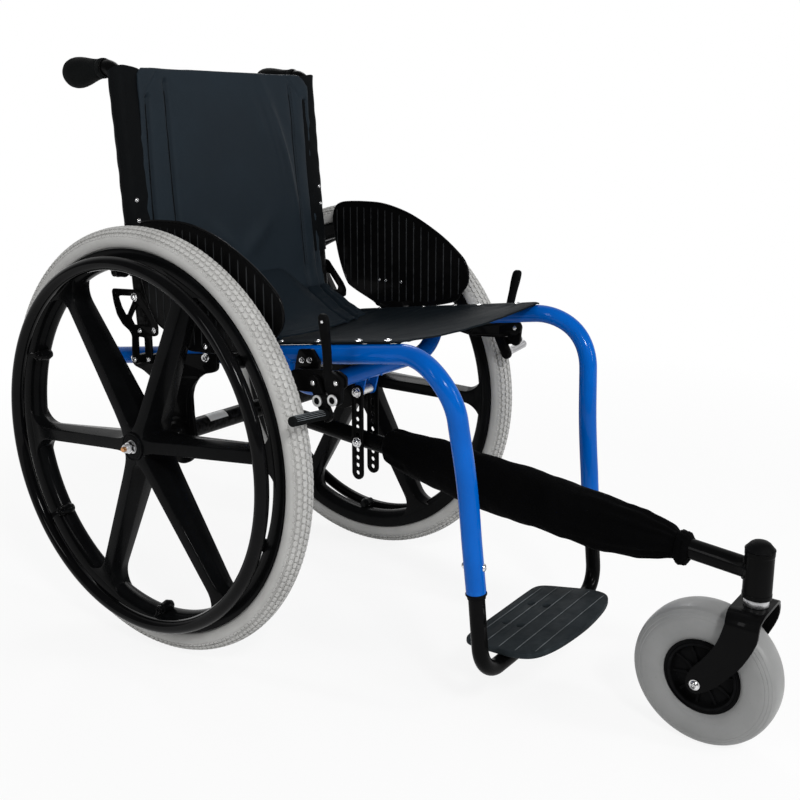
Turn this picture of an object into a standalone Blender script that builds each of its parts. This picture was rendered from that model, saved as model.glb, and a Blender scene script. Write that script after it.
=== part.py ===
import bmesh
import bpy
from math import acos, atan2, cos, hypot, pi, radians, sin, tan
from mathutils import Matrix, Vector

# All-terrain wheelchair: rigid frame, two large driving wheels and one caster on a long boom.
# Metres, +Z up, ground at z = 0, the chair faces -Y, its right-hand side is -X.
# Lengths along Y are written from the driving wheels' axle; the last step moves all by AXLE_Y.

# Fits
GAP = 0.0003
SEAT_ON_RAIL_GAP = 0.0004
SLEEVE_BORE_GAP = 0.0005
FLAP_LIFT = 0.0002
CUT_PAST = 0.010
OVERLAP = 0.001

# Layout
WHEEL_R = 0.305
CASTER_R = 0.090
CASTER_AXLE_Y = -0.734
CASTER_STEM_Y = -0.786
AXLE_Y = (-CASTER_AXLE_Y + CASTER_R - WHEEL_R) / 2
AXLE_Z = 0.305

# Side frames
TUBE_R = 0.0127
RAIL_X = 0.168
RAIL_Z = 0.4179
RAIL_SLOPE = -0.1385
RAIL_REAR_Y = 0.155
RAIL_FRONT_Y = -0.300
HANGER_X = 0.157
HANGER_Y = -0.5079
HANGER_SLOPE = 0.0739
HANGER_END_Z = 0.180
HANGER_STRAIGHT_Z = 0.315
KNEE_R = 0.078
KNEE_X = 0.1760
KNEE_END_X = 0.1700
KNEE_STEPS = 8
HANGER_STEPS = 3
TUBE_SIDES = 12
BORE_FACET_GAP = 0.0003
BORE_CLEAR = 0.010

# Footrest
FOOT_TUBE_R = 0.0105
FOOT_TUBE_TOP_Z = 0.285
FOOT_TUBE_LOW_Z = 0.067
FOOT_BEND_R = 0.038
FOOT_BEND_STEPS = 5
COLLAR_LENGTH = 0.012
PLATE_TOP_Z = 0.0875
PLATE_MID_Y = -0.508
PLATE_SLOPE = -0.14
PLATE_OUTLINE = (
    (0.000, -0.4330), (0.070, -0.4330), (0.090, -0.4370), (0.105, -0.4500), (0.113, -0.4685),
    (0.1190, -0.4900), (0.1195, -0.5080), (0.1180, -0.5345), (0.103, -0.5540), (0.090, -0.5634),
    (0.053, -0.5744), (0.000, -0.5805),
)
PLATE_SLOTS = ((0.030, -0.478), (0.030, -0.520))
PLATE_SLOT_HALF = 0.011
PLATE_SLOT_R = 0.0035
PLATE_RIM = 0.0015
COLLAR_EDGE = 0.0010

# Cross tube, straps and boom
CROSS_Y = -0.210
CROSS_LOW_Z = 0.394
CROSS_BEND_STEPS = 6
LUG_TOP = ((-0.2195, 0.3900), (-0.2002, 0.3920))
LUG_NECK_Z = 0.3640
LUG_R = 0.0095
LUG_IN_X = 0.0123
LUG_OUT_X = 0.0162
STRAP_IN_X = 0.0165
STRAP_OUT_X = 0.0195
STRAP_Y = -0.1992
STRAP_R = 0.0105
STRAP_TOP_BOLT_Z = 0.3614
STRAP_PITCH = 0.0118
STRAP_HOLES = (-4, -3, -2, -1, 0, 1, 2, 3)
STRAP_SLOT_Z = 0.338
STRAP_SLOT_HALF = 0.0028
SMALL_BOLT_R = 0.0030
SMALL_HEAD_R = 0.0068
SMALL_HEAD_T = 0.0058
STRAP_SPACER_R = 0.0048
STRAP_COLLAR_R = 0.0055
BOOM_R = 0.0133
BOOM_BORE_R = 0.0113
BOOM_Z = 0.302
BOOM_SLOPE = 0.0856
BOOM_REAR_Y = -0.004
BOOM_FRONT_Y = -0.782
HEAD_R = 0.017
HEAD_LOW_Z = 0.203
HEAD_TOP_Z = 0.265
HEAD_BORE_R = 0.0083
HEAD_POCKET_R = 0.0135
HEAD_POCKET_Z = 0.2575
CAP_TOP_Z = 0.277
CAP_PROFILE = ((0.0000, 0.0000), (0.0080, 0.0012), (0.0135, 0.0045), (HEAD_R, 0.0095))

# Axle tube and its brackets
AXLE_TUBE_R = 0.0140
AXLE_TUBE_BORE_R = 0.0120
PIN_R = 0.00635
PIN_BORE_R = PIN_R + GAP
PIN_SEAT_LENGTH = 0.080
BRACKET_IN_X = RAIL_X + TUBE_R + GAP
BRACKET_OUT_X = BRACKET_IN_X + 0.0060
BRACKET_BOSS_R = 0.0125
BRACKET_HALF_Y = 0.037
BRACKET_LOW_CENTRE_Z = 0.295
BRACKET_TOP = (
    (-0.0370, 0.3650), (-0.0395, 0.3790), (-0.0460, 0.3920), (-0.0580, 0.4010), (-0.0780, 0.4060),
    (-0.0850, 0.4110), (-0.0862, 0.4200), (-0.0862, 0.4340), (0.0900, 0.4096), (0.0970, 0.4050),
    (0.0975, 0.3985), (0.0920, 0.3920), (0.0730, 0.3880), (0.0560, 0.3800), (0.0440, 0.3660),
    (0.0380, 0.3500),
)
BORE_TAPER = 0.002

# Driving wheels
WHEEL_X = 0.2428
WHEEL_STEPS = 36
HANDRIM_STEPS = 32
TYRE_HALF = 0.018
TYRE_HEIGHT = 0.0345
SEAT_R = WHEEL_R - TYRE_HEIGHT
BEAD_HALF = 0.0112
FLANGE_HEIGHT = 0.0050
FLANGE_R = SEAT_R + FLANGE_HEIGHT
SIDEWALL_RISE = 0.0115
SIDEWALL_R = FLANGE_R + SIDEWALL_RISE
SHOULDER_DROP = 0.0065
SHOULDER_R = WHEEL_R - SHOULDER_DROP
SHOULDER_HALF = 0.0145
TREAD_HALF = 0.0040
FLANGE_HALF = 0.0155
FLANGE_IN_HALF = 0.0116
RIM_FACE_DEPTH = 0.0085
RIM_FACE_R = SEAT_R - RIM_FACE_DEPTH
RIM_SLANT = 0.0135
RIM_RIDGE_R = RIM_FACE_R - RIM_SLANT
RIM_RIDGE_HALF = 0.0050
FLANGE_CLEAR = 0.0012
SPOKES = 6
SPOKE_PHASE = {"right": 6.5, "left": 0.0}
SPOKE_FROM_CENTRE = ((0.0190, 0.0085, 0.0112, 0.0268), (0.0600, 0.0085, 0.0125, 0.0240))
SPOKE_FROM_RIDGE = (
    (-0.0235, 0.0090, 0.0135, 0.0168), (-0.0025, 0.0170, 0.0250, 0.0152),
    (0.0155, 0.0400, 0.0550, 0.0150),
)
HUB_R = 0.0265
HUB_HALF = 0.0262
HUB_BOSS_R = 0.0204
HUB_OUT = 0.0300
HUB_EDGE = 0.0015
HUB_SHOULDER = 0.003
CARTRIDGE_R = 0.0140
CARTRIDGE_INSET = 0.0002
EAR_R = 0.0075
EAR_INSET = 0.0050
EAR_RADIUS = RIM_RIDGE_R - EAR_INSET
EAR_HALF = 0.0160
EAR_ROOT = 0.0040
HANDRIM_REACH = 0.0143
HANDRIM_RING_R = EAR_RADIUS + HANDRIM_REACH
HANDRIM_R = 0.0095
HANDRIM_OUT = 0.0370
HANDRIM_SIDES = 8
TAB_R = 0.0062
TAB_THICK = 0.0050
TAB_ARM_HALF = 0.0050
TAB_ARM_T = 0.0045
TAB_SINK = 0.002
AXLE_NUT_R = 0.0090
AXLE_NUT_T = 0.0060
PIN_STUB = 0.0058
PIN_EDGE = 0.0008
PIN_NOSE = 0.002
PIN_SHORT = 0.004
BUTTON_R = 0.0036
BUTTON_OUT = 0.0040
BUTTON_LENGTH = 0.0240
BUTTON_TRAVEL = 0.0030
BUTTON_DOME = 0.0014

# Seat and side guards
SEAT_HALF = 0.172
SEAT_FRONT_Y = -0.400
SEAT_REAR_Y = 0.020
SEAT_T = 0.0030
SEAT_SAG = 0.014
SEAT_SAG_HALF = 0.160
SEAT_HEM = 0.0012
SEAT_RIPPLE = 0.0012
SEAT_RIPPLES = 3
SEAT_FRONT_SAG = 0.55
SEAT_FULL_SAG_AFTER = 0.090
SEAT_COLUMNS = (0.045, 0.090, 0.125, 0.148, 0.160, SEAT_HALF)
SEAT_ROWS = (SEAT_FRONT_Y, -0.395, -0.380, -0.340, -0.280, -0.210, -0.140, -0.070, -0.020, SEAT_REAR_Y)
FLAP_T = 0.0030
FLAP_HALF = 0.150
FLAP_REAR_Y = 0.032
FLAP_SIDE_Y = -0.168
FLAP_BOW = 0.050
FLAP_TURN_UP = 0.038
FLAP_TURN_UP_END = 0.35
FLAP_FOLD = 0.0045
FLAP_FOLDS = 1.3
FLAP_FOLD_LEAN = 9.0
FLAP_COLUMNS = (0.035, 0.070, 0.105, 0.135, FLAP_HALF)
FLAP_ROWS = (0.0, 0.08, 0.20, 0.35, 0.50, 0.64, 0.76, 0.88, 1.0)
GUARD_X = 0.2135
GUARD_T = 0.0025
GUARD_OUTLINE = (
    (0.0378, 0.573), (0.0380, 0.590), (0.0330, 0.604), (0.021, 0.6115), (0.000, 0.6145),
    (-0.030, 0.6155), (-0.065, 0.6145), (-0.100, 0.6075), (-0.137, 0.5945), (-0.187, 0.5680),
    (-0.2235, 0.5406), (-0.235, 0.526), (-0.2390, 0.511), (-0.237, 0.495), (-0.224, 0.478),
    (-0.211, 0.465), (-0.135, 0.4475), (-0.080, 0.4425), (-0.058, 0.4430), (-0.048, 0.450),
    (-0.005, 0.4685), (0.010, 0.481), (0.026, 0.520),
)
GUARD_FOOT = ((-0.0870, 0.4240), (-0.1340, 0.4300), (-0.1340, 0.4600), (-0.0870, 0.4565))
GUARD_FOOT_T = 0.0030
GUARD_STUDS = ((-0.0945, 0.4505), (-0.1240, 0.4530))
GUARD_STUD_R = 0.0050

# Back
CANE_X = 0.1953
CANE_R = 0.0110
CANE_REF_Y = 0.0812
CANE_REF_Z = 0.7913
CANE_SLOPE = 0.0875
CANE_LOW_Z = 0.452
CANE_BEND_R = 0.0215
CANE_BEND_STEPS = 5
GRIP_Y = 0.1036
GRIP_Z = 0.822
GRIP_SLOPE = -0.0809
GRIP_START_Y = 0.1075
CANE_END_Y = 0.168
GRIP_PROFILE = (
    (0.0000, 0.0140), (0.0060, 0.0142), (0.0100, 0.0135), (0.0250, 0.0155), (0.0450, 0.0200),
    (0.0600, 0.0220), (0.0710, 0.0205), (0.0780, 0.0150), (0.0815, 0.0060),
)
GRIP_WALL_END = 0.0625
PIVOT_Y = 0.0545
PIVOT_Z = 0.5025
PIVOT_R = 0.0030
PIVOT_HEAD_R = 0.0065
PIVOT_NUT_R = 0.0055
PIVOT_NUT_T = 0.0040
PIVOT_HEAD_T = 0.0035
QUADRANT_IN_X = CANE_X + CANE_R + GAP
QUADRANT_T = 0.0030
QUADRANT_OUTLINE = (
    (0.1030, 0.5105), (0.0520, 0.5135), (0.0455, 0.5110), (0.0410, 0.5050), (0.0150, 0.4760),
    (0.0085, 0.4650), (0.0090, 0.4530), (0.0150, 0.4495), (0.0230, 0.4495), (0.0230, 0.4140),
    (0.0253, 0.4088), (0.0305, 0.4065), (0.0357, 0.4088), (0.0380, 0.4140), (0.0380, 0.4455),
    (0.0525, 0.4448), (0.0530, 0.4100), (0.0553, 0.4048), (0.0605, 0.4025), (0.0657, 0.4048),
    (0.0680, 0.4100), (0.0655, 0.4450), (0.0705, 0.4515), (0.0853, 0.4592), (0.0968, 0.4725),
    (0.1031, 0.4908), (0.1055, 0.5060),
)
QUADRANT_WINDOWS = (
    ((0.0600, 0.5035), (0.0878, 0.5015), (0.0925, 0.4990), (0.0862, 0.4843), (0.0777, 0.4738),
     (0.0728, 0.4754), (0.0590, 0.4965)),
    ((0.0525, 0.4900), (0.0660, 0.4700), (0.0600, 0.4620), (0.0265, 0.4620), (0.0255, 0.4680),
     (0.0440, 0.4890)),
)
QUADRANT_STUDS = ((0.0305, 0.4140), (0.0605, 0.4100))
QUADRANT_STUD_R = 0.0070
UPHOLSTERY_TOP_Z = 0.824
UPHOLSTERY_LOW_Z = 0.492
SLEEVE_LOW_Z = 0.532
SLEEVE_TOP_Z = 0.806
SLEEVE_WALL = 0.0012
CANE_WAY_END_Y = 0.130
PANEL_LEVELS = (
    UPHOLSTERY_LOW_Z, 0.498, 0.512, SLEEVE_LOW_Z - 0.001, SLEEVE_LOW_Z + 0.001, 0.590, 0.670, 0.750, 0.802,
    0.819, UPHOLSTERY_TOP_Z - 0.0005,
)
PANEL_LOW_EDGE = 0.176
PANEL_EDGE = 0.1875
PANEL_OUTER = 0.166
PANEL_MIDDLE = 0.155
PANEL_INNER = 0.120
PANEL_TAPER = 0.010
PANEL_CROWN = 0.0035
PANEL_WAVE = 0.0030
PANEL_TOP_BOW = 0.0030
PANEL_TOP_DROP = 0.004
POCKET_GAP = 0.0003

# Wheel locks
LOCK_A = (-0.3290, 0.4361)
LOCK_B = (-0.3272, 0.4153)
LOCK_C = (-0.2919, 0.4311)
LOCK_D = (-0.3026, 0.4108)
LOCK_BAR = (-0.3116, 0.3919)
LOCK_PLATE_IN_X = 0.2085
LOCK_PLATE_OUT_X = 0.2120
LOCK_LAYER_IN_X = LOCK_PLATE_OUT_X + GAP
LOCK_LAYER_OUT_X = LOCK_LAYER_IN_X + 0.0058
LOCK_LINK_IN_X = LOCK_LAYER_OUT_X + GAP
LOCK_LINK_OUT_X = LOCK_LINK_IN_X + 0.0045
LOCK_HEAD_T = 0.0018
LOCK_PIN_R = 0.0035
LOCK_HEAD_R = 0.0055
LOCK_EYE_R = 0.0085
LOCK_SLOT_HALF = 0.0008
LOCK_SLOT_R = LOCK_PIN_R + 0.0007
LOCK_BAR_R = 0.0065
LOCK_BAR_END_X = 0.286
LOCK_CLAMP = (
    (-0.2355, 0.4419), (-0.2404, 0.4611), (-0.2637, 0.4642), (-0.2768, 0.4477), (-0.2730, 0.4330),
    (-0.2620, 0.4190), (-0.2270, 0.4250),
)
LOCK_CLAMP_T = 0.0055
LOCK_BRIDGE_NEAR = ((-0.2335, 0.4250), (-0.2610, 0.4205), (-0.2660, 0.4340), (-0.2370, 0.4380))
LOCK_BRIDGE_FAR = ((-0.2815, 0.4245), (-0.3050, 0.4215), (-0.3050, 0.4400), (-0.2815, 0.4420))
LOCK_LEVER_TOP = ((-0.3160, 0.4260), (-0.3165, 0.4500), (-0.3330, 0.4500))
LOCK_LINK_R = 0.0062
LOCK_MOUNT = (
    (-0.2790, 0.4400), (-0.2800, 0.4240), (-0.2900, 0.4190), (-0.3120, 0.4205), (-0.3300, 0.4240),
    (-0.3400, 0.4320), (-0.3400, 0.4440), (-0.3280, 0.4500), (-0.2900, 0.4470),
)
LOCK_HANDLE = (
    (0.4450, 0.21535, -0.3245, 0.0028, 0.0066), (0.4700, 0.21535, -0.3205, 0.0028, 0.0068),
    (0.4800, 0.2175, -0.3190, 0.0031, 0.0070), (0.5000, 0.2247, -0.3212, 0.0034, 0.0072),
    (0.5180, 0.2318, -0.3238, 0.0032, 0.0068), (0.5230, 0.2335, -0.3244, 0.0020, 0.0045),
)

# Caster
FORK_HALF = 0.042
FORK_T = 0.005
FORK_TOP_Z = 0.193
FORK_SHOULDER_R = 0.014
FORK_SHOULDER_STEPS = 5
FORK_OUTLINE = (
    (-0.8080, 0.2000), (-0.8050, 0.1835), (-0.8015, 0.1622), (-0.7888, 0.1334), (-0.7749, 0.1141),
    (-0.7600, 0.0960), (-0.7440, 0.0830), (-0.7340, 0.0785), (-0.7259, 0.0819), (-0.7225, 0.0900),
    (-0.7245, 0.1010), (-0.7310, 0.1130), (-0.7429, 0.1283), (-0.7560, 0.1515), (-0.7638, 0.1787),
    (-0.7650, 0.2000),
)
CASTER_STEPS = 26
CASTER_SEAT_R = 0.0480
CASTER_SEAT_HALF = 0.0200
CASTER_HUB_END = FORK_HALF - FORK_T - 0.0004
CASTER_BOLT_R = 0.0040
CASTER_TYRE_SIDE = (
    (CASTER_SEAT_R, CASTER_SEAT_HALF), (0.0530, 0.0248), (0.0680, 0.0268), (0.0830, 0.0230), (0.0892, 0.0130),
)
CASTER_HUB_SIDE = (
    (CASTER_BOLT_R + GAP, CASTER_HUB_END), (0.0125, CASTER_HUB_END), (0.0150, 0.0130), (0.0390, 0.0120),
    (0.0410, 0.0205), (CASTER_SEAT_R - GAP, CASTER_SEAT_HALF - 0.0005),
)
CASTER_NUT_R = 0.0065
CASTER_NUT_T = 0.0050
STEM_HEAD_R = 0.0090
STEM_HEAD_T = 0.0060
STEM_NECK_R = 0.0060
STEM_COLLAR_R = 0.0160
STEM_COLLAR_T = 0.0040
STEM_CONE_R = 0.0120
STEM_NUT_R = 0.0120
STEM_NUT_BELOW = 0.0008
STEM_EDGE = 0.0010

# Boom sleeve
SLEEVE_STATIONS = (
    (-0.2630, 0.3110, 0.2510, 0.0290), (-0.2850, 0.3130, 0.2440, 0.0330), (-0.3100, 0.3110, 0.2380, 0.0350),
    (-0.3345, 0.3125, 0.2310, 0.0365), (-0.3675, 0.3100, 0.2270, 0.0370), (-0.4000, 0.3080, 0.2210, 0.0380),
    (-0.4325, 0.3040, 0.2190, 0.0375), (-0.4650, 0.3015, 0.2150, 0.0385), (-0.4980, 0.2965, 0.2150, 0.0375),
    (-0.5270, 0.2945, 0.2125, 0.0380), (-0.5550, 0.2905, 0.2110, 0.0370), (-0.5830, 0.2885, 0.2080, 0.0365),
    (-0.6120, 0.2830, 0.2090, 0.0350), (-0.6360, 0.2800, 0.2090, 0.0325), (-0.6560, 0.2735, 0.2130, 0.0290),
    (-0.6720, 0.2690, 0.2180, 0.0250), (-0.6840, 0.2640, 0.2220, 0.0215), (-0.6920, 0.2610, 0.2200, 0.0205),
    (-0.7000, 0.2600, 0.2210, 0.0190), (-0.7030, 0.2570, 0.2260, 0.0165),
)
SLEEVE_SIDES = 16
SLEEVE_FOLD = 0.0016
SLEEVE_FOLD_WAVES = 3
SLEEVE_FOLD_TWIST = 38.0
SLEEVE_CUFF_FROM = 17
SLEEVE_CUFF_FOLD = 0.4

FINISHES = {
    "blue": ((0.000, 0.085, 0.430), 0.25, 0.0),
    "black_paint": ((0.010, 0.010, 0.011), 0.35, 0.0),
    "black_plastic": ((0.012, 0.012, 0.013), 0.45, 0.0),
    "black_gloss": ((0.010, 0.010, 0.012), 0.22, 0.0),
    "rubber": ((0.015, 0.015, 0.015), 0.75, 0.0),
    "fabric": ((0.012, 0.016, 0.022), 0.90, 0.0),
    "knit": ((0.006, 0.006, 0.006), 0.95, 0.0),
    "tyre": ((0.600, 0.600, 0.585), 0.70, 0.0),
    "tyre_grey": ((0.240, 0.245, 0.245), 0.60, 0.0),
    "chrome": ((0.780, 0.780, 0.780), 0.20, 1.0),
    "steel": ((0.600, 0.600, 0.600), 0.35, 1.0),
    "brass": ((0.600, 0.300, 0.120), 0.30, 1.0),
}


# Scene
for old in list(bpy.data.objects):
    bpy.data.objects.remove(old, do_unlink=True)

chair = bpy.data.collections.new("all_terrain_wheelchair")
bpy.context.scene.collection.children.link(chair)
cutters = bpy.data.collections.new("cutters")
cutters.hide_render = True
bpy.context.scene.collection.children.link(cutters)


# Helpers
def finished(obj, finish, angle=35.0):
    colour, roughness, metallic = FINISHES[finish]
    material = bpy.data.materials.new(obj.name + "_" + finish)
    material.use_nodes = True
    shader = material.node_tree.nodes["Principled BSDF"]
    shader.inputs["Base Color"].default_value = (*colour, 1.0)
    shader.inputs["Roughness"].default_value = roughness
    shader.inputs["Metallic"].default_value = metallic
    obj.data.materials.clear()
    obj.data.materials.append(material)
    for face in obj.data.polygons:
        face.use_smooth = True
    obj.data.set_sharp_from_angle(angle=radians(angle))
    return obj


def placed(name, mesh, hidden=False):
    obj = bpy.data.objects.new(name, mesh)
    if hidden:
        cutters.objects.link(obj)
        obj.hide_render = True
        obj.display_type = "WIRE"
    else:
        chair.objects.link(obj)
    return obj


def mesh_from(name, points, faces):
    mesh = bpy.data.meshes.new(name)
    build = bmesh.new()
    corners = [build.verts.new(point) for point in points]
    for face in faces:
        build.faces.new([corners[index] for index in face])
    bmesh.ops.recalc_face_normals(build, faces=build.faces)
    build.to_mesh(mesh)
    build.free()
    return mesh


def loft(name, rings, hidden=False):
    """Closed skin over rings of equal length, with a face on both ends."""
    count = len(rings[0])
    points = [point for ring in rings for point in ring]
    faces = [tuple(range(count)), tuple(range(len(points) - count, len(points)))]
    for row in range(len(rings) - 1):
        for place in range(count):
            after = (place + 1) % count
            faces.append((
                row * count + place, row * count + after,
                (row + 1) * count + after, (row + 1) * count + place,
            ))
    return placed(name, mesh_from(name, points, faces), hidden)


def slab(name, upper, lower, hidden=False):
    """Closed skin between two equal grids of points."""
    rows = len(upper)
    columns = len(upper[0])
    points = [point for row in upper for point in row] + [point for row in lower for point in row]
    shift = rows * columns
    faces = []
    for row in range(rows - 1):
        for column in range(columns - 1):
            first = row * columns + column
            quad = (first, first + 1, first + columns + 1, first + columns)
            faces.append(quad)
            faces.append(tuple(index + shift for index in reversed(quad)))
    edge = [column for column in range(columns)]
    edge += [row * columns + columns - 1 for row in range(1, rows)]
    edge += [(rows - 1) * columns + column for column in range(columns - 2, -1, -1)]
    edge += [row * columns for row in range(rows - 2, 0, -1)]
    for place, index in enumerate(edge):
        after = edge[(place + 1) % len(edge)]
        faces.append((index, after, after + shift, index + shift))
    return placed(name, mesh_from(name, points, faces), hidden)


def mesh_of_curve(name, curve, matrix, hidden):
    guide = bpy.data.objects.new(name + "_guide", curve)
    bpy.context.scene.collection.objects.link(guide)
    guide.matrix_world = matrix
    bpy.context.view_layer.update()
    graph = bpy.context.evaluated_depsgraph_get()
    mesh = bpy.data.meshes.new_from_object(guide.evaluated_get(graph))
    mesh.name = name
    mesh.transform(guide.matrix_world)
    build = bmesh.new()
    build.from_mesh(mesh)
    bmesh.ops.remove_doubles(build, verts=build.verts, dist=1e-6)
    bmesh.ops.recalc_face_normals(build, faces=build.faces)
    build.to_mesh(mesh)
    build.free()
    bpy.data.objects.remove(guide, do_unlink=True)
    bpy.data.curves.remove(curve)
    return placed(name, mesh, hidden)


def tube(name, path, radius, sides=TUBE_SIDES, hidden=False):
    """Round bar along a line of points."""
    curve = bpy.data.curves.new(name, "CURVE")
    curve.dimensions = "3D"
    curve.bevel_depth = radius
    curve.bevel_resolution = (sides - 4) // 2
    curve.use_fill_caps = True
    spline = curve.splines.new("POLY")
    spline.points.add(len(path) - 1)
    for point, place in zip(spline.points, path):
        point.co = (*place, 1.0)
    return mesh_of_curve(name, curve, Matrix.Identity(4), hidden)


SIDE_ON = Matrix(((0, 0, 1, 0), (1, 0, 0, 0), (0, 1, 0, 0), (0, 0, 0, 1)))
ENDS_ON = Matrix(((1, 0, 0, 0), (0, 0, -1, 0), (0, 1, 0, 0), (0, 0, 0, 1)))


def plate(name, outlines, low, high, turn=SIDE_ON, hidden=False):
    """Flat piece cut to an outline, with further outlines as holes, between two distances on its axis."""
    curve = bpy.data.curves.new(name, "CURVE")
    curve.dimensions = "2D"
    curve.fill_mode = "BOTH"
    curve.extrude = abs(high - low) / 2
    for outline in outlines:
        spline = curve.splines.new("POLY")
        spline.points.add(len(outline) - 1)
        for point, place in zip(spline.points, outline):
            point.co = (place[0], place[1], 0.0, 1.0)
        spline.use_cyclic_u = True
    middle = Matrix.Translation((0, 0, (low + high) / 2))
    return mesh_of_curve(name, curve, turn @ middle, hidden)


def round_hole(centre, radius, sides=10):
    return [
        (centre[0] + radius * cos(2 * pi * step / sides), centre[1] + radius * sin(2 * pi * step / sides))
        for step in range(sides)
    ]


def slot_hole(centre, half, radius, upright, steps=4):
    points = []
    for end, start in ((1, -pi / 2), (-1, pi / 2)):
        for step in range(steps + 1):
            angle = start + pi * step / steps
            along = end * half + radius * cos(angle)
            across = radius * sin(angle)
            if upright:
                points.append((centre[0] - across, centre[1] + along))
            else:
                points.append((centre[0] + along, centre[1] + across))
    return points


def rod(name, start, end, radius, sides=12, hidden=False):
    """Straight round bar between two points."""
    start = Vector(start)
    end = Vector(end)
    along = end - start
    turn = along.to_track_quat("Z", "Y").to_matrix().to_4x4()
    build = bmesh.new()
    bmesh.ops.create_cone(
        build, cap_ends=True, segments=sides, radius1=radius, radius2=radius, depth=along.length,
        matrix=Matrix.Translation((start + end) / 2) @ turn,
    )
    mesh = bpy.data.meshes.new(name)
    build.to_mesh(mesh)
    build.free()
    return placed(name, mesh, hidden)


def turned(name, profile, axis, origin, steps, closed, hidden=False):
    """Profile of (radius, distance) pairs, running down its outer side, turned round an axis."""
    mesh = bpy.data.meshes.new(name)
    points = [(radius, 0.0, along) for radius, along in profile]
    edges = [(index, index + 1) for index in range(len(points) - 1)]
    if closed:
        edges.append((len(points) - 1, 0))
    mesh.from_pydata(points, edges, [])
    obj = placed(name, mesh, hidden)
    screw = obj.modifiers.new("turn", "SCREW")
    screw.axis = "Z"
    screw.angle = 2 * pi
    screw.steps = steps
    screw.render_steps = steps
    screw.use_merge_vertices = True
    screw.merge_threshold = 0.00001
    screw.use_smooth_shade = True
    turn = Vector(axis).to_track_quat("Z", "Y").to_matrix().to_4x4()
    bpy.context.view_layer.update()
    graph = bpy.context.evaluated_depsgraph_get()
    solid = bpy.data.meshes.new_from_object(obj.evaluated_get(graph))
    solid.name = name
    build = bmesh.new()
    build.from_mesh(solid)
    bmesh.ops.remove_doubles(build, verts=build.verts, dist=1e-6)
    bmesh.ops.recalc_face_normals(build, faces=build.faces)
    build.to_mesh(solid)
    build.free()
    solid.transform(Matrix.Translation(origin) @ turn)
    bpy.data.objects.remove(obj, do_unlink=True)
    bpy.data.meshes.remove(mesh)
    return placed(name, solid, hidden)


def combine(obj, other, operation):
    step = obj.modifiers.new(operation.lower(), "BOOLEAN")
    step.operation = operation
    step.solver = "EXACT"
    step.object = other


def cut(obj, *others):
    for other in others:
        combine(obj, other, "DIFFERENCE")


def fuse(obj, *others):
    for other in others:
        combine(obj, other, "UNION")


def pivoted(obj, point):
    """Moves the object's origin onto its joint's axis."""
    offset = Vector(point)
    obj.data.transform(Matrix.Translation(-offset))
    obj.location = offset
    return obj


def blended(keys, place):
    """Smooth value between (place, value) keys."""
    for (low, first), (high, second) in zip(keys, keys[1:]):
        if place <= high:
            share = (place - low) / (high - low)
            share = share * share * (3 - 2 * share)
            return first + (second - first) * share
    return keys[-1][1]


def rail_z(y):
    return RAIL_Z + RAIL_SLOPE * y


def boom_z(y):
    return BOOM_Z + BOOM_SLOPE * y


def hanger_y(z):
    return HANGER_Y + HANGER_SLOPE * z


def cane_y(z):
    return CANE_REF_Y + CANE_SLOPE * (z - CANE_REF_Z)


def side_path(side, rear_y, low_z):
    """Centre line of one side frame, from its rear end over the knee and down the hanger."""
    corner_z = (RAIL_Z + RAIL_SLOPE * HANGER_Y) / (1 - RAIL_SLOPE * HANGER_SLOPE)
    corner = Vector((hanger_y(corner_z), corner_z))
    along_rail = Vector((-1.0, -RAIL_SLOPE)).normalized()
    along_hanger = Vector((-HANGER_SLOPE, -1.0)).normalized()
    turn = acos(along_rail.dot(along_hanger))
    start = corner - along_rail * KNEE_R * tan(turn / 2)
    centre = start + Vector((along_rail.y, -along_rail.x)) * -KNEE_R
    if (centre - corner).length < (start - corner).length:
        centre = start + Vector((along_rail.y, -along_rail.x)) * KNEE_R
    spoke = start - centre
    points = [(side * RAIL_X, y, rail_z(y)) for y in (rear_y, RAIL_FRONT_Y)]
    x_keys = ((0.0, RAIL_X), (0.5, KNEE_X), (1.0, KNEE_END_X))
    for step in range(KNEE_STEPS + 1):
        share = step / KNEE_STEPS
        angle = turn * share
        y = centre.x + spoke.x * cos(angle) - spoke.y * sin(angle)
        z = centre.y + spoke.x * sin(angle) + spoke.y * cos(angle)
        points.append((side * blended(x_keys, share), y, z))
    knee_z = points[-1][2]
    for step in range(1, HANGER_STEPS + 1):
        share = step / HANGER_STEPS
        z = knee_z + (HANGER_STRAIGHT_Z - knee_z) * share
        x = blended(((0.0, KNEE_END_X), (1.0, HANGER_X)), share)
        points.append((side * x, hanger_y(z), z))
    points.append((side * HANGER_X, hanger_y(low_z), low_z))
    return points


# Frame
for hand, side in (("right", -1.0), ("left", 1.0)):
    frame = tube("side_frame_" + hand, side_path(side, RAIL_REAR_Y, HANGER_END_Z), TUBE_R)
    bore_top_z = FOOT_TUBE_TOP_Z + BORE_CLEAR
    bore_low_z = HANGER_END_Z - BORE_CLEAR
    bore = tube(
        "side_bore_" + hand,
        [(side * HANGER_X, hanger_y(z), z) for z in (bore_top_z, bore_low_z)],
        FOOT_TUBE_R + GAP + BORE_FACET_GAP, hidden=True,
    )
    cut(frame, bore)
    finished(frame, "blue")

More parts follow.
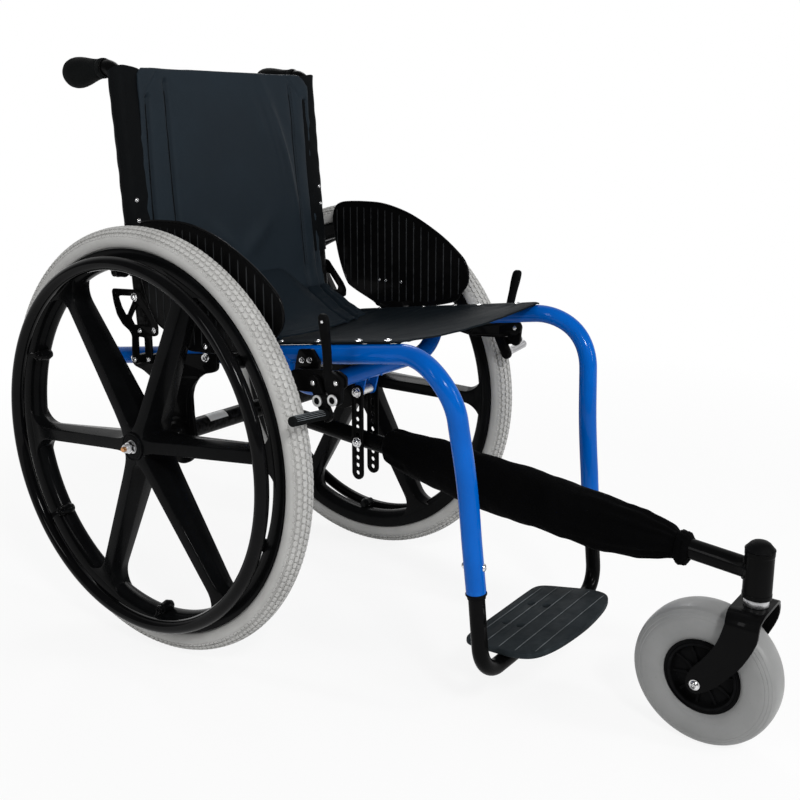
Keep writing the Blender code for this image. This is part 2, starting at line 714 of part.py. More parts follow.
cross_path = []
cross_bend_r = rail_z(CROSS_Y) - CROSS_LOW_Z
for side, steps in ((-1.0, range(CROSS_BEND_STEPS + 1)), (1.0, range(CROSS_BEND_STEPS, -1, -1))):
    for step in steps:
        angle = pi / 2 * step / CROSS_BEND_STEPS
        x = RAIL_X - cross_bend_r * (1 - cos(angle))
        z = rail_z(CROSS_Y) - cross_bend_r * sin(angle)
        cross_path.append((side * x, CROSS_Y, z))
cross = tube("front_cross_tube", cross_path, TUBE_R)
for hand, side in (("right", -1.0), ("left", 1.0)):
    rail = rod(
        "rail_clearance_" + hand,
        (side * RAIL_X, RAIL_FRONT_Y, rail_z(RAIL_FRONT_Y)), (side * RAIL_X, 0.0, rail_z(0.0)),
        TUBE_R + GAP, 20, hidden=True,
    )
    cut(cross, rail)
    lug_outline = [*LUG_TOP, (STRAP_Y + LUG_R, LUG_NECK_Z)]
    lug_outline += [
        (STRAP_Y + LUG_R * cos(angle), STRAP_TOP_BOLT_Z + LUG_R * sin(angle))
        for angle in [-pi * step / 6 for step in range(7)]
    ]
    lug = plate(
        "lug_" + hand,
        [lug_outline, round_hole((STRAP_Y, STRAP_TOP_BOLT_Z), SMALL_BOLT_R + GAP, 8)],
        side * LUG_IN_X, side * LUG_OUT_X, hidden=True,
    )
    fuse(cross, lug)
finished(cross, "blue")

for hand, side in (("right", -1.0), ("left", 1.0)):
    holes = [
        round_hole((STRAP_Y, boom_z(STRAP_Y) + STRAP_PITCH * place), SMALL_BOLT_R + GAP, 8)
        for place in STRAP_HOLES
    ]
    holes.append(slot_hole((STRAP_Y, STRAP_SLOT_Z), STRAP_SLOT_HALF, SMALL_BOLT_R + GAP, True))
    holes.append(round_hole((STRAP_Y, STRAP_TOP_BOLT_Z), SMALL_BOLT_R + GAP, 8))
    strap_low_z = boom_z(STRAP_Y) + STRAP_PITCH * STRAP_HOLES[0]
    body = slot_hole(
        (STRAP_Y, (STRAP_TOP_BOLT_Z + strap_low_z) / 2),
        (STRAP_TOP_BOLT_Z - strap_low_z) / 2, STRAP_R, True, 6,
    )
    strap = plate("hanger_strap_" + hand, [body] + holes, side * STRAP_IN_X, side * STRAP_OUT_X)
    finished(strap, "black_paint")

spacer_half = LUG_IN_X - GAP
spacer = turned(
    "strap_spacer",
    (
        (STRAP_SPACER_R, spacer_half), (STRAP_SPACER_R, -spacer_half),
        (SMALL_BOLT_R + GAP, -spacer_half), (SMALL_BOLT_R + GAP, spacer_half),
    ),
    (1, 0, 0), (0, STRAP_Y, STRAP_TOP_BOLT_Z), 12, True,
)
finished(spacer, "chrome")


def bolt_profile(reach, head_r, head_t, shank_r, collar=None):
    """Domed head and matching nut on a shank; a collar is (radius, near, far) on both sides."""
    half = [
        (0.0, reach + head_t), (head_r * 0.70, reach + head_t * 0.90), (head_r, reach + head_t * 0.40),
        (head_r, reach), (shank_r, reach),
    ]
    if collar:
        half += [(shank_r, collar[2]), (collar[0], collar[2]), (collar[0], collar[1]), (shank_r, collar[1])]
    return half + [(radius, -along) for radius, along in reversed(half)]


top_bolt = turned(
    "strap_top_bolt", bolt_profile(STRAP_OUT_X + GAP, SMALL_HEAD_R, SMALL_HEAD_T, SMALL_BOLT_R),
    (1, 0, 0), (0, STRAP_Y, STRAP_TOP_BOLT_Z), 12, False,
)
finished(top_bolt, "chrome")
low_bolt = turned(
    "strap_lower_bolt",
    bolt_profile(
        STRAP_OUT_X + GAP, SMALL_HEAD_R, SMALL_HEAD_T, SMALL_BOLT_R,
        (STRAP_COLLAR_R, BOOM_R + GAP, STRAP_IN_X - GAP),
    ),
    (1, 0, 0), (0, STRAP_Y, boom_z(STRAP_Y)), 12, False,
)
finished(low_bolt, "chrome")

axle_tube = turned(
    "axle_tube",
    (
        (AXLE_TUBE_R, BRACKET_IN_X - GAP), (AXLE_TUBE_R, GAP - BRACKET_IN_X),
        (PIN_BORE_R, GAP - BRACKET_IN_X), (PIN_BORE_R, PIN_SEAT_LENGTH - BRACKET_IN_X),
        (AXLE_TUBE_BORE_R, PIN_SEAT_LENGTH - BRACKET_IN_X + BORE_TAPER),
        (AXLE_TUBE_BORE_R, BRACKET_IN_X - PIN_SEAT_LENGTH - BORE_TAPER),
        (PIN_BORE_R, BRACKET_IN_X - PIN_SEAT_LENGTH), (PIN_BORE_R, BRACKET_IN_X - GAP),
    ),
    (1, 0, 0), (0, 0, AXLE_Z), 18, True,
)
finished(axle_tube, "black_paint")

boom_ends = [(0, y, boom_z(y)) for y in (BOOM_REAR_Y, BOOM_FRONT_Y)]
bore_ends = [(0, y, boom_z(y)) for y in (BOOM_REAR_Y + CUT_PAST, BOOM_FRONT_Y - CUT_PAST)]
boom = rod("boom_tube", *boom_ends, BOOM_R, 18)
boom_bore = rod("boom_bore", *bore_ends, BOOM_BORE_R, 12, True)
boom_side = BOOM_R + CUT_PAST
boom_rear = rod("boom_rear", (-boom_side, 0, AXLE_Z), (boom_side, 0, AXLE_Z), AXLE_TUBE_R + GAP, 24, True)
boom_front = rod(
    "boom_front", (0, CASTER_STEM_Y, HEAD_LOW_Z - CUT_PAST), (0, CASTER_STEM_Y, HEAD_TOP_Z + CUT_PAST),
    HEAD_R + GAP, 24, True,
)
boom_cross = rod(
    "boom_cross", (-boom_side, STRAP_Y, boom_z(STRAP_Y)), (boom_side, STRAP_Y, boom_z(STRAP_Y)),
    SMALL_BOLT_R + GAP, 12, True,
)
cut(boom, boom_rear, boom_front, boom_bore, boom_cross)
finished(boom, "black_paint")

head_tube = turned(
    "head_tube",
    (
        (HEAD_R, HEAD_TOP_Z), (HEAD_R, HEAD_LOW_Z), (HEAD_BORE_R, HEAD_LOW_Z),
        (HEAD_BORE_R, HEAD_POCKET_Z), (HEAD_POCKET_R, HEAD_POCKET_Z), (HEAD_POCKET_R, HEAD_TOP_Z),
    ),
    (0, 0, 1), (0, CASTER_STEM_Y, 0), 20, True,
)
finished(head_tube, "black_paint")
head_cap = turned(
    "head_cap",
    (
        *[(radius, CAP_TOP_Z - drop) for radius, drop in CAP_PROFILE],
        (HEAD_R, HEAD_TOP_Z + GAP), (0.0, HEAD_TOP_Z + GAP),
    ),
    (0, 0, 1), (0, CASTER_STEM_Y, 0), 20, False,
)
finished(head_cap, "black_gloss")


def sleeve_ring(station, grow):
    y, top, low, half = station
    centre_z = (top + low) / 2
    high = (top - low) / 2
    ring = []
    for step in range(SLEEVE_SIDES):
        angle = 2 * pi * step / SLEEVE_SIDES
        fold = grow * SLEEVE_FOLD * sin(SLEEVE_FOLD_WAVES * angle + SLEEVE_FOLD_TWIST * y)
        ring.append(((half + fold) * sin(angle), y, centre_z + (high + fold) * cos(angle)))
    return ring


sleeve_rings = [
    sleeve_ring(station, 1.0 if 0 < index < SLEEVE_CUFF_FROM else SLEEVE_CUFF_FOLD)
    for index, station in enumerate(SLEEVE_STATIONS)
]
sleeve = loft("boom_sleeve", sleeve_rings)
sleeve_rear_y = SLEEVE_STATIONS[0][0] + CUT_PAST
sleeve_front_y = SLEEVE_STATIONS[-1][0] - CUT_PAST
sleeve_ends = [(0, y, boom_z(y)) for y in (sleeve_rear_y, sleeve_front_y)]
sleeve_bore = rod("sleeve_bore", *sleeve_ends, BOOM_R + SLEEVE_BORE_GAP, 18, True)
cut(sleeve, sleeve_bore)
finished(sleeve, "knit", 60)

# Axle brackets
bracket_outline = [
    (BRACKET_HALF_Y * cos(angle), BRACKET_LOW_CENTRE_Z + BRACKET_HALF_Y * sin(angle))
    for angle in [-pi * step / 8 for step in range(9)]
]
bracket_outline += BRACKET_TOP
for hand, side in (("right", -1.0), ("left", 1.0)):
    bracket = plate("axle_bracket_" + hand, [bracket_outline], side * BRACKET_IN_X, side * BRACKET_OUT_X)
    boss_end = WHEEL_X - HUB_HALF - GAP
    boss = rod(
        "boss_" + hand, (side * (BRACKET_IN_X + OVERLAP), 0, AXLE_Z), (side * boss_end, 0, AXLE_Z),
        BRACKET_BOSS_R, 16, True,
    )
    pin_way = rod(
        "pin_way_" + hand,
        (side * (BRACKET_IN_X - CUT_PAST), 0, AXLE_Z), (side * (boss_end + CUT_PAST), 0, AXLE_Z),
        PIN_BORE_R, 16, True,
    )
    fuse(bracket, boss)
    cut(bracket, pin_way)
    finished(bracket, "black_paint")

# Footrest
tilt = Vector((0.0, HANGER_SLOPE, 1.0)).normalized()
for hand, side in (("right", -1.0), ("left", 1.0)):
    collar_top = Vector((side * HANGER_X, hanger_y(HANGER_END_Z), HANGER_END_Z)) - tilt * GAP
    collar = turned(
        "footrest_collar_" + hand,
        (
            (TUBE_R - COLLAR_EDGE, 0.0), (TUBE_R, -COLLAR_EDGE), (TUBE_R, COLLAR_EDGE - COLLAR_LENGTH),
            (TUBE_R - COLLAR_EDGE, -COLLAR_LENGTH),
            (FOOT_TUBE_R + GAP, -COLLAR_LENGTH), (FOOT_TUBE_R + GAP, 0.0),
        ),
        tilt, collar_top, 16, True,
    )
    finished(collar, "black_plastic")

foot_path = []
for side in (-1.0, 1.0):
    points = [(side * HANGER_X, hanger_y(FOOT_TUBE_TOP_Z), FOOT_TUBE_TOP_Z)]
    for step in range(FOOT_BEND_STEPS + 1):
        angle = pi / 2 * step / FOOT_BEND_STEPS
        x = HANGER_X - FOOT_BEND_R * (1 - cos(angle))
        z = FOOT_TUBE_LOW_Z + FOOT_BEND_R * (1 - sin(angle))
        points.append((side * x, hanger_y(z), z))
    foot_path += points if side < 0 else points[::-1]
footrest_tube = tube("footrest_tube", foot_path, FOOT_TUBE_R)
finished(footrest_tube, "black_paint")


def plate_z(y):
    return PLATE_TOP_Z + PLATE_SLOPE * (y - PLATE_MID_Y)


plate_lean = cos(atan2(PLATE_SLOPE, 1.0))
above_tube = (plate_z(hanger_y(FOOT_TUBE_LOW_Z)) - FOOT_TUBE_LOW_Z) * plate_lean
plate_drop = (above_tube - FOOT_TUBE_R - GAP) / plate_lean
plate_edge = list(PLATE_OUTLINE) + [(-x, y) for x, y in PLATE_OUTLINE[-2:0:-1]]
plate_rings = []
for inset, depth in (
    (PLATE_RIM, 0.0), (0.0, PLATE_RIM), (0.0, plate_drop - PLATE_RIM), (PLATE_RIM, plate_drop),
):
    ring = []
    for x, y in plate_edge:
        shrink = 1 - inset / hypot(x, y - PLATE_MID_Y)
        near_x = x * shrink
        near_y = PLATE_MID_Y + (y - PLATE_MID_Y) * shrink
        ring.append((near_x, near_y, plate_z(near_y) - depth))
    plate_rings.append(ring)
footplate = loft("footplate", plate_rings)
for number, (slot_x, slot_y) in enumerate(PLATE_SLOTS):
    for side in (-1.0, 1.0):
        slot = plate(
            "plate_slot_%d_%s" % (number, "right" if side < 0 else "left"),
            [slot_hole((side * slot_x, slot_y), PLATE_SLOT_HALF, PLATE_SLOT_R, False)],
            0.0, PLATE_TOP_Z + 2 * CUT_PAST, Matrix.Identity(4), True,
        )
        cut(footplate, slot)
finished(footplate, "black_plastic")

# Seat
rail_top = TUBE_R / cos(atan2(RAIL_SLOPE, 1.0))
seat_columns = [-x for x in reversed(SEAT_COLUMNS)] + [0.0] + list(SEAT_COLUMNS)


def seat_sag(x, y):
    share = max(0.0, 1 - (x / SEAT_SAG_HALF) ** 2)
    back = y - SEAT_FRONT_Y
    ripple = SEAT_RIPPLE * sin(SEAT_RIPPLES * pi * back / (SEAT_REAR_Y - SEAT_FRONT_Y))
    depth = min(1.0, SEAT_FRONT_SAG + (1 - SEAT_FRONT_SAG) * back / SEAT_FULL_SAG_AFTER)
    return (SEAT_SAG * depth + ripple) * share


def seat_under(x, y):
    return rail_z(y) + rail_top + SEAT_ON_RAIL_GAP - seat_sag(x, y)


def seat_top(x, y):
    hem = SEAT_HEM if y <= SEAT_ROWS[1] else 0.0
    return seat_under(x, y) + SEAT_T + hem


seat = slab(
    "seat_sling",
    [[(x, y, seat_top(x, y)) for x in seat_columns] for y in SEAT_ROWS],
    [[(x, y, seat_under(x, y)) for x in seat_columns] for y in SEAT_ROWS],
)
finished(seat, "fabric", 60)

flap_columns = [-x for x in reversed(FLAP_COLUMNS)] + [0.0] + list(FLAP_COLUMNS)


def flap_point(x, along, lift):
    """The back's lower flap lies forward on the seat, its rear edge turned up and its face in soft folds."""
    tip_y = FLAP_SIDE_Y + FLAP_BOW * (1 - (abs(x) / FLAP_HALF) ** 2)
    y = FLAP_REAR_Y + (tip_y - FLAP_REAR_Y) * along
    rise = FLAP_TURN_UP * max(0.0, 1 - along / FLAP_TURN_UP_END) ** 2
    wave = sin(2 * pi * FLAP_FOLDS * along + FLAP_FOLD_LEAN * abs(x))
    fold = FLAP_FOLD * max(0.0, wave) * sin(pi * along)
    return (x, y, seat_top(x, min(y, SEAT_REAR_Y)) + GAP + rise + fold + lift)


flap = slab(
    "seat_flap",
    [[flap_point(x, along, FLAP_T) for x in flap_columns] for along in FLAP_ROWS],
    [[flap_point(x, along, FLAP_LIFT) for x in flap_columns] for along in FLAP_ROWS],
)
finished(flap, "fabric", 60)

for hand, side in (("right", -1.0), ("left", 1.0)):
    guard = plate(
        "side_guard_" + hand, [GUARD_OUTLINE],
        side * (GUARD_X - GUARD_T / 2), side * (GUARD_X + GUARD_T / 2),
    )
    foot = plate(
        "guard_foot_" + hand, [GUARD_FOOT],
        side * BRACKET_IN_X, side * (BRACKET_IN_X + GUARD_FOOT_T), hidden=True,
    )
    for number, (stud_y, stud_z) in enumerate(GUARD_STUDS):
        stud = rod(
            "guard_stud_%s_%d" % (hand, number),
            (side * (BRACKET_IN_X + OVERLAP), stud_y, stud_z),
            (side * GUARD_X, stud_y, stud_z), GUARD_STUD_R, 8, True,
        )
        fuse(guard, stud)
    fuse(guard, foot)
    finished(guard, "black_plastic")

# Back
along_cane = Vector((CANE_SLOPE, 1.0)).normalized()
along_grip = Vector((1.0, GRIP_SLOPE)).normalized()
cane_foot_y = cane_y(0.0)
bend_z = (GRIP_Z + GRIP_SLOPE * (cane_foot_y - GRIP_Y)) / (1 - GRIP_SLOPE * CANE_SLOPE)
bend_corner = Vector((cane_y(bend_z), bend_z))
bend_turn = acos(along_cane.dot(along_grip))
bend_start = bend_corner - along_cane * CANE_BEND_R * tan(bend_turn / 2)
bend_centre = bend_start + Vector((along_cane.y, -along_cane.x)) * CANE_BEND_R


def cane_path(side, low_z, end_y):
    points = [(side * CANE_X, cane_y(low_z), low_z)]
    spoke = bend_start - bend_centre
    for step in range(CANE_BEND_STEPS + 1):
        angle = -bend_turn * step / CANE_BEND_STEPS
        y = bend_centre.x + spoke.x * cos(angle) - spoke.y * sin(angle)
        z = bend_centre.y + spoke.x * sin(angle) + spoke.y * cos(angle)
        points.append((side * CANE_X, y, z))
    points.append((side * CANE_X, end_y, GRIP_Z + GRIP_SLOPE * (end_y - GRIP_Y)))
    return points


def panel_ring(z):
    """One level of the padded back panel: front from right to left, then the rear side."""
    level = (z - UPHOLSTERY_LOW_Z) / (UPHOLSTERY_TOP_Z - UPHOLSTERY_LOW_Z)
    edge = PANEL_LOW_EDGE if z < SLEEVE_LOW_Z else PANEL_EDGE
    outer = PANEL_OUTER - 0.7 * PANEL_TAPER * level
    middle = PANEL_MIDDLE - PANEL_TAPER * level
    inner = PANEL_INNER - PANEL_TAPER * level
    crown = PANEL_CROWN * sin(pi * min(1.0, level / 0.15) / 2) * sin(pi * min(1.0, (1 - level) / 0.10) / 2)
    front = (
        (edge, 0.0), (outer, -0.0010), (outer - 0.003, -0.0050 - crown), (middle + 0.002, -0.0055 - crown),
        (middle, -0.0030 - crown), (middle - 0.002, -0.0055 - crown), (inner + 0.002, -0.0050 - crown),
        (inner, -0.0025 - crown), (inner - 0.002, -0.0045 - crown), (inner * 0.5, -0.0022 - crown),
    )
    rear = ((edge, 0.0030), (outer, 0.0050), (inner, 0.0110), (inner * 0.5, 0.0130))
    wave = PANEL_WAVE * sin(pi * level) ** 2
    y = cane_y(z)
    points = [(-x, y + offset + wave) for x, offset in front]
    points += [(x, y + offset + wave) for x, offset in reversed(front)]
    points += [(x, y + offset + wave) for x, offset in rear]
    points += [(-x, y + offset + wave) for x, offset in reversed(rear)]
    return points


panel_rings = []
for z in PANEL_LEVELS:
    ring = []
    for x, y in panel_ring(z):
        lift = 0.0
        if z > SLEEVE_TOP_Z:
            lift = PANEL_TOP_BOW * sin(pi * min(1.0, abs(x) / PANEL_OUTER))
        if z > SLEEVE_TOP_Z and abs(x) > PANEL_OUTER:
            lift = -PANEL_TOP_DROP
        ring.append((x, y, z + lift))
    panel_rings.append(ring)
upholstery = loft("back_upholstery", panel_rings)
for hand, side in (("right", -1.0), ("left", 1.0)):
    pocket = rod(
        "pocket_" + hand,
        (side * CANE_X, cane_y(SLEEVE_LOW_Z), SLEEVE_LOW_Z),
        (side * CANE_X, cane_y(SLEEVE_TOP_Z), SLEEVE_TOP_Z),
        CANE_R + SLEEVE_WALL, 16, True,
    )
    fuse(upholstery, pocket)
for hand, side in (("right", -1.0), ("left", 1.0)):
    cane_way = tube(
        "cane_way_" + hand, cane_path(side, SLEEVE_LOW_Z - CUT_PAST, CANE_WAY_END_Y),
        CANE_R + POCKET_GAP, 16, True,
    )
    cut(upholstery, cane_way)
finished(upholstery, "fabric", 50)
pivoted(upholstery, (0, PIVOT_Y, PIVOT_Z))

for hand, side in (("right", -1.0), ("left", 1.0)):
    cane = tube("back_cane_" + hand, cane_path(side, CANE_LOW_Z, CANE_END_Y), CANE_R)
    pivot_way = rod(
        "pivot_way_" + hand,
        (side * (CANE_X - CANE_R - CUT_PAST), PIVOT_Y, PIVOT_Z),
        (side * (CANE_X + CANE_R + CUT_PAST), PIVOT_Y, PIVOT_Z),
        PIVOT_R + GAP, 12, True,
    )
    cut(cane, pivot_way)
    finished(cane, "black_paint")
    pivoted(cane, (side * CANE_X, PIVOT_Y, PIVOT_Z))

    grip_start = Vector((side * CANE_X, GRIP_START_Y, GRIP_Z + GRIP_SLOPE * (GRIP_START_Y - GRIP_Y)))
    grip_axis = Vector((0.0, -1.0, -GRIP_SLOPE)).normalized()
    profile = [(radius, -along) for along, radius in GRIP_PROFILE]
    profile += [(0.0, -GRIP_PROFILE[-1][0]), (0.0, -GRIP_WALL_END)]
    profile += [(CANE_R + GAP, -GRIP_WALL_END), (CANE_R + GAP, 0.0)]
    grip = turned("push_grip_" + hand, profile, grip_axis, grip_start, 12, True)
    finished(grip, "rubber")
    pivoted(grip, (side * CANE_X, PIVOT_Y, PIVOT_Z))

    quadrant = plate(
        "back_bracket_" + hand,
        [QUADRANT_OUTLINE, *QUADRANT_WINDOWS, round_hole((PIVOT_Y, PIVOT_Z), PIVOT_R + GAP, 12)],
        side * QUADRANT_IN_X, side * (QUADRANT_IN_X + QUADRANT_T),
    )
    for number, (stud_y, stud_z) in enumerate(QUADRANT_STUDS):
        stud = rod(
            "quadrant_stud_%s_%d" % (hand, number),
            (side * (BRACKET_OUT_X + GAP), stud_y, stud_z),
            (side * (QUADRANT_IN_X + QUADRANT_T / 2), stud_y, stud_z), QUADRANT_STUD_R, 10, True,
        )
        fuse(quadrant, stud)
    finished(quadrant, "black_paint")

    head_x = QUADRANT_IN_X + QUADRANT_T + GAP
    nut_x = CANE_X - CANE_R - GAP
    pivot_bolt = turned(
        "pivot_bolt_" + hand,
        (
            (0.0, head_x + PIVOT_HEAD_T), (PIVOT_HEAD_R * 0.7, head_x + PIVOT_HEAD_T * 0.9),
            (PIVOT_HEAD_R, head_x + PIVOT_HEAD_T * 0.4), (PIVOT_HEAD_R, head_x), (PIVOT_R, head_x),
            (PIVOT_R, nut_x), (PIVOT_NUT_R, nut_x), (PIVOT_NUT_R, nut_x - PIVOT_NUT_T),
            (0.0, nut_x - PIVOT_NUT_T),
        ),
        (side, 0, 0), (0, PIVOT_Y, PIVOT_Z), 12, False,
    )
    finished(pivot_bolt, "chrome")


# Driving wheels
def wheel_point(radius, angle, x):
    return (x, -radius * cos(angle), AXLE_Z + radius * sin(angle))


RIM_PROFILE = (
    (FLANGE_R, FLANGE_HALF), (FLANGE_R, FLANGE_IN_HALF), (SEAT_R, FLANGE_IN_HALF), (SEAT_R, -FLANGE_IN_HALF),
    (FLANGE_R, -FLANGE_IN_HALF), (FLANGE_R, -FLANGE_HALF), (RIM_FACE_R, -FLANGE_HALF),
    (RIM_RIDGE_R, -RIM_RIDGE_HALF), (RIM_RIDGE_R, RIM_RIDGE_HALF), (RIM_FACE_R, FLANGE_HALF),
)
TYRE_SIDE = (
    (SEAT_R + GAP, BEAD_HALF), (FLANGE_R + FLANGE_CLEAR, BEAD_HALF), (SIDEWALL_R, TYRE_HALF),
    (SHOULDER_R, SHOULDER_HALF), (WHEEL_R, TREAD_HALF),
)
TYRE_PROFILE = [*TYRE_SIDE, *[(radius, -along) for radius, along in reversed(TYRE_SIDE)]]
SPOKE_STATIONS = [
    *SPOKE_FROM_CENTRE,
    *[(RIM_RIDGE_R + beyond, *widths) for beyond, *widths in SPOKE_FROM_RIDGE],
]

for hand, side in (("right", -1.0), ("left", 1.0)):
    centre = (side * WHEEL_X, 0, AXLE_Z)
    out_x = side * (WHEEL_X + HUB_OUT)
    in_x = side * (WHEEL_X - HUB_HALF)
    wheel = turned("wheel_" + hand, RIM_PROFILE, (side, 0, 0), centre, WHEEL_STEPS, True)
    hub = turned(
        "hub_" + hand,
        (
            (0.0, HUB_OUT), (HUB_BOSS_R - HUB_EDGE, HUB_OUT), (HUB_BOSS_R, HUB_OUT - HUB_EDGE),
            (HUB_BOSS_R, HUB_HALF - HUB_SHOULDER), (HUB_R, HUB_HALF - 2 * HUB_SHOULDER),
            (HUB_R, HUB_EDGE - HUB_HALF), (HUB_R - HUB_EDGE, -HUB_HALF), (0.0, -HUB_HALF),
        ),
        (side, 0, 0), centre, 18, False, True,
    )
    for number in range(SPOKES):
        angle = radians(SPOKE_PHASE[hand] + 360 / SPOKES * number)
        along = Vector((0, -cos(angle), sin(angle)))
        across = Vector((0, sin(angle), cos(angle)))
        rings = []
        for radius, face, middle, deep in SPOKE_STATIONS:
            base = Vector(centre) + along * radius
            rings.append([
                base + across * face + Vector((deep, 0, 0)), base + across * middle,
                base + across * face - Vector((deep, 0, 0)), base - across * face - Vector((deep, 0, 0)),
                base - across * middle, base - across * face + Vector((deep, 0, 0)),
            ])
        spoke = loft("spoke_%s_%d" % (hand, number), rings, True)
        fuse(wheel, spoke)
        ear_angle = angle + pi / SPOKES
        ear = rod(
            "ear_%s_%d" % (hand, number),
            wheel_point(EAR_RADIUS, ear_angle, side * (WHEEL_X - EAR_ROOT)),
            wheel_point(EAR_RADIUS, ear_angle, side * (WHEEL_X + EAR_HALF)), EAR_R, 6, True,
        )
        fuse(wheel, ear)
    fuse(wheel, hub)
    cartridge_way = rod(
        "cartridge_way_" + hand,
        (side * (WHEEL_X - HUB_HALF - CUT_PAST), 0, AXLE_Z),
        (side * (WHEEL_X + HUB_OUT + CUT_PAST), 0, AXLE_Z),
        CARTRIDGE_R + GAP, 18, True,
    )
    cut(wheel, cartridge_way)
    finished(wheel, "black_plastic")
    pivoted(wheel, centre)

    cartridge = turned(
        "hub_bearing_" + hand,
        (
            (CARTRIDGE_R, HUB_OUT - CARTRIDGE_INSET), (CARTRIDGE_R, CARTRIDGE_INSET - HUB_HALF),
            (PIN_BORE_R, CARTRIDGE_INSET - HUB_HALF), (PIN_BORE_R, HUB_OUT - CARTRIDGE_INSET),
        ),
        (side, 0, 0), centre, 18, True,
    )
    finished(cartridge, "steel")
    pivoted(cartridge, centre)

    tyre = turned("tyre_" + hand, TYRE_PROFILE, (side, 0, 0), centre, WHEEL_STEPS, True)
    finished(tyre, "tyre")
    pivoted(tyre, centre)

    ring_centre = (side * (WHEEL_X + HANDRIM_OUT), 0, AXLE_Z)
    ring_profile = [
        (HANDRIM_RING_R + HANDRIM_R * sin(angle), HANDRIM_R * cos(angle))
        for angle in [2 * pi * step / HANDRIM_SIDES for step in range(HANDRIM_SIDES)]
    ]
    handrim = turned("handrim_" + hand, ring_profile, (side, 0, 0), ring_centre, HANDRIM_STEPS, True)
    tab_in = WHEEL_X + EAR_HALF + GAP
    for number in range(SPOKES):
        angle = radians(SPOKE_PHASE[hand] + 360 / SPOKES * (number + 0.5))
        tab = rod(
            "tab_%s_%d" % (hand, number), wheel_point(EAR_RADIUS, angle, side * tab_in),
            wheel_point(EAR_RADIUS, angle, side * (tab_in + TAB_THICK)), TAB_R, 6, True,
        )
        across = Vector((0, sin(angle), cos(angle))) * TAB_ARM_HALF
        inner = Vector(wheel_point(EAR_RADIUS - TAB_SINK, angle, side * tab_in))
        outer = Vector(wheel_point(HANDRIM_RING_R, angle, side * (WHEEL_X + HANDRIM_OUT - TAB_SINK)))
        thick = Vector((side * TAB_ARM_T, 0, 0))
        arm = loft(
            "tab_arm_%s_%d" % (hand, number),
            [
                [inner + across, inner - across, inner - across + thick, inner + across + thick],
                [outer + across - thick / 2, outer - across - thick / 2, outer - across + thick / 2,
                 outer + across + thick / 2],
            ],
            True,
        )
        fuse(handrim, arm)
        fuse(handrim, tab)
    finished(handrim, "black_gloss")
    pivoted(handrim, centre)

    pin_in = BRACKET_IN_X - PIN_SEAT_LENGTH + PIN_SHORT
    nut_in = WHEEL_X + HUB_OUT + GAP
    pin_out = nut_in + AXLE_NUT_T + PIN_STUB
    button_in = pin_out + BUTTON_OUT - BUTTON_LENGTH
    pin = turned(
        "axle_pin_" + hand,
        (
            (PIN_R - PIN_EDGE, pin_out), (PIN_R, pin_out - PIN_EDGE), (PIN_R, pin_in + PIN_NOSE),
            (PIN_R - PIN_NOSE, pin_in), (0.0, pin_in), (0.0, button_in - BUTTON_TRAVEL - GAP),
            (BUTTON_R + GAP, button_in - BUTTON_TRAVEL - GAP), (BUTTON_R + GAP, pin_out),
        ),
        (side, 0, 0), (0, 0, AXLE_Z), 14, True,
    )
    finished(pin, "steel")
    nut = plate(
        "axle_nut_" + hand,
        [round_hole((0, AXLE_Z), AXLE_NUT_R, 6), round_hole((0, AXLE_Z), PIN_BORE_R, 14)],
        side * nut_in, side * (nut_in + AXLE_NUT_T),
    )
    finished(nut, "chrome")
    button = turned(
        "release_button_" + hand,
        (
            (0.0, BUTTON_LENGTH), (BUTTON_R * 0.8, BUTTON_LENGTH - BUTTON_DOME * 0.3),
            (BUTTON_R, BUTTON_LENGTH - BUTTON_DOME),
            (BUTTON_R, 0.0), (0.0, 0.0),
        ),
        (side, 0, 0), (side * button_in, 0, AXLE_Z), 12, False,
    )
    finished(button, "brass")
    pivoted(button, (side * button_in, 0, AXLE_Z))


# Wheel locks
def eye(centre, radius, start, end, steps=5):
    """Part of a circle, angles from +Y towards +Z."""
    return [
        (
            centre[0] + radius * cos(start + (end - start) * step / steps),
            centre[1] + radius * sin(start + (end - start) * step / steps),
        )
        for step in range(steps + 1)
    ]


def bar_between(first, second, radius):
    """Outline of a straight link with round ends."""
    lean = atan2(second[1] - first[1], second[0] - first[0])
    ends = eye(first, radius, lean + pi / 2, lean + 3 * pi / 2)
    return ends + eye(second, radius, lean - pi / 2, lean + pi / 2)


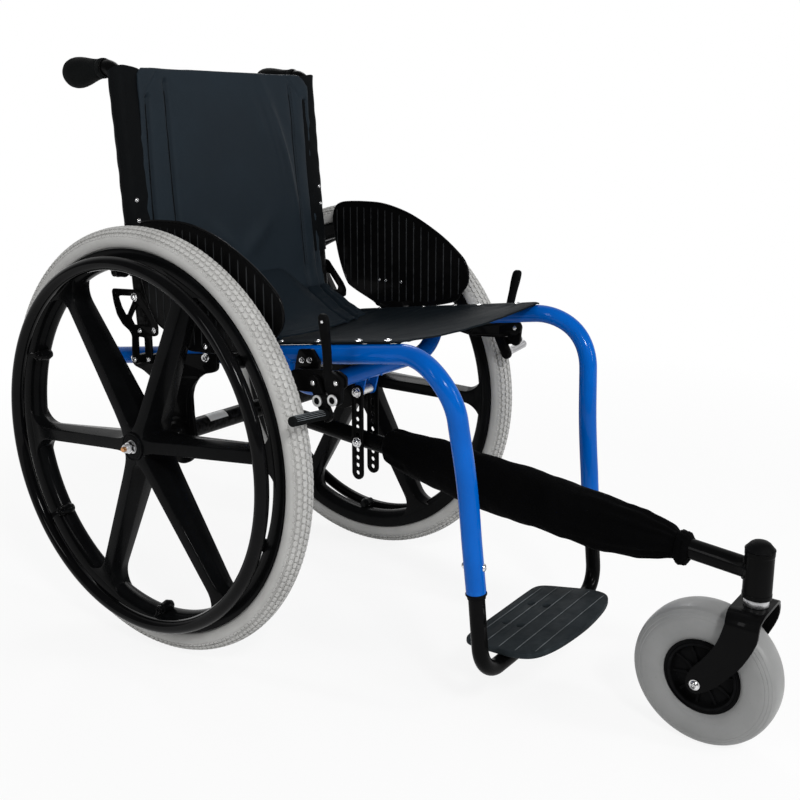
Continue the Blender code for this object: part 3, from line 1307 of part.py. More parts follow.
for hand, side in (("right", -1.0), ("left", 1.0)):
    mount = plate(
        "lock_mount_" + hand, [LOCK_MOUNT], side * LOCK_PLATE_IN_X, side * LOCK_PLATE_OUT_X,
    )
    clamp = plate(
        "lock_clamp_" + hand, [LOCK_CLAMP], side * BRACKET_IN_X, side * (BRACKET_IN_X + LOCK_CLAMP_T),
        hidden=True,
    )
    near = side * (BRACKET_IN_X + LOCK_CLAMP_T - OVERLAP)
    far = side * (LOCK_PLATE_OUT_X - OVERLAP)
    bridge = loft(
        "lock_bridge_" + hand,
        [[(near, *place) for place in LOCK_BRIDGE_NEAR], [(far, *place) for place in LOCK_BRIDGE_FAR]],
        True,
    )
    fuse(mount, bridge, clamp)
    for letter, centre in (("a", LOCK_A), ("c", LOCK_C)):
        stub = turned(
            "lock_stub_%s_%s" % (letter, hand),
            (
                (0.0, LOCK_LINK_IN_X + LOCK_HEAD_T), (LOCK_HEAD_R * 0.8, LOCK_LINK_IN_X + LOCK_HEAD_T),
                (LOCK_HEAD_R, LOCK_LINK_IN_X + LOCK_HEAD_T * 0.6), (LOCK_HEAD_R, LOCK_LINK_IN_X),
                (LOCK_PIN_R, LOCK_LINK_IN_X), (LOCK_PIN_R, LOCK_PLATE_IN_X + OVERLAP),
                (0.0, LOCK_PLATE_IN_X + OVERLAP),
            ),
            (side, 0, 0), (0, centre[0], centre[1]), 10, False, True,
        )
        fuse(mount, stub)
    finished(mount, "black_paint")

    lever_outline = eye(LOCK_B, LOCK_EYE_R, radians(190), radians(350))
    lever_outline += LOCK_LEVER_TOP
    lever_outline += eye(LOCK_A, LOCK_EYE_R + 0.0005, radians(130), radians(200), 3)
    lever = plate(
        "lock_lever_" + hand, [lever_outline, round_hole(LOCK_A, LOCK_PIN_R + GAP, 12)],
        side * LOCK_LAYER_IN_X, side * LOCK_LAYER_OUT_X,
    )
    handle_rings = []
    for z, x, y, half_x, half_y in LOCK_HANDLE:
        handle_rings.append([
            (side * (x + half_x * cos(angle)), y + half_y * sin(angle), z)
            for angle in [pi * step / 3 for step in range(6)]
        ])
    handle = loft("lock_handle_" + hand, handle_rings, True)
    fuse(lever, handle)
    arm = plate(
        "lock_arm_" + hand,
        [bar_between(LOCK_BAR, LOCK_C, LOCK_EYE_R), round_hole(LOCK_C, LOCK_PIN_R + GAP, 12)],
        side * LOCK_LAYER_IN_X, side * LOCK_LAYER_OUT_X,
    )
    bar = rod(
        "lock_bar_" + hand,
        (side * (LOCK_LAYER_IN_X + OVERLAP), *LOCK_BAR), (side * LOCK_BAR_END_X, *LOCK_BAR),
        LOCK_BAR_R, 12, True,
    )
    fuse(arm, bar)
    for obj, centre in ((lever, LOCK_B), (arm, LOCK_D)):
        head_x = LOCK_LINK_OUT_X + GAP
        pin = turned(
            "link_pin_" + obj.name,
            (
                (0.0, head_x + LOCK_HEAD_T), (LOCK_HEAD_R * 0.8, head_x + LOCK_HEAD_T),
                (LOCK_HEAD_R, head_x + LOCK_HEAD_T * 0.6), (LOCK_HEAD_R, head_x), (LOCK_PIN_R, head_x),
                (LOCK_PIN_R, LOCK_LAYER_IN_X + OVERLAP), (0.0, LOCK_LAYER_IN_X + OVERLAP),
            ),
            (side, 0, 0), (0, centre[0], centre[1]), 10, False, True,
        )
        fuse(obj, pin)
    finished(lever, "black_plastic")
    pivoted(lever, (side * LOCK_LAYER_IN_X, *LOCK_A))
    finished(arm, "black_paint")
    pivoted(arm, (side * LOCK_LAYER_IN_X, *LOCK_C))
    link = plate(
        "lock_link_" + hand,
        [
            bar_between(LOCK_D, LOCK_B, LOCK_LINK_R), round_hole(LOCK_B, LOCK_PIN_R + GAP, 12),
            slot_hole(LOCK_D, LOCK_SLOT_HALF, LOCK_SLOT_R, False),
        ],
        side * LOCK_LINK_IN_X, side * LOCK_LINK_OUT_X,
    )
    finished(link, "black_paint")
    pivoted(link, (side * LOCK_LINK_IN_X, *LOCK_B))

# Caster
def fork_arch(depth):
    """Inverted U, seen from the front, this far inside the strap's outer face."""
    radius = FORK_SHOULDER_R - depth
    half = [(FORK_HALF - depth, CASTER_R - 2 * CUT_PAST)]
    half += [
        (
            FORK_HALF - FORK_SHOULDER_R + radius * cos(angle),
            FORK_TOP_Z - FORK_SHOULDER_R + radius * sin(angle),
        )
        for angle in [pi / 2 * step / FORK_SHOULDER_STEPS for step in range(FORK_SHOULDER_STEPS + 1)]
    ]
    return half + [(-x, z) for x, z in reversed(half)]


fork_ys = [y for y, z in FORK_OUTLINE]
fork_side_x = FORK_HALF + CUT_PAST
fork = plate(
    "caster_fork", [fork_arch(0.0) + fork_arch(FORK_T)[::-1]],
    -max(fork_ys) - CUT_PAST, -min(fork_ys) + CUT_PAST, ENDS_ON,
)
fork_side = plate("fork_side", [FORK_OUTLINE], -fork_side_x, fork_side_x, hidden=True)
combine(fork, fork_side, "INTERSECT")
stem_way = rod(
    "stem_way", (0, CASTER_STEM_Y, FORK_TOP_Z - 2 * CUT_PAST), (0, CASTER_STEM_Y, FORK_TOP_Z + 2 * CUT_PAST),
    STEM_NECK_R + GAP, 14, True,
)
axle_way = rod(
    "axle_way", (-fork_side_x, CASTER_AXLE_Y, CASTER_R), (fork_side_x, CASTER_AXLE_Y, CASTER_R),
    CASTER_BOLT_R + GAP, 12, True,
)
cut(fork, stem_way, axle_way)
finished(fork, "black_paint")
pivoted(fork, (0, CASTER_STEM_Y, FORK_TOP_Z))

crown_low = FORK_TOP_Z - FORK_T - GAP
collar_low = FORK_TOP_Z + GAP
cone_top = HEAD_LOW_Z - GAP
nut_low = HEAD_POCKET_Z + GAP
nut_top = HEAD_TOP_Z - STEM_NUT_BELOW
stem = turned(
    "caster_stem",
    (
        (0.0, nut_top), (STEM_NUT_R - STEM_EDGE, nut_top), (STEM_NUT_R, nut_top - STEM_EDGE),
        (STEM_NUT_R, nut_low),
        (HEAD_BORE_R - GAP, nut_low), (HEAD_BORE_R - GAP, cone_top), (STEM_CONE_R, cone_top),
        (STEM_CONE_R, collar_low + STEM_COLLAR_T), (STEM_COLLAR_R, collar_low + STEM_COLLAR_T),
        (STEM_COLLAR_R, collar_low), (STEM_NECK_R, collar_low), (STEM_NECK_R, crown_low),
        (STEM_HEAD_R, crown_low), (STEM_HEAD_R, crown_low - STEM_HEAD_T), (0.0, crown_low - STEM_HEAD_T),
    ),
    (0, 0, 1), (0, CASTER_STEM_Y, 0), 14, False,
)
finished(stem, "chrome")
pivoted(stem, (0, CASTER_STEM_Y, FORK_TOP_Z))

caster_centre = (0, CASTER_AXLE_Y, CASTER_R)
caster_profile = [*CASTER_TYRE_SIDE, (CASTER_R, 0.0)]
caster_profile += [(radius, -along) for radius, along in reversed(CASTER_TYRE_SIDE)]
caster_tyre = turned("caster_tyre", caster_profile, (1, 0, 0), caster_centre, CASTER_STEPS, True)
finished(caster_tyre, "tyre_grey")
pivoted(caster_tyre, caster_centre)

caster_hub = turned(
    "caster_hub", [*CASTER_HUB_SIDE, *[(radius, -along) for radius, along in reversed(CASTER_HUB_SIDE)]],
    (1, 0, 0), caster_centre, CASTER_STEPS, True,
)
finished(caster_hub, "black_plastic")
pivoted(caster_hub, caster_centre)

caster_bolt = turned(
    "caster_axle_bolt", bolt_profile(FORK_HALF + GAP, CASTER_NUT_R, CASTER_NUT_T, CASTER_BOLT_R),
    (1, 0, 0), caster_centre, 12, False,
)
finished(caster_bolt, "chrome")
pivoted(caster_bolt, caster_centre)

# The chair stands centred on its length
for obj in bpy.data.objects:
    obj.location.y += AXLE_Y
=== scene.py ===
from math import acos, atan2, cos, exp, hypot, pi, radians, sin, sqrt, tan

import bmesh
import bpy
from mathutils import Matrix, Vector, noise


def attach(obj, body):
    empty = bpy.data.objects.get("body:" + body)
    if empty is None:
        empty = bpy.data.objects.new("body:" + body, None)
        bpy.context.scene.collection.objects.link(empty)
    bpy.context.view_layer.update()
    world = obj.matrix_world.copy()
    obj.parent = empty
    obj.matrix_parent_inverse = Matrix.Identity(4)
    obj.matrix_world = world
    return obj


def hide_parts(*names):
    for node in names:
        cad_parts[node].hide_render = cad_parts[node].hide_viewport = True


# All-terrain wheelchair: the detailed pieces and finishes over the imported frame.
# Metres, +Z up, the chair faces -Y, its right-hand side is -X.
# Lengths along Y are written from the driving wheels' axle; put() moves each piece by AXLE_Y.

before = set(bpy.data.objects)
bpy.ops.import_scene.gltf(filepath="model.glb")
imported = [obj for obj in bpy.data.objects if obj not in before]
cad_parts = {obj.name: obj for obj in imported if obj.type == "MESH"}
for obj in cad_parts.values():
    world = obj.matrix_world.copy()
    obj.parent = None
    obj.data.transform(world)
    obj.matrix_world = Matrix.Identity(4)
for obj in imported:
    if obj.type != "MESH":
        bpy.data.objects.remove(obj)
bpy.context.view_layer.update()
for start_object in ("Cube", "Light", "Camera"):
    found = bpy.data.objects.get(start_object)
    if found is not None:
        bpy.data.objects.remove(found, do_unlink=True)

AXLE_Y = 0.2595
AXLE_Z = 0.305
AXLE = (0, 0, AXLE_Z)
HANDS = (("right", -1.0), ("left", 1.0))

# Tubes
TUBE_R = 0.0127
RAIL_X = 0.168
RAIL_Z = 0.4179
RAIL_SLOPE = -0.1385
RAIL_REAR_Y = 0.155
RAIL_FRONT_Y = -0.3
HANGER_Y = -0.5132
HANGER_SLOPE = 0.095
HANGER_END_Z = 0.1845
HANGER_LOW_X = 0.1555
HANGER_LEAN = 0.033
KNEE_R = 0.078
KNEE_X = 0.175
KNEE_END_X = 0.1695
CROSS_Y = -0.21
CROSS_LOW_Z = 0.394
FOOT_TUBE_R = 0.0105
FOOT_TUBE_LOW_Z = 0.0735
FOOT_BEND_R = 0.038
FOOTPLATE_Y = -0.508
FOOTPLATE_Z = 0.0937
FOOTPLATE_SLOPE = -0.14
BOOM_R = 0.0126
BOOM_Z = 0.302
BOOM_SLOPE = 0.0856
STEM_Y = -0.786
CASTER_Y = -0.734
CASTER_R = 0.09
HEAD_R = 0.017
HEAD_LOW_Z = 0.203
HEAD_TOP_Z = 0.2615
STRAP_Y = -0.1992
STRAP_TOP_Z = 0.3614
BRACKET_IN_X = 0.181
BRACKET_OUT_X = 0.187
CANE_X = 0.1953
CANE_R = 0.011
CANE_Y = 0.0812
CANE_Z = 0.7913
CANE_SLOPE = 0.0875
GRIP_Y = 0.1036
GRIP_Z = 0.822
GRIP_SLOPE = -0.0809
PIVOT = (0.0545, 0.5025)
WHEEL_X = 0.2428
WHEEL_R = 0.305


# Small sums
def smooth(share):
    share = min(1.0, max(0.0, share))
    return share * share * (3 - 2 * share)


def straight(keys, place):
    """Value on straight lines between (place, value) keys."""
    if place <= keys[0][0]:
        return keys[0][1]
    for (low, first), (high, second) in zip(keys, keys[1:]):
        if place <= high:
            return first + (second - first) * (place - low) / (high - low)
    return keys[-1][1]


def flowing(keys, place):
    """Value on one smooth curve through (place, value) keys, level at both ends."""
    if place <= keys[0][0]:
        return keys[0][1]
    for index in range(len(keys) - 1):
        (low, first), (high, second) = keys[index], keys[index + 1]
        if place > high:
            continue
        long = high - low
        slopes = []
        for middle in (index, index + 1):
            if middle in (0, len(keys) - 1):
                slopes.append(0.0)
            else:
                before, after = keys[middle - 1], keys[middle + 1]
                slopes.append((after[1] - before[1]) / (after[0] - before[0]) * long)
        t = (place - low) / long
        return (
            first * (2 * t ** 3 - 3 * t ** 2 + 1) + slopes[0] * (t ** 3 - 2 * t ** 2 + t)
            + second * (3 * t ** 2 - 2 * t ** 3) + slopes[1] * (t ** 3 - t ** 2)
        )
    return keys[-1][1]


def lump(place, centre, width):
    return exp(-((place - centre) / width) ** 2)


def rail_z(y):
    return RAIL_Z + RAIL_SLOPE * y


def boom_z(y):
    return BOOM_Z + BOOM_SLOPE * y


def hanger_y(z):
    return HANGER_Y + HANGER_SLOPE * z


def hanger_x(z):
    return HANGER_LOW_X + HANGER_LEAN * max(0.0, z - HANGER_END_Z)


def hanger_at(side, z):
    return Vector((side * hanger_x(z), hanger_y(z), z))


def cane_y(z):
    return CANE_Y + CANE_SLOPE * (z - CANE_Z)


def footplate_z(y):
    return FOOTPLATE_Z + FOOTPLATE_SLOPE * (y - FOOTPLATE_Y)


# Meshes
def put(obj, body, material, slot, *stood_for):
    """Moves a piece to its place along Y, gives it its finish and its body, and hides the imported nodes it
    stands for.
    """
    if stood_for:
        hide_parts(*stood_for)
    obj.location.y += AXLE_Y
    if material is not None:
        obj.data.materials.clear()
        obj.data.materials.append(material)
    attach(obj, body)
    return obj


def painted(material, *objects):
    for obj in objects:
        obj.data.materials.append(material)
    return objects


def cleaned(mesh, closeness):
    """The mesh with doubled points merged and its faces turned outwards."""
    build = bmesh.new()
    build.from_mesh(mesh)
    bmesh.ops.remove_doubles(build, verts=build.verts, dist=closeness)
    bmesh.ops.recalc_face_normals(build, faces=build.faces)
    build.to_mesh(mesh)
    build.free()
    return mesh


def linked(name, data):
    obj = bpy.data.objects.new(name, data)
    bpy.context.scene.collection.objects.link(obj)
    return obj


def smoothed(mesh):
    for face in mesh.polygons:
        face.use_smooth = True
    return mesh


def shown(name, mesh, angle):
    """A new object of this mesh, smooth but for edges sharper than angle degrees."""
    smoothed(mesh).set_sharp_from_angle(angle=radians(angle))
    return linked(name, mesh)


def mesh_object(name, points, faces, angle):
    mesh = bpy.data.meshes.new(name)
    mesh.from_pydata([tuple(point) for point in points], [], faces)
    return shown(name, cleaned(mesh, 1e-7), angle)


def skin(name, rings, closed, caps, angle=40.0, around=False):
    """Skin over rings; closed joins the ends of each ring, around joins the last ring to the first."""
    count = len(rings[0])
    points = [point for ring in rings for point in ring]
    faces = []
    for row in range(len(rings) if around else len(rings) - 1):
        low = row * count
        high = (row + 1) % len(rings) * count
        for place in range(count if closed else count - 1):
            after = (place + 1) % count
            faces.append((low + place, low + after, high + after, high + place))
    if caps:
        faces.append(tuple(range(count)))
        faces.append(tuple(range(len(points) - count, len(points))))
    return mesh_object(name, points, faces, angle)


def slab(name, columns, rows, lower, upper, angle):
    """Closed sheet between two grids of points, given row by row, its border joined by a rim."""
    total = len(lower)
    faces = []
    for row in range(rows - 1):
        for column in range(columns - 1):
            first = row * columns + column
            quad = (first, first + 1, first + columns + 1, first + columns)
            faces.append(quad)
            faces.append(tuple(total + index for index in reversed(quad)))
    border = list(range(columns)) + [row * columns + columns - 1 for row in range(1, rows)]
    border += [(rows - 1) * columns + column for column in range(columns - 2, -1, -1)]
    border += [row * columns for row in range(rows - 2, 0, -1)]
    for first, last in zip(border, border[1:] + border[:1]):
        faces.append((first, last, total + last, total + first))
    return mesh_object(name, lower + upper, faces, angle)


def turns(count):
    """Angles of this many even steps round a circle."""
    return [2 * pi * step / count for step in range(count)]


def ring_of(middle, side, up, count):
    """Points round an ellipse with these two half axes."""
    return [middle + side * cos(turn) + up * sin(turn) for turn in turns(count)]


def square_to(axis):
    """The direction of an axis and two directions square to it."""
    axis = Vector(axis).normalized()
    side = axis.orthogonal().normalized()
    return axis, side, axis.cross(side)


def resampled(path, step):
    """Points along a line at even steps, its corners kept smooth by close points."""
    path = [Vector(point) for point in path]
    lengths = [0.0]
    for first, second in zip(path, path[1:]):
        lengths.append(lengths[-1] + (second - first).length)
    count = max(2, round(lengths[-1] / step))
    out = []
    row = 0
    for number in range(count + 1):
        along = lengths[-1] * number / count
        while row < len(path) - 2 and lengths[row + 1] < along:
            row += 1
        span = lengths[row + 1] - lengths[row]
        out.append(path[row].lerp(path[row + 1], (along - lengths[row]) / span))
    return out


def frames_along(path):
    """For each point of a line, its direction and two directions across that don't twist."""
    path = [Vector(point) for point in path]
    tangents = []
    for index in range(len(path)):
        before = path[max(0, index - 1)]
        after = path[min(len(path) - 1, index + 1)]
        tangents.append((after - before).normalized())
    side = tangents[0].orthogonal().normalized()
    out = []
    for point, tangent in zip(path, tangents):
        side = (side - tangent * side.dot(tangent)).normalized()
        out.append((point, tangent, side, tangent.cross(side)))
    return out


def pipe(name, path, radius, sides):
    """Round tube along a line; radius is a number, or a function of the share along it."""
    rings = []
    frames = frames_along(path)
    for index, (point, _, side, up) in enumerate(frames):
        here = radius(index / (len(frames) - 1)) if callable(radius) else radius
        rings.append(ring_of(point, side * here, up * here, sides))
    return skin(name, rings, True, True)


def corner_arc(before, corner, after, radius, steps):
    """The points of a small round in place of a corner."""
    into = before - corner
    away = after - corner
    reach = min(radius, into.length * 0.45, away.length * 0.45)
    if reach < 1e-6:
        return [tuple(corner)]
    first = corner + into.normalized() * reach
    last = corner + away.normalized() * reach
    shares = [step / steps for step in range(steps + 1)]
    return [tuple(first.lerp(corner, share).lerp(corner.lerp(last, share), share)) for share in shares]


def rounded(profile, radius, steps=3):
    """Profile with each inner corner replaced by a small round."""
    points = [Vector(point) for point in profile]
    out = [tuple(points[0])]
    for before, corner, after in zip(points, points[1:], points[2:]):
        out += corner_arc(before, corner, after, radius, steps)
    return out + [tuple(points[-1])]


def softened(outline, radius, steps=4):
    """Closed outline with each corner replaced by a round."""
    points = [Vector(point) for point in outline]
    out = []
    for before, corner, after in zip(points[-1:] + points, points, points[1:] + points[:1]):
        out += corner_arc(before, corner, after, radius, steps)
    return out


def lathe(name, profile, axis, origin, steps=48, closed=False, angle=40.0):
    """Profile of (radius, distance) pairs turned round an axis through origin."""
    axis, side, up = square_to(axis)
    rings = []
    for turn in turns(steps):
        out = side * cos(turn) + up * sin(turn)
        rings.append([Vector(origin) + axis * along + out * radius for radius, along in profile])
    return skin(name, rings, closed, False, angle, True)


SIDE_ON = Matrix(((0, 0, 1, 0), (1, 0, 0, 0), (0, 1, 0, 0), (0, 0, 0, 1)))


def plate(name, outlines, low, high, edge=0.0006, turn=SIDE_ON):
    """Flat piece with softened edges, cut to an outline with further outlines as holes."""
    curve = bpy.data.curves.new(name, "CURVE")
    curve.dimensions = "2D"
    curve.fill_mode = "BOTH"
    curve.extrude = abs(high - low) / 2 - edge
    curve.bevel_depth = edge
    curve.bevel_resolution = 2
    curve.offset = -edge
    for outline in outlines:
        spline = curve.splines.new("POLY")
        spline.points.add(len(outline) - 1)
        for point, place in zip(spline.points, outline):
            point.co = (place[0], place[1], 0.0, 1.0)
        spline.use_cyclic_u = True
    guide = linked(name + "_guide", curve)
    guide.matrix_world = turn @ Matrix.Translation((0, 0, (low + high) / 2))
    bpy.context.view_layer.update()
    graph = bpy.context.evaluated_depsgraph_get()
    mesh = bpy.data.meshes.new_from_object(guide.evaluated_get(graph))
    mesh.transform(guide.matrix_world)
    bpy.data.objects.remove(guide, do_unlink=True)
    bpy.data.curves.remove(curve)
    return shown(name, cleaned(mesh, 1e-6), 30.0)


def swung(centre, start, turn, steps):
    """Points of a start point swung round a centre by even steps up to this turn."""
    spoke = start - centre
    angles = [turn * step / steps for step in range(steps + 1)]
    return [
        centre + Vector(
            (spoke.x * cos(angle) - spoke.y * sin(angle), spoke.x * sin(angle) + spoke.y * cos(angle)),
        )
        for angle in angles
    ]


def round_hole(centre, radius, sides=24):
    return [(centre[0] + radius * cos(turn), centre[1] + radius * sin(turn)) for turn in turns(sides)]


def part_circle(centre, radius, start, end, steps=14):
    """Points along an arc from one angle to another."""
    angles = [start + (end - start) * step / steps for step in range(steps + 1)]
    return [(centre[0] + radius * cos(angle), centre[1] + radius * sin(angle)) for angle in angles]


def slot_hole(centre, half, radius, upright, steps=8):
    """Outline of a slot with round ends, half its length between their centres given."""
    reach = (0.0, half) if upright else (half, 0.0)
    start = 0.0 if upright else -pi / 2
    top = part_circle((centre[0] + reach[0], centre[1] + reach[1]), radius, start, start + pi, steps)
    return top + part_circle(
        (centre[0] - reach[0], centre[1] - reach[1]), radius, start + pi, start + 2 * pi, steps,
    )


def joined(name, *objects):
    """One object from several, their finishes kept."""
    build = bmesh.new()
    materials = []
    for obj in objects:
        mesh = obj.data
        places = []
        for material in mesh.materials:
            if material not in materials:
                materials.append(material)
            places.append(materials.index(material))
        mesh.transform(obj.matrix_world)
        start = len(build.faces)
        build.from_mesh(mesh)
        build.faces.ensure_lookup_table()
        if places:
            for face in build.faces[start:]:
                face.material_index = places[face.material_index]
    mesh = bpy.data.meshes.new(name)
    build.to_mesh(mesh)
    build.free()
    for material in materials:
        mesh.materials.append(material)
    for obj in objects:
        old = obj.data
        bpy.data.objects.remove(obj, do_unlink=True)
        bpy.data.meshes.remove(old)
    return linked(name, mesh)


def baked(obj):
    """The object with its modifiers applied."""
    bpy.context.view_layer.update()
    graph = bpy.context.evaluated_depsgraph_get()
    mesh = bpy.data.meshes.new_from_object(obj.evaluated_get(graph))
    old = obj.data
    obj.modifiers.clear()
    obj.data = mesh
    mesh.name = obj.name
    bpy.data.meshes.remove(old)
    return obj


def cut_by(obj, *cutters, operation="DIFFERENCE"):
    for cutter in cutters:
        step = obj.modifiers.new("cut", "BOOLEAN")
        step.operation = operation
        step.solver = "EXACT"
        step.object = cutter
    baked(obj)
    for cutter in cutters:
        bpy.data.objects.remove(cutter, do_unlink=True)
    return obj


def rod(name, start, end, radius, sides=24, edge=0.0004):
    """Straight bar between two points with a small round at each end."""
    start = Vector(start)
    end = Vector(end)
    long = (end - start).length
    edge = min(edge, radius * 0.5, long * 0.4)
    profile = [(0.0, 0.0)] + rounded([(radius - edge, 0.0), (radius, 0.0), (radius, edge)], edge)
    profile += rounded([(radius, long - edge), (radius, long), (radius - edge, long)], edge) + [(0.0, long)]
    return lathe(name, profile, end - start, start, sides)


def dome(radius, height, steps=6, start=0.0):
    """Profile of a domed head, from its rim at start to its top on the axis."""
    return [
        (radius * cos(pi / 2 * step / steps), start + height * sin(pi / 2 * step / steps))
        for step in range(steps + 1)
    ]


def hexagon(name, origin, axis, wide, thick, hole=0.0, turned=0.0):
    """Hexagonal nut this wide over its flats, its corners chamfered on the outer face."""
    axis, side, up = square_to(axis)
    origin = Vector(origin)
    sides = 48
    rings = []
    for height, share in ((0.0, 0.9), (0.08, 1.0), (0.8, 1.0), (0.96, 0.88), (1.0, 0.8)):
        ring = []
        for turn in turns(sides):
            reach = wide / 2 / cos((turn - turned) % (pi / 3) - pi / 6)
            if share < 1:
                reach = min(reach, wide / sqrt(3) * (share * 0.98 + 0.02))
            ring.append(origin + axis * thick * height + (side * cos(turn) + up * sin(turn)) * reach)
        rings.append(ring)
    if hole:
        rings += [ring_of(origin + axis * height, side * hole, up * hole, sides) for height in (thick, 0.0)]
        rings.append(rings[0])
    return skin(name, rings, True, not hole, 30.0)


def socket_head(name, origin, axis, radius, height, hexagonal=True):
    """Cap screw with a hexagon socket, or a button head with one."""
    profile = [(0.0, 0.0)]
    if hexagonal:
        profile += rounded([(radius, 0.0), (radius, height), (radius * 0.62, height)], radius * 0.16)
    else:
        profile += [(radius, 0.0)] + [
            (radius * cos(turn), height * sin(turn)) for turn in (0.35, 0.7, 1.0)
        ]
        profile += [(radius * 0.52, height)]
    profile += [(radius * 0.5, height - radius * 0.06), (radius * 0.47, height * 0.45), (0.0, height * 0.4)]
    return lathe(name, profile, axis, origin, 24, angle=25.0)


def domed_screw(name, origin, axis, radius, height):
    return lathe(name, [(0.0, 0.0)] + dome(radius, height, 6), axis, origin, 24)


def washer(name, origin, axis, outer, inner, thick):
    """Flat ring of these two radii."""
    corners = [(inner, 0.0), (outer, 0.0), (outer, thick), (inner, thick), (inner, 0.0)]
    return lathe(name, rounded(corners, min(thick * 0.3, 0.0003), 2), axis, origin, 32)


def screw_and_washer(name, at, axis, ring, head, hexagonal=True):
    """Socket screw on its washer, given by its two radii and thickness, and the head's radius and height."""
    on_ring = Vector(at) + Vector(axis) * ring[2]
    return [washer(name + "_washer", at, axis, *ring), socket_head(name, on_ring, axis, *head, hexagonal)]


# Finishes
class Finish:
    """One node material, its pattern taken from the piece's own coordinates."""

    def __init__(self, name, roughness, metallic=0.0, **constants):
        self.material = bpy.data.materials.new(name)
        self.material.use_nodes = True
        self.tree = self.material.node_tree
        self.shader = self.tree.nodes["Principled BSDF"]
        self.shader.inputs["Roughness"].default_value = roughness
        self.shader.inputs["Metallic"].default_value = metallic
        for key, value in constants.items():
            self.shader.inputs[key.replace("_", " ")].default_value = value
        self.coords = self.node("ShaderNodeTexCoord").outputs["Object"]
        self.normal = None

    def feed(self, socket, value):
        """Links another node's output to a socket, or sets the socket to a constant."""
        if isinstance(value, bpy.types.NodeSocket):
            self.tree.links.new(value, socket)
        else:
            socket.default_value = value

    def node(self, kind, inputs=(), **settings):
        node = self.tree.nodes.new(kind)
        for key, value in settings.items():
            setattr(node, key, value)
        for key, value in dict(inputs).items():
            self.feed(node.inputs[key], value)
        return node

    def placed(self, stretch):
        return self.node("ShaderNodeMapping", {"Vector": self.coords, "Scale": stretch}).outputs["Vector"]

    def noise(self, scale, detail=4.0, rough=0.55, stretch=(1.0, 1.0, 1.0)):
        inputs = {"Vector": self.placed(stretch), "Scale": scale, "Detail": detail, "Roughness": rough}
        return self.node("ShaderNodeTexNoise", inputs).outputs["Fac"]

    def cells(self, scale, stretch=(1.0, 1.0, 1.0)):
        inputs = {"Vector": self.placed(stretch), "Scale": scale}
        return self.node("ShaderNodeTexVoronoi", inputs).outputs["Distance"]

    def bands(self, pitch, direction):
        """Height of parallel threads this far apart across X, Y or Z."""
        return self.node(
            "ShaderNodeTexWave", {"Vector": self.coords, "Scale": 1.0 / pitch / 3.1831, "Distortion": 0.0},
            wave_type="BANDS", bands_direction=direction,
        ).outputs["Fac"]

    def maths(self, operation, first, second):
        return self.node("ShaderNodeMath", {0: first, 1: second}, operation=operation).outputs[0]

    def range(self, value, low, high, to_low, to_high):
        return self.node(
            "ShaderNodeMapRange",
            {"Value": value, "From Min": low, "From Max": high, "To Min": to_low, "To Max": to_high},
        ).outputs["Result"]

    def mixed(self, share, first, second):
        """Colour between two others, each a node's output or a constant."""
        inputs = {0: share}
        for place, value in ((6, first), (7, second)):
            inputs[place] = value if isinstance(value, bpy.types.NodeSocket) else (*value, 1.0)
        return self.node("ShaderNodeMix", inputs, data_type="RGBA").outputs[2]

    def patches(self, scale, detail, low, high, to_low, to_high):
        """Soft spots: a noise pattern spread between two values."""
        return self.range(self.noise(scale, detail), low, high, to_low, to_high)

    def edges(self, low=0.515, high=0.58):
        """1 on worn outer edges and 0 on flat and hollow places, or the reverse where low is above high."""
        pointed = self.node("ShaderNodeNewGeometry").outputs["Pointiness"]
        return self.range(pointed, low, high, 0.0, 1.0)

    def colour(self, socket):
        self.tree.links.new(socket, self.shader.inputs["Base Color"])
        return self

    def rough(self, socket):
        self.tree.links.new(socket, self.shader.inputs["Roughness"])
        return self

    def bump(self, height, distance, strength=1.0):
        inputs = {"Height": height, "Distance": distance, "Strength": strength}
        if self.normal is not None:
            inputs["Normal"] = self.normal
        self.normal = self.node("ShaderNodeBump", inputs).outputs["Normal"]
        self.tree.links.new(self.normal, self.shader.inputs["Normal"])
        return self


def paint_finish(name, deep, bright, worn, roughness, coat):
    """Powder coat under a clear layer: faint orange peel, clouds of tone, dust and rubbed edges."""
    kind = Finish(name, roughness, Coat_Weight=coat, Coat_Roughness=0.04, Specular_IOR_Level=0.02)
    tone = kind.mixed(kind.patches(9.0, 3.0, 0.35, 0.68, 0.0, 1.0), deep, bright)
    rub = kind.maths("MULTIPLY", kind.edges(0.53, 0.6), kind.patches(160.0, 5.0, 0.42, 0.62, 0.0, 0.65))
    kind.colour(kind.mixed(rub, tone, worn))
    kind.rough(kind.range(kind.noise(34.0, 6.0, 0.62), 0.3, 0.72, roughness * 0.75, roughness * 1.35))
    kind.bump(kind.noise(420.0, 2.0), 0.00004, 0.5)
    return kind.material


def moulded_finish(name, deep, bright, roughness, grain=700.0, depth=0.00006, coat=0.0):
    """Moulded plastic or rubber: fine grain, flow clouds and paler rubbed edges."""
    kind = Finish(name, roughness, Coat_Weight=coat, Coat_Roughness=0.1, Specular_IOR_Level=0.02)
    cloud = kind.noise(14.0, 5.0, 0.6)
    tone = kind.mixed(kind.range(cloud, 0.32, 0.7, 0.0, 1.0), deep, bright)
    rub = kind.maths("MULTIPLY", kind.edges(), kind.patches(95.0, 6.0, 0.42, 0.68, 0.0, 0.4))
    kind.colour(kind.mixed(rub, tone, tuple(min(1.0, level * 3.0 + 0.004) for level in bright)))
    kind.rough(kind.range(kind.noise(40.0, 6.0, 0.65), 0.3, 0.7, roughness * 0.82, roughness * 1.25))
    kind.bump(kind.cells(grain), depth, 0.55)
    kind.bump(kind.noise(120.0, 4.0), depth * 2, 0.3)
    return kind.material


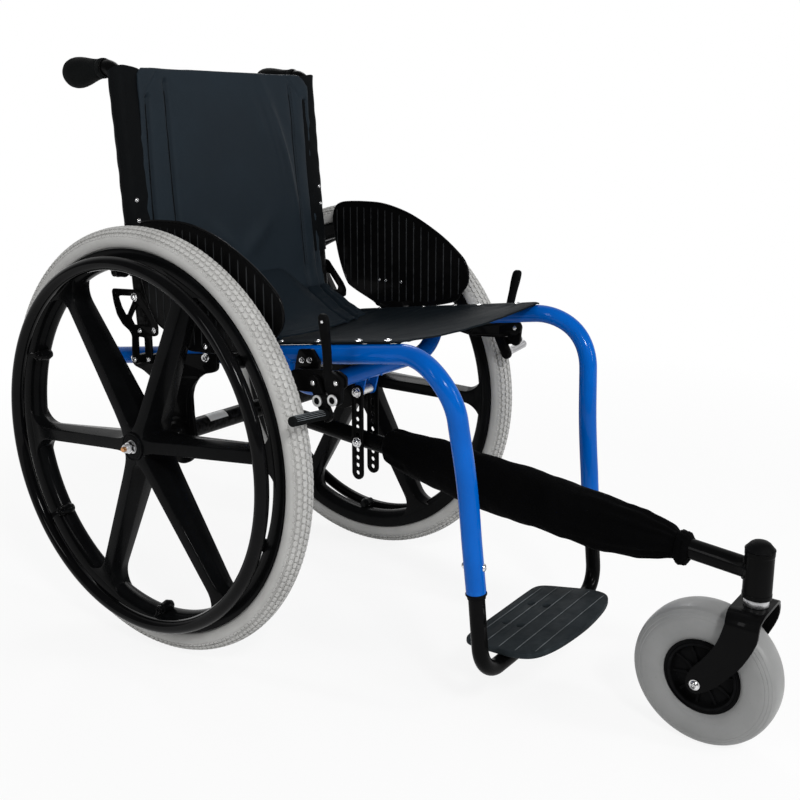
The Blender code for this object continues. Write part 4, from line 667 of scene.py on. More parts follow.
def metal_finish(name, colour, dark, roughness):
    """Plated or bare metal: fine scratches, handled patches and dark corners."""
    kind = Finish(name, roughness, 1.0)
    scratch = kind.noise(900.0, 6.0, 0.7)
    # Darker in corners and hollows, in patches, found from the mesh's pointiness.
    corner_darkening = kind.maths("MULTIPLY", kind.edges(0.485, 0.42), kind.patches(220.0, 4.0, 0.35, 0.6, 0.2, 0.9))
    tone = kind.mixed(kind.patches(55.0, 4.0, 0.35, 0.7, 0.0, 0.35), colour, dark)
    kind.colour(kind.mixed(corner_darkening, tone, tuple(level * 0.35 for level in dark)))
    kind.rough(kind.range(scratch, 0.3, 0.72, roughness * 0.7, roughness * 1.6))
    kind.bump(scratch, 0.00003, 0.4)
    return kind.material


def woven_finish(name, deep, bright, pitch, across, down, gloss):
    """Coated nylon cloth: over-and-under threads painted paler on their tops, slubs, a soft sheen and faint
    rubbed bloom.
    """
    kind = Finish(
        name, 0.62, Sheen_Weight=gloss * 0.3, Sheen_Roughness=0.45, Sheen_Tint=(0.62, 0.72, 0.85, 1.0),
        Specular_IOR_Level=gloss,
    )
    weave = kind.mixed(kind.bands(pitch * 2, across), (0.0, 0.0, 0.0), (1.0, 1.0, 1.0))
    warp = kind.maths("MULTIPLY", kind.bands(pitch, across), weave)
    threads = kind.maths("MAXIMUM", warp, kind.bands(pitch, down))
    slub = kind.noise(300.0, 3.0, 0.6, (1.0, 1.0, 0.2))
    cloud = kind.noise(7.0, 5.0, 0.6)
    bloom = kind.maths(
        "MULTIPLY", kind.range(cloud, 0.38, 0.68, 0.0, 1.0), kind.range(slub, 0.3, 0.7, 0.6, 1.0),
    )
    tone = kind.mixed(bloom, deep, bright)
    # Raised threads are painted paler and the gaps between them darker: painted highlight and shade of the
    # weave.
    kind.colour(kind.mixed(
        kind.maths("MULTIPLY", threads, 0.35), tone, tuple(level * 1.5 for level in bright),
    ))
    kind.rough(kind.range(cloud, 0.3, 0.7, 0.52, 0.7))
    kind.bump(threads, 0.00012, 0.55)
    kind.bump(kind.noise(26.0, 5.0, 0.6), 0.0012, 0.35)
    return kind.material


def knit_finish(name, deep, bright):
    """Soft knitted pile: tight loops with a fuzz that catches light at its edge."""
    kind = Finish(
        name, 0.95, Sheen_Weight=0.008, Sheen_Roughness=0.55, Sheen_Tint=(0.55, 0.55, 0.6, 1.0),
        Specular_IOR_Level=0.03,
    )
    loops = kind.cells(520.0, (1.0, 0.45, 1.0))
    fuzz = kind.noise(1300.0, 4.0, 0.7)
    cloud = kind.noise(18.0, 4.0, 0.6)
    kind.colour(kind.mixed(kind.maths("MULTIPLY", kind.range(cloud, 0.3, 0.7, 0.1, 1.0), fuzz), deep, bright))
    kind.rough(kind.range(fuzz, 0.3, 0.7, 0.85, 1.0))
    kind.bump(loops, 0.0005, 0.7)
    kind.bump(fuzz, 0.0004, 0.6)
    kind.bump(kind.noise(60.0, 5.0, 0.6), 0.0015, 0.4)
    return kind.material


def tyre_finish(name, clean, dusty, ground, roughness=0.72):
    """Grey rubber: cloudy tone, specks, and hollows darkened partly as dust and partly as painted shade."""
    kind = Finish(name, roughness, Specular_IOR_Level=0.35)
    cloud = kind.noise(16.0, 6.0, 0.65)
    tone = kind.mixed(kind.range(cloud, 0.34, 0.68, 0.0, 1.0), clean, dusty)
    # Darker in the hollows: partly dust, partly painted shade in the tread's grooves.
    hollow_dust_and_shade = kind.maths("MULTIPLY", kind.edges(0.49, 0.44), kind.patches(70.0, 5.0, 0.3, 0.7, 0.3, 0.8))
    speck = kind.patches(360.0, 3.0, 0.66, 0.72, 0.0, 0.35)
    kind.colour(kind.mixed(kind.maths("MAXIMUM", hollow_dust_and_shade, speck), tone, ground))
    kind.rough(kind.patches(48.0, 5.0, 0.3, 0.7, roughness * 0.85, min(1.0, roughness * 1.2)))
    kind.bump(kind.noise(800.0, 3.0), 0.00008, 0.5)
    kind.bump(kind.noise(90.0, 4.0), 0.0002, 0.3)
    return kind.material


def paper_finish(name):
    """Bare matt label: nearly white, a little yellowed and creased."""
    kind = Finish(name, 0.5, Specular_IOR_Level=0.4)
    stain = kind.noise(130.0, 5.0, 0.6)
    kind.colour(kind.mixed(kind.range(stain, 0.35, 0.7, 0.0, 1.0), (0.9, 0.9, 0.88), (0.8, 0.8, 0.76)))
    kind.rough(kind.range(stain, 0.3, 0.7, 0.4, 0.6))
    kind.bump(kind.noise(60.0, 4.0), 0.0004, 0.4)
    return kind.material


BLUE = paint_finish(
    "blue_gloss_paint", (0.0, 0.082, 0.385), (0.0, 0.104, 0.475), (0.01, 0.17, 0.6), 0.24, 0.2,
)
BLACK_PAINT = paint_finish(
    "black_satin_paint", (0.002, 0.002, 0.0021), (0.0036, 0.0036, 0.0038), (0.026, 0.026, 0.026), 0.32, 0.05,
)
PLASTIC = moulded_finish("black_moulded_plastic", (0.0026, 0.0026, 0.0028), (0.0048, 0.0049, 0.0052), 0.38)
WHEEL_PLASTIC = moulded_finish(
    "black_wheel_plastic", (0.0024, 0.0025, 0.0027), (0.0045, 0.0048, 0.0052), 0.24, 420.0, 0.00006, 0.03,
)
GUARD_PLASTIC = moulded_finish(
    "black_guard_plastic", (0.0022, 0.0022, 0.0023), (0.0038, 0.0038, 0.004), 0.3, 900.0, 0.00004, 0.03,
)
# Pale plastic on the footplate's ridges and the roller's knurl ridges: painted highlights along the ridges.
RIDGE_HIGHLIGHT_PLASTIC = moulded_finish("ridges_painted_highlight_plastic", (0.06, 0.066, 0.07), (0.11, 0.12, 0.126), 0.45)
# Paler plastic on the side guards' ribs: painted highlights along the ribs.
GUARD_RIB_HIGHLIGHT_PLASTIC = moulded_finish("guard_ribs_painted_highlight", (0.008, 0.009, 0.01), (0.036, 0.038, 0.04), 0.45)
PLATE_PLASTIC = moulded_finish(
    "black_plate_plastic", (0.0145, 0.0185, 0.0212), (0.0245, 0.03, 0.0335), 0.5, 520.0, 0.00012,
)
GLOSS_BLACK = moulded_finish(
    "gloss_black_handrim", (0.002, 0.002, 0.0022), (0.0034, 0.0035, 0.0038), 0.1, 240.0, 0.00001, 0.12,
)
GRIP_RUBBER = moulded_finish(
    "black_grip_rubber", (0.0032, 0.0036, 0.0037), (0.0062, 0.0068, 0.007), 0.62, 620.0, 0.00016,
)
# The back's copy of the black-blue nylon has its own colour; the seat's and the flap's copies are darker:
# painted shade on the same cloth.
BACK_CLOTH = woven_finish(
    "black_blue_nylon_back", (0.008, 0.0128, 0.018), (0.012, 0.019, 0.026), 0.0011, "X", "Z", 0.1,
)
SEAT_NYLON_PAINTED_DARKER = woven_finish(
    "blue_black_seat_nylon_painted_shade", (0.0026, 0.0044, 0.006), (0.0044, 0.007, 0.0094), 0.0011, "X", "Y", 0.03,
)
FLAP_NYLON_PAINTED_DARKER = woven_finish(
    "blue_black_flap_nylon_painted_shade", (0.005, 0.0084, 0.012), (0.0078, 0.0125, 0.0175), 0.0011, "X", "Y", 0.05,
)
# Darkest copy of the nylon: its own colour on the stitch thread; on the cane sleeves and the seam cords its
# darkness is painted shade.
THREAD_AND_SHADE_CLOTH = woven_finish(
    "dark_thread_and_painted_shade_cloth", (0.002, 0.0024, 0.0028), (0.0036, 0.0042, 0.0048), 0.0016, "X", "Z", 0.04,
)
KNIT = knit_finish("black_knit_pile", (0.0008, 0.0008, 0.0009), (0.0022, 0.0022, 0.0024))
TYRE = tyre_finish("pale_grey_tyre", (0.49, 0.488, 0.475), (0.425, 0.422, 0.41), (0.34, 0.336, 0.322))
CASTER_TYRE = tyre_finish(
    "mid_grey_caster_tyre", (0.25, 0.252, 0.25), (0.22, 0.223, 0.221), (0.14, 0.14, 0.135), 0.38,
)
CHROME = metal_finish("bright_plated_steel", (0.78, 0.78, 0.79), (0.6, 0.6, 0.6), 0.16)
STEEL = metal_finish("turned_steel", (0.6, 0.6, 0.61), (0.42, 0.42, 0.42), 0.32)
ALUMINIUM = metal_finish("bright_aluminium", (0.86, 0.86, 0.86), (0.72, 0.72, 0.72), 0.42)
BRASS = metal_finish("copper_coloured_button", (0.62, 0.31, 0.13), (0.45, 0.2, 0.08), 0.28)
PAPER = paper_finish("bare_pale_label")


# Side frames
def side_path(side, rear_y, low_z):
    """Centre line of one side frame, from its rear end over the knee and down the hanger."""
    corner_z = (RAIL_Z + RAIL_SLOPE * HANGER_Y) / (1 - RAIL_SLOPE * HANGER_SLOPE)
    corner = Vector((hanger_y(corner_z), corner_z))
    along_rail = Vector((-1.0, -RAIL_SLOPE)).normalized()
    along_hanger = Vector((-HANGER_SLOPE, -1.0)).normalized()
    turn = acos(along_rail.dot(along_hanger))
    start = corner - along_rail * KNEE_R * tan(turn / 2)
    centre = start + Vector((along_rail.y, -along_rail.x)) * -KNEE_R
    if (centre - corner).length < (start - corner).length:
        centre = start + Vector((along_rail.y, -along_rail.x)) * KNEE_R
    knee_steps = 28
    drop_steps = 30
    points = [(side * RAIL_X, y, rail_z(y)) for y in (rear_y, 0.0, RAIL_FRONT_Y)]
    bend = [tuple(point) for point in swung(centre, start, turn, knee_steps)]
    knee_z = bend[-1][1]
    for step in range(1, drop_steps + 1):
        z = knee_z + (low_z - knee_z) * step / drop_steps
        bend.append((hanger_y(z), z))
    knee_long = KNEE_R * turn
    keys = (
        (0.0, RAIL_X), (knee_long * 0.55, KNEE_X), (knee_long, KNEE_END_X),
        (knee_long + 0.075, hanger_x(knee_z - 0.075)), (knee_long + 0.15, hanger_x(knee_z - 0.15)),
    )
    for index, (y, z) in enumerate(bend):
        along = min(1.0, index / knee_steps) * knee_long + max(0.0, knee_z - z) * (index > knee_steps)
        x = flowing(keys, along) if along < keys[-1][0] else hanger_x(z)
        points.append((side * x, y, z))
    return points


def bead(name, points, radius):
    """Weld bead: a small rope of overlapping drops round a closed line."""
    points = [Vector(point) for point in points]
    rings = []
    for index, point in enumerate(points):
        _, side, up = square_to(points[(index + 1) % len(points)] - points[index - 1])
        here = radius * (1 + 0.25 * sin(index * 2.1))
        rings.append(ring_of(point, side * here, up * here, 8))
    return skin(name, rings, True, False, 60.0, True)


def cross_path():
    """Centre line of the front cross tube, bent down from both rails."""
    bend = rail_z(CROSS_Y) - CROSS_LOW_Z
    quarter = part_circle((bend - RAIL_X, rail_z(CROSS_Y)), bend, pi, 3 * pi / 2, 18)
    points = [(x, CROSS_Y, z) for x, z in quarter]
    return points + [(-x, y, z) for x, y, z in reversed(points)]


PLUG_DEPTH = 0.0035
LUG_IN_X = 0.0123
LUG_OUT_X = 0.0162
LUG_WELD_Z = 0.384
LUG_END_R = 0.0082
STRAP_BOLT_HOLE_R = 0.0033
WELD_R = 0.0017

for hand, side in HANDS:
    frame_tube = pipe("side_tube_" + hand, side_path(side, RAIL_REAR_Y, HANGER_END_Z), TUBE_R, 40)
    put(frame_tube, "frame", BLUE, "blue_frame", "side_frame_" + hand)
    rear = Vector((side * RAIL_X, RAIL_REAR_Y, rail_z(RAIL_REAR_Y)))
    back = Vector((0.0, 1.0, RAIL_SLOPE)).normalized()
    plug = lathe(
        "rail_plug_" + hand,
        [(TUBE_R + 0.0004, -0.001), (TUBE_R + 0.0004, 0.0006)] + dome(TUBE_R, PLUG_DEPTH, 6, 0.0008),
        back, rear, 40,
    )
    put(plug, "frame", PLASTIC, "black_plastic")

cross = pipe("cross_tube", cross_path(), TUBE_R, 40)
lugs = []
for hand, side in HANDS:
    outline = [(-0.215, 0.39), (-0.201, 0.392), (STRAP_Y + LUG_END_R, 0.364)]
    outline += part_circle((STRAP_Y, STRAP_TOP_Z), LUG_END_R, 0.0, -pi, 16)
    lugs.append(plate(
        "lug_" + hand, [outline, round_hole((STRAP_Y, STRAP_TOP_Z), STRAP_BOLT_HOLE_R)], side * LUG_IN_X,
        side * LUG_OUT_X,
    ))
    seam = []
    for turn in turns(40):
        y = CROSS_Y + TUBE_R * 1.01 * sin(turn)
        seam.append((side * (RAIL_X + TUBE_R * 1.01 * cos(turn)), y, rail_z(y) - TUBE_R * abs(sin(turn))))
    lugs.append(bead("cross_weld_" + hand, seam, WELD_R))
    lug_middle = Vector((side * (LUG_IN_X + LUG_OUT_X) / 2, CROSS_Y, LUG_WELD_Z))
    lug_seam = ring_of(lug_middle, Vector((side * 0.003, 0, 0)), Vector((0, 0.0085, 0)), 20)
    lugs.append(bead("lug_weld_" + hand, lug_seam, 0.0013))
cross = joined("cross_tube_with_lugs", cross, *lugs)
put(cross, "frame", BLUE, "blue_frame", "front_cross_tube")

# Straps that carry the boom
STRAP_PITCH = 0.0118
STRAP_IN_X = 0.0165
STRAP_OUT_X = 0.0195
STRAP_HALF_Y = 0.0105
STRAP_HOLE_R = 0.0034
STRAP_SLOT_Z = 0.338
strap_low_z = boom_z(STRAP_Y) - 4 * STRAP_PITCH
for hand, side in HANDS:
    holes = [
        round_hole((STRAP_Y, boom_z(STRAP_Y) + STRAP_PITCH * place), STRAP_HOLE_R) for place in range(-4, 4)
    ]
    holes.append(slot_hole((STRAP_Y, STRAP_SLOT_Z), 0.0028, STRAP_HOLE_R, True))
    holes.append(round_hole((STRAP_Y, STRAP_TOP_Z), STRAP_BOLT_HOLE_R))
    body = slot_hole(
        (STRAP_Y, (STRAP_TOP_Z + strap_low_z) / 2), (STRAP_TOP_Z - strap_low_z) / 2, STRAP_HALF_Y, True, 14,
    )
    strap = plate("boom_strap_" + hand, [body] + holes, side * STRAP_IN_X, side * STRAP_OUT_X, 0.0005)
    put(strap, "frame", BLACK_PAINT, "black_frame", "hanger_strap_" + hand)

for name, node, z in (
    ("strap_bolt_top", "strap_top_bolt", STRAP_TOP_Z),
    ("strap_bolt_low", "strap_lower_bolt", boom_z(STRAP_Y)),
):
    pieces = []
    for hand, side in HANDS:
        outward = Vector((side, 0, 0))
        at = outward * (STRAP_OUT_X + 0.0002) + Vector((0, STRAP_Y, z))
        pieces.append(washer(name + "_washer_" + hand, at, outward, 0.0078, 0.0032, 0.0009))
        pieces.append(hexagon(name + "_hex_" + hand, at + outward * 0.0008, outward, 0.0115, 0.0036))
        pieces.append(lathe(
            name + "_dome_" + hand, [(0.0052, 0.0)] + dome(0.0048, 0.0022, 6, 0.0004), outward,
            at + outward * 0.0038, 24,
        ))
    pieces.append(rod(name + "_shank", (-STRAP_OUT_X, STRAP_Y, z), (STRAP_OUT_X, STRAP_Y, z), 0.0029))
    put(joined(name, *pieces), "frame", CHROME, "chrome", node)

spacer = lathe(
    "lug_spacer",
    [(0.0064, -0.012), (0.0064, 0.012), (STRAP_BOLT_HOLE_R, 0.012), (STRAP_BOLT_HOLE_R, -0.012)],
    (1, 0, 0), (0, STRAP_Y, STRAP_TOP_Z), 32, True,
)
put(spacer, "frame", ALUMINIUM, "chrome", "strap_spacer")

# Axle tube, its bare label and the boom
AXLE_TUBE_R = 0.014
AXLE_TUBE_BORE_R = 0.012
AXLE_TUBE_HALF = 0.1803
axle = lathe(
    "axle_cross_tube",
    [(AXLE_TUBE_R, -AXLE_TUBE_HALF), (AXLE_TUBE_R, AXLE_TUBE_HALF)]
    + [(AXLE_TUBE_BORE_R, AXLE_TUBE_HALF), (AXLE_TUBE_BORE_R, -AXLE_TUBE_HALF)],
    (1, 0, 0), AXLE, 48, True,
)
put(axle, "frame", BLACK_PAINT, "black_frame", "axle_tube")

LABEL_X = (-0.1353, -0.0992)
LABEL_TURN = (radians(28), radians(92))
label_rings = []
for column in range(13):
    x = LABEL_X[0] + (LABEL_X[1] - LABEL_X[0]) * column / 12
    row = []
    for step in range(17):
        angle = LABEL_TURN[0] + (LABEL_TURN[1] - LABEL_TURN[0]) * step / 16
        lift = AXLE_TUBE_R + 0.0002 + 0.00012 * noise.noise((x * 60, angle * 4, 0.0))
        row.append((x, -lift * cos(angle), AXLE_Z + lift * sin(angle)))
    label_rings.append(row)
put(skin("bare_label", label_rings, False, False), "frame", PAPER, "steel")

boom = pipe(
    "boom_bar", resampled([(0, -0.012, boom_z(-0.012)), (0, STEM_Y + 0.01, boom_z(STEM_Y + 0.01))], 0.02),
    BOOM_R, 40,
)


def saddle(name, origin, axis, radius, other_axis, other_radius, size):
    """Weld bead where a tube of this radius meets the side of another through origin."""
    other = Vector(other_axis).normalized()
    side = other.cross(axis).normalized()
    up = axis.cross(side)
    slope = axis - other * axis.dot(other)
    points = []
    for turn in turns(44):
        over = side * cos(turn) * radius
        across = over + up * sin(turn) * radius
        reach = sqrt(max(0.0, other_radius ** 2 - over.length_squared))
        sideways = across - other * across.dot(other) - over
        along = (reach - sideways.dot(slope.normalized())) / slope.length
        points.append(Vector(origin) + across + axis * along)
    return bead(name, points, size)


boom_axis = Vector((0, -1.0, -BOOM_SLOPE)).normalized()
boom_weld = saddle(
    "boom_rear_weld", (0, 0, boom_z(0.0)), boom_axis, BOOM_R, (1, 0, 0), AXLE_TUBE_R, 0.0018,
)
head_weld = saddle(
    "boom_front_weld", (0, STEM_Y, boom_z(STEM_Y)), -boom_axis, BOOM_R, (0, 0, 1), HEAD_R, 0.0019,
)
put(joined("boom_bar_welded", boom, boom_weld, head_weld), "frame", BLACK_PAINT, "black_frame", "boom_tube")

HEAD_RING_R = HEAD_R + 0.0004
HEAD_BORE_R = 0.01
head_outline = [
    (HEAD_BORE_R, HEAD_LOW_Z), (HEAD_RING_R, HEAD_LOW_Z), (HEAD_RING_R, HEAD_LOW_Z + 0.0055),
    (HEAD_R, HEAD_LOW_Z + 0.0062), (HEAD_R, HEAD_TOP_Z - 0.0062), (HEAD_RING_R, HEAD_TOP_Z - 0.0055),
    (HEAD_RING_R, HEAD_TOP_Z), (HEAD_BORE_R, HEAD_TOP_Z),
]
head = lathe("steering_head", rounded(head_outline, 0.0007), (0, 0, 1), (0, STEM_Y, 0), 56)
put(head, "frame", BLACK_PAINT, "black_frame", "head_tube")
cap_outline = rounded([
    (0.0, 0.0003), (HEAD_R + 0.0007, 0.0003), (HEAD_R + 0.0007, 0.0018), (HEAD_R - 0.0006, 0.003),
    (0.012, 0.0082),
], 0.0006)
cap_outline += [(0.0095, 0.01), (0.006, 0.011), (0.003, 0.0114), (0.0, 0.0115)]
cap = lathe("steering_cap", cap_outline, (0, 0, 1), (0, STEM_Y, HEAD_TOP_Z), 56)
put(cap, "frame", PLASTIC, "gloss_black", "head_cap")

# Axle brackets
BRACKET_HALF_Y = 0.037
BRACKET_CENTRE_Z = 0.295
BRACKET_TOP = (
    (-0.031, 0.335), (-0.03, 0.365), (-0.0345, 0.379), (-0.044, 0.392), (-0.058, 0.401), (-0.078, 0.406),
    (-0.085, 0.411), (-0.0862, 0.42), (-0.0862, 0.434), (0.09, 0.4096), (0.097, 0.405), (0.0975, 0.3985),
    (0.092, 0.392), (0.073, 0.388), (0.056, 0.38), (0.044, 0.366), (0.038, 0.35),
)
bracket_outline = part_circle((0.0, BRACKET_CENTRE_Z), BRACKET_HALF_Y, 0.0, -pi, 24)
bracket_outline += BRACKET_TOP
BRACKET_BOLTS = (0.088, 0.052, -0.065)
BRACKET_BOSS = (
    (0.024, 0.1872), (0.0205, 0.1878), (0.0175, 0.189), (0.0142, 0.1925), (0.0125, 0.199), (0.0125, 0.2158),
    (0.0075, 0.216),
)
BRACKET_RIB = (
    (-0.026, 0.318), (-0.026, 0.352), (-0.0305, 0.372), (-0.04, 0.386), (-0.05, 0.393), (-0.046, 0.397),
    (0.052, 0.384), (0.047, 0.374), (0.034, 0.356), (0.027, 0.338), (0.027, 0.318),
)
BRACKET_RIB_INSIDE = (
    (-0.02, 0.324), (-0.02, 0.352), (-0.024, 0.37), (-0.031, 0.382), (0.036, 0.373), (0.028, 0.356),
    (0.021, 0.338), (0.021, 0.324),
)
for hand, side in HANDS:
    outward = Vector((side, 0, 0))
    pieces = [
        plate(
            "bracket_plate_" + hand, [softened(bracket_outline, 0.004)], side * BRACKET_IN_X,
            side * BRACKET_OUT_X, 0.0009,
        ),
        lathe("bracket_boss_" + hand, rounded(BRACKET_BOSS, 0.0008), outward, AXLE, 40),
    ]
    pieces.append(plate(
        "bracket_rib_" + hand, [softened(BRACKET_RIB, 0.004), softened(BRACKET_RIB_INSIDE, 0.004)],
        side * (BRACKET_OUT_X - 0.0012), side * (BRACKET_OUT_X + 0.0012), 0.0005,
    ))
    put(joined("axle_carrier_" + hand, *pieces), "frame", BLACK_PAINT, "black_frame", "axle_bracket_" + hand)
    screws = []
    for y in BRACKET_BOLTS:
        at = Vector((side * (BRACKET_OUT_X + 0.0001), y, rail_z(y) - 0.001))
        screws += screw_and_washer("carrier_screw", at, outward, (0.0064, 0.003, 0.0008), (0.0048, 0.004))
    put(joined("carrier_screws_" + hand, *screws), "frame", CHROME, "chrome")


# Driving wheels
SPOKES = 6
SPOKE_PHASE = {"right": 6.5, "left": 0.0}
HUB_OUT = 0.03
SPOKE_FACE = ((0.019, 0.0085), (0.225, 0.009))
SPOKE_MIDDLE = ((0.019, 0.0112), (0.06, 0.0125), (0.225, 0.0135))
SPOKE_DEPTH = ((0.019, 0.0268), (0.06, 0.024), (0.225, 0.0168), (0.246, 0.0152), (0.264, 0.0146))
SPOKE_STATIONS = [0.019, 0.023, 0.0262, 0.03, 0.0345, 0.04, 0.06, 0.115, 0.17, 0.22]
SPOKE_STATIONS += [0.227 + 0.0026 * step for step in range(13)]
HUB_ROOT_R = 0.0245
HUB_ROOT_REACH = 0.024
RIM_INNER_R = 0.258
RIM_FLARE_REACH = 0.036
EAR_RADIUS = 0.2435
HANDRIM_RING_R = 0.2578
HANDRIM_R = 0.0095
HANDRIM_OUT = 0.037
NUT_WIDE = 0.0156
NUT_THICK = 0.0058
NUT_BORE_R = 0.0066
RIM_HALF_PROFILE = (
    (0.2485, 0.0), (0.2487, 0.004), (0.25, 0.008), (0.2526, 0.0112), (0.2562, 0.0134), (0.2605, 0.0146),
    (0.265, 0.0152), (0.27, 0.0155), (0.2735, 0.0155), (0.275, 0.0151), (0.2755, 0.0143), (0.2755, 0.0126),
    (0.2748, 0.0117), (0.272, 0.0116),
)
EAR_PROFILE = (
    (0.006, -0.004), (0.0092, 0.003), (0.008, 0.008), (0.0075, 0.012), (0.0075, 0.0159), (0.004, 0.0159),
)
HUB_PROFILE = (
    (0.0145, 0.0299), (0.0162, 0.03), (0.0168, 0.0288), (0.0186, 0.0288), (0.019, 0.03), (0.0204, 0.0298),
    (0.0206, 0.024), (0.0236, 0.0222), (0.0265, 0.02), (0.0265, -0.025), (0.025, -0.0262),
    (0.0145, -0.0262),
)
BEARING_PROFILE = (
    (0.0066, -0.0255), (0.0142, -0.0255), (0.0142, 0.0292), (0.0118, 0.0292), (0.0112, 0.0284),
    (0.01, 0.0284), (0.0096, 0.0297), (0.0066, 0.0297),
)
DUST_RING_PROFILE = ((0.0098, 0.0288), (0.0098, 0.0299), (0.0143, 0.0299), (0.0143, 0.0288))


def wheel_place(centre, radius, angle, out):
    return Vector((centre[0] + out, centre[1] - radius * cos(angle), centre[2] + radius * sin(angle)))


def spoke_widths(radius):
    """Half width of the face, half width at the middle and half depth of a spoke at this radius."""
    into_rim = min(1.0, max(0.0, 1 - (RIM_INNER_R - radius) / RIM_FLARE_REACH))
    into_hub = min(1.0, max(0.0, 1 - (radius - HUB_ROOT_R) / HUB_ROOT_REACH))
    flare = 1 - sqrt(1 - into_rim ** 2)
    root = 1 - sqrt(1 - into_hub ** 2)
    face = straight(SPOKE_FACE, radius) + 0.036 * flare + 0.003 * root
    middle = straight(SPOKE_MIDDLE, radius) + 0.044 * flare + 0.006 * root
    return face, middle, straight(SPOKE_DEPTH, radius)


def spoke_section(face, middle, deep):
    """Hexagon with softened corners, as (across, out) pairs."""
    corners = [(face, deep), (middle, 0.0), (face, -deep), (-face, -deep), (-middle, 0.0), (-face, deep)]
    return softened(corners, 0.0018, 3)


def moulded_wheel(hand, side):
    outward = Vector((side, 0, 0))
    centre = (side * WHEEL_X, 0.0, AXLE_Z)
    profile = [(radius, -out) for radius, out in reversed(RIM_HALF_PROFILE[1:])]
    profile += list(RIM_HALF_PROFILE)
    profile += [(0.2705, 0.011), (0.2705, -0.011)]
    pieces = [lathe("rim_" + hand, profile, outward, centre, 180, True, 30.0)]
    for number in range(SPOKES):
        angle = radians(SPOKE_PHASE[hand] + 360 / SPOKES * number)
        along = Vector((0, -cos(angle), sin(angle)))
        across = Vector((0, sin(angle), cos(angle)))
        rings = []
        for radius in SPOKE_STATIONS:
            section = spoke_section(*spoke_widths(radius))
            rings.append([
                Vector(centre) + along * radius + across * over + Vector((out, 0, 0)) for over, out in section
            ])
        pieces.append(skin("spoke", rings, True, True, 28.0))
        ear_at = wheel_place(centre, EAR_RADIUS, angle + pi / SPOKES, 0.0)
        ear = [(0.0, -0.004), *rounded(EAR_PROFILE, 0.0012), (0.0, 0.0159)]
        pieces.append(lathe("ear", ear, outward, ear_at, 28))
    pieces.append(lathe("hub_" + hand, rounded(HUB_PROFILE, 0.0006), outward, centre, 64, False, 30.0))
    wheel = joined("moulded_wheel_" + hand, *pieces)
    put(wheel, hand + "_wheel", WHEEL_PLASTIC, "black_plastic", "wheel_" + hand)

    bearing = lathe("hub_seal_" + hand, rounded(BEARING_PROFILE, 0.0004), outward, centre)
    put(bearing, hand + "_wheel", STEEL, "steel", "hub_bearing_" + hand)
    dust = lathe("hub_dust_ring_" + hand, rounded(DUST_RING_PROFILE, 0.0004), outward, centre)
    put(dust, hand + "_wheel", PLASTIC, "black_plastic")
    return centre


# Tyres
TREAD_HEIGHT = 0.0026
TREAD_REACH = 0.025
BLOCKS_ROUND = 196
BLOCK_GAP = 0.0022
BLOCK_ROWS = ((0.0, 0.0, 0.0072), (0.0076, 0.5, 0.0072), (0.015, 0.0, 0.007), (0.0218, 0.5, 0.0056))
TYRE_SECTION = (
    (0.0, 0.305), (0.003, 0.3048), (0.006, 0.304), (0.009, 0.3026), (0.0118, 0.3006), (0.0142, 0.298),
    (0.016, 0.2948), (0.0172, 0.2912), (0.0178, 0.2874), (0.0176, 0.2838), (0.0166, 0.2804), (0.015, 0.278),
    (0.0136, 0.2768), (0.0118, 0.2763), (0.0112, 0.2745),
)


def tyre_line():
    """Arc length from the crown, half width and radius along one side of the tyre's section."""
    line = [(0.0, *TYRE_SECTION[0])]
    for before, after in zip(TYRE_SECTION, TYRE_SECTION[1:]):
        line.append((line[-1][0] + hypot(after[0] - before[0], after[1] - before[1]), *after))
    return line


TYRE_LINE = tyre_line()


def tyre_point(arc):
    """Half width and radius at an arc length from the crown."""
    return Vector([straight([(key[0], key[place]) for key in TYRE_LINE], arc) for place in (1, 2)])


def tyre_at(arc, lift):
    """The same this far off the surface, the half width's sign taken from the arc."""
    point = tyre_point(abs(arc))
    along = (tyre_point(abs(arc) + 0.0015) - point).normalized()
    half = point.x - along.y * lift
    return (half if arc >= 0 else -half), point.y + along.x * lift


def tyre(hand, side, centre):
    outward = Vector((side, 0, 0))
    arcs = [length for length, _, _ in TYRE_LINE]
    profile = []
    for arc in [-length for length in reversed(arcs[1:])] + arcs:
        sunk = TREAD_HEIGHT * smooth((TREAD_REACH - abs(arc)) / 0.004)
        half, radius = tyre_at(arc, -sunk)
        profile.append((radius, half))
    profile += [(0.2709, 0.0108), (0.2709, -0.0108)]
    body = lathe("tyre_body_" + hand, profile, outward, centre, 200, True, 50.0)
    rows = [
        (sign * arc, shift, wide)
        for arc, shift, wide in BLOCK_ROWS
        for sign in ((1.0,) if arc == 0 else (-1.0, 1.0))
    ]
    points = []
    faces = []
    pitch = 2 * pi / BLOCKS_ROUND
    half_long = (pitch * WHEEL_R - BLOCK_GAP) / 2
    for arc, shift, wide in rows:
        shape = []
        for across, along in (
            (-0.5, -0.66), (-0.26, -1.0), (0.26, -1.0), (0.5, -0.66), (0.5, 0.66), (0.26, 1.0),
            (-0.26, 1.0), (-0.5, 0.66),
        ):
            shape.append((across * (wide - BLOCK_GAP), along * half_long))
        for number in range(BLOCKS_ROUND):
            turn = (number + shift) * pitch
            start = len(points)
            for inset, lift in ((1.1, -TREAD_HEIGHT - 0.0003), (1.0, -0.0005), (0.88, 0.0)):
                for across, along in shape:
                    half, radius = tyre_at(arc + across * inset, lift)
                    points.append(wheel_place(centre, radius, turn + along * inset / WHEEL_R, side * half))
            count = len(shape)
            for level in range(2):
                for place in range(count):
                    after = (place + 1) % count
                    low = start + level * count
                    faces.append((low + place, low + after, low + count + after, low + count + place))
            faces.append(tuple(range(start + 2 * count, start + 3 * count)))
    blocks = mesh_object("tread_" + hand, points, faces, 25.0)
    put(joined("ribbed_tyre_" + hand, body, blocks), hand + "_wheel", TYRE, "tyre_light", "tyre_" + hand)


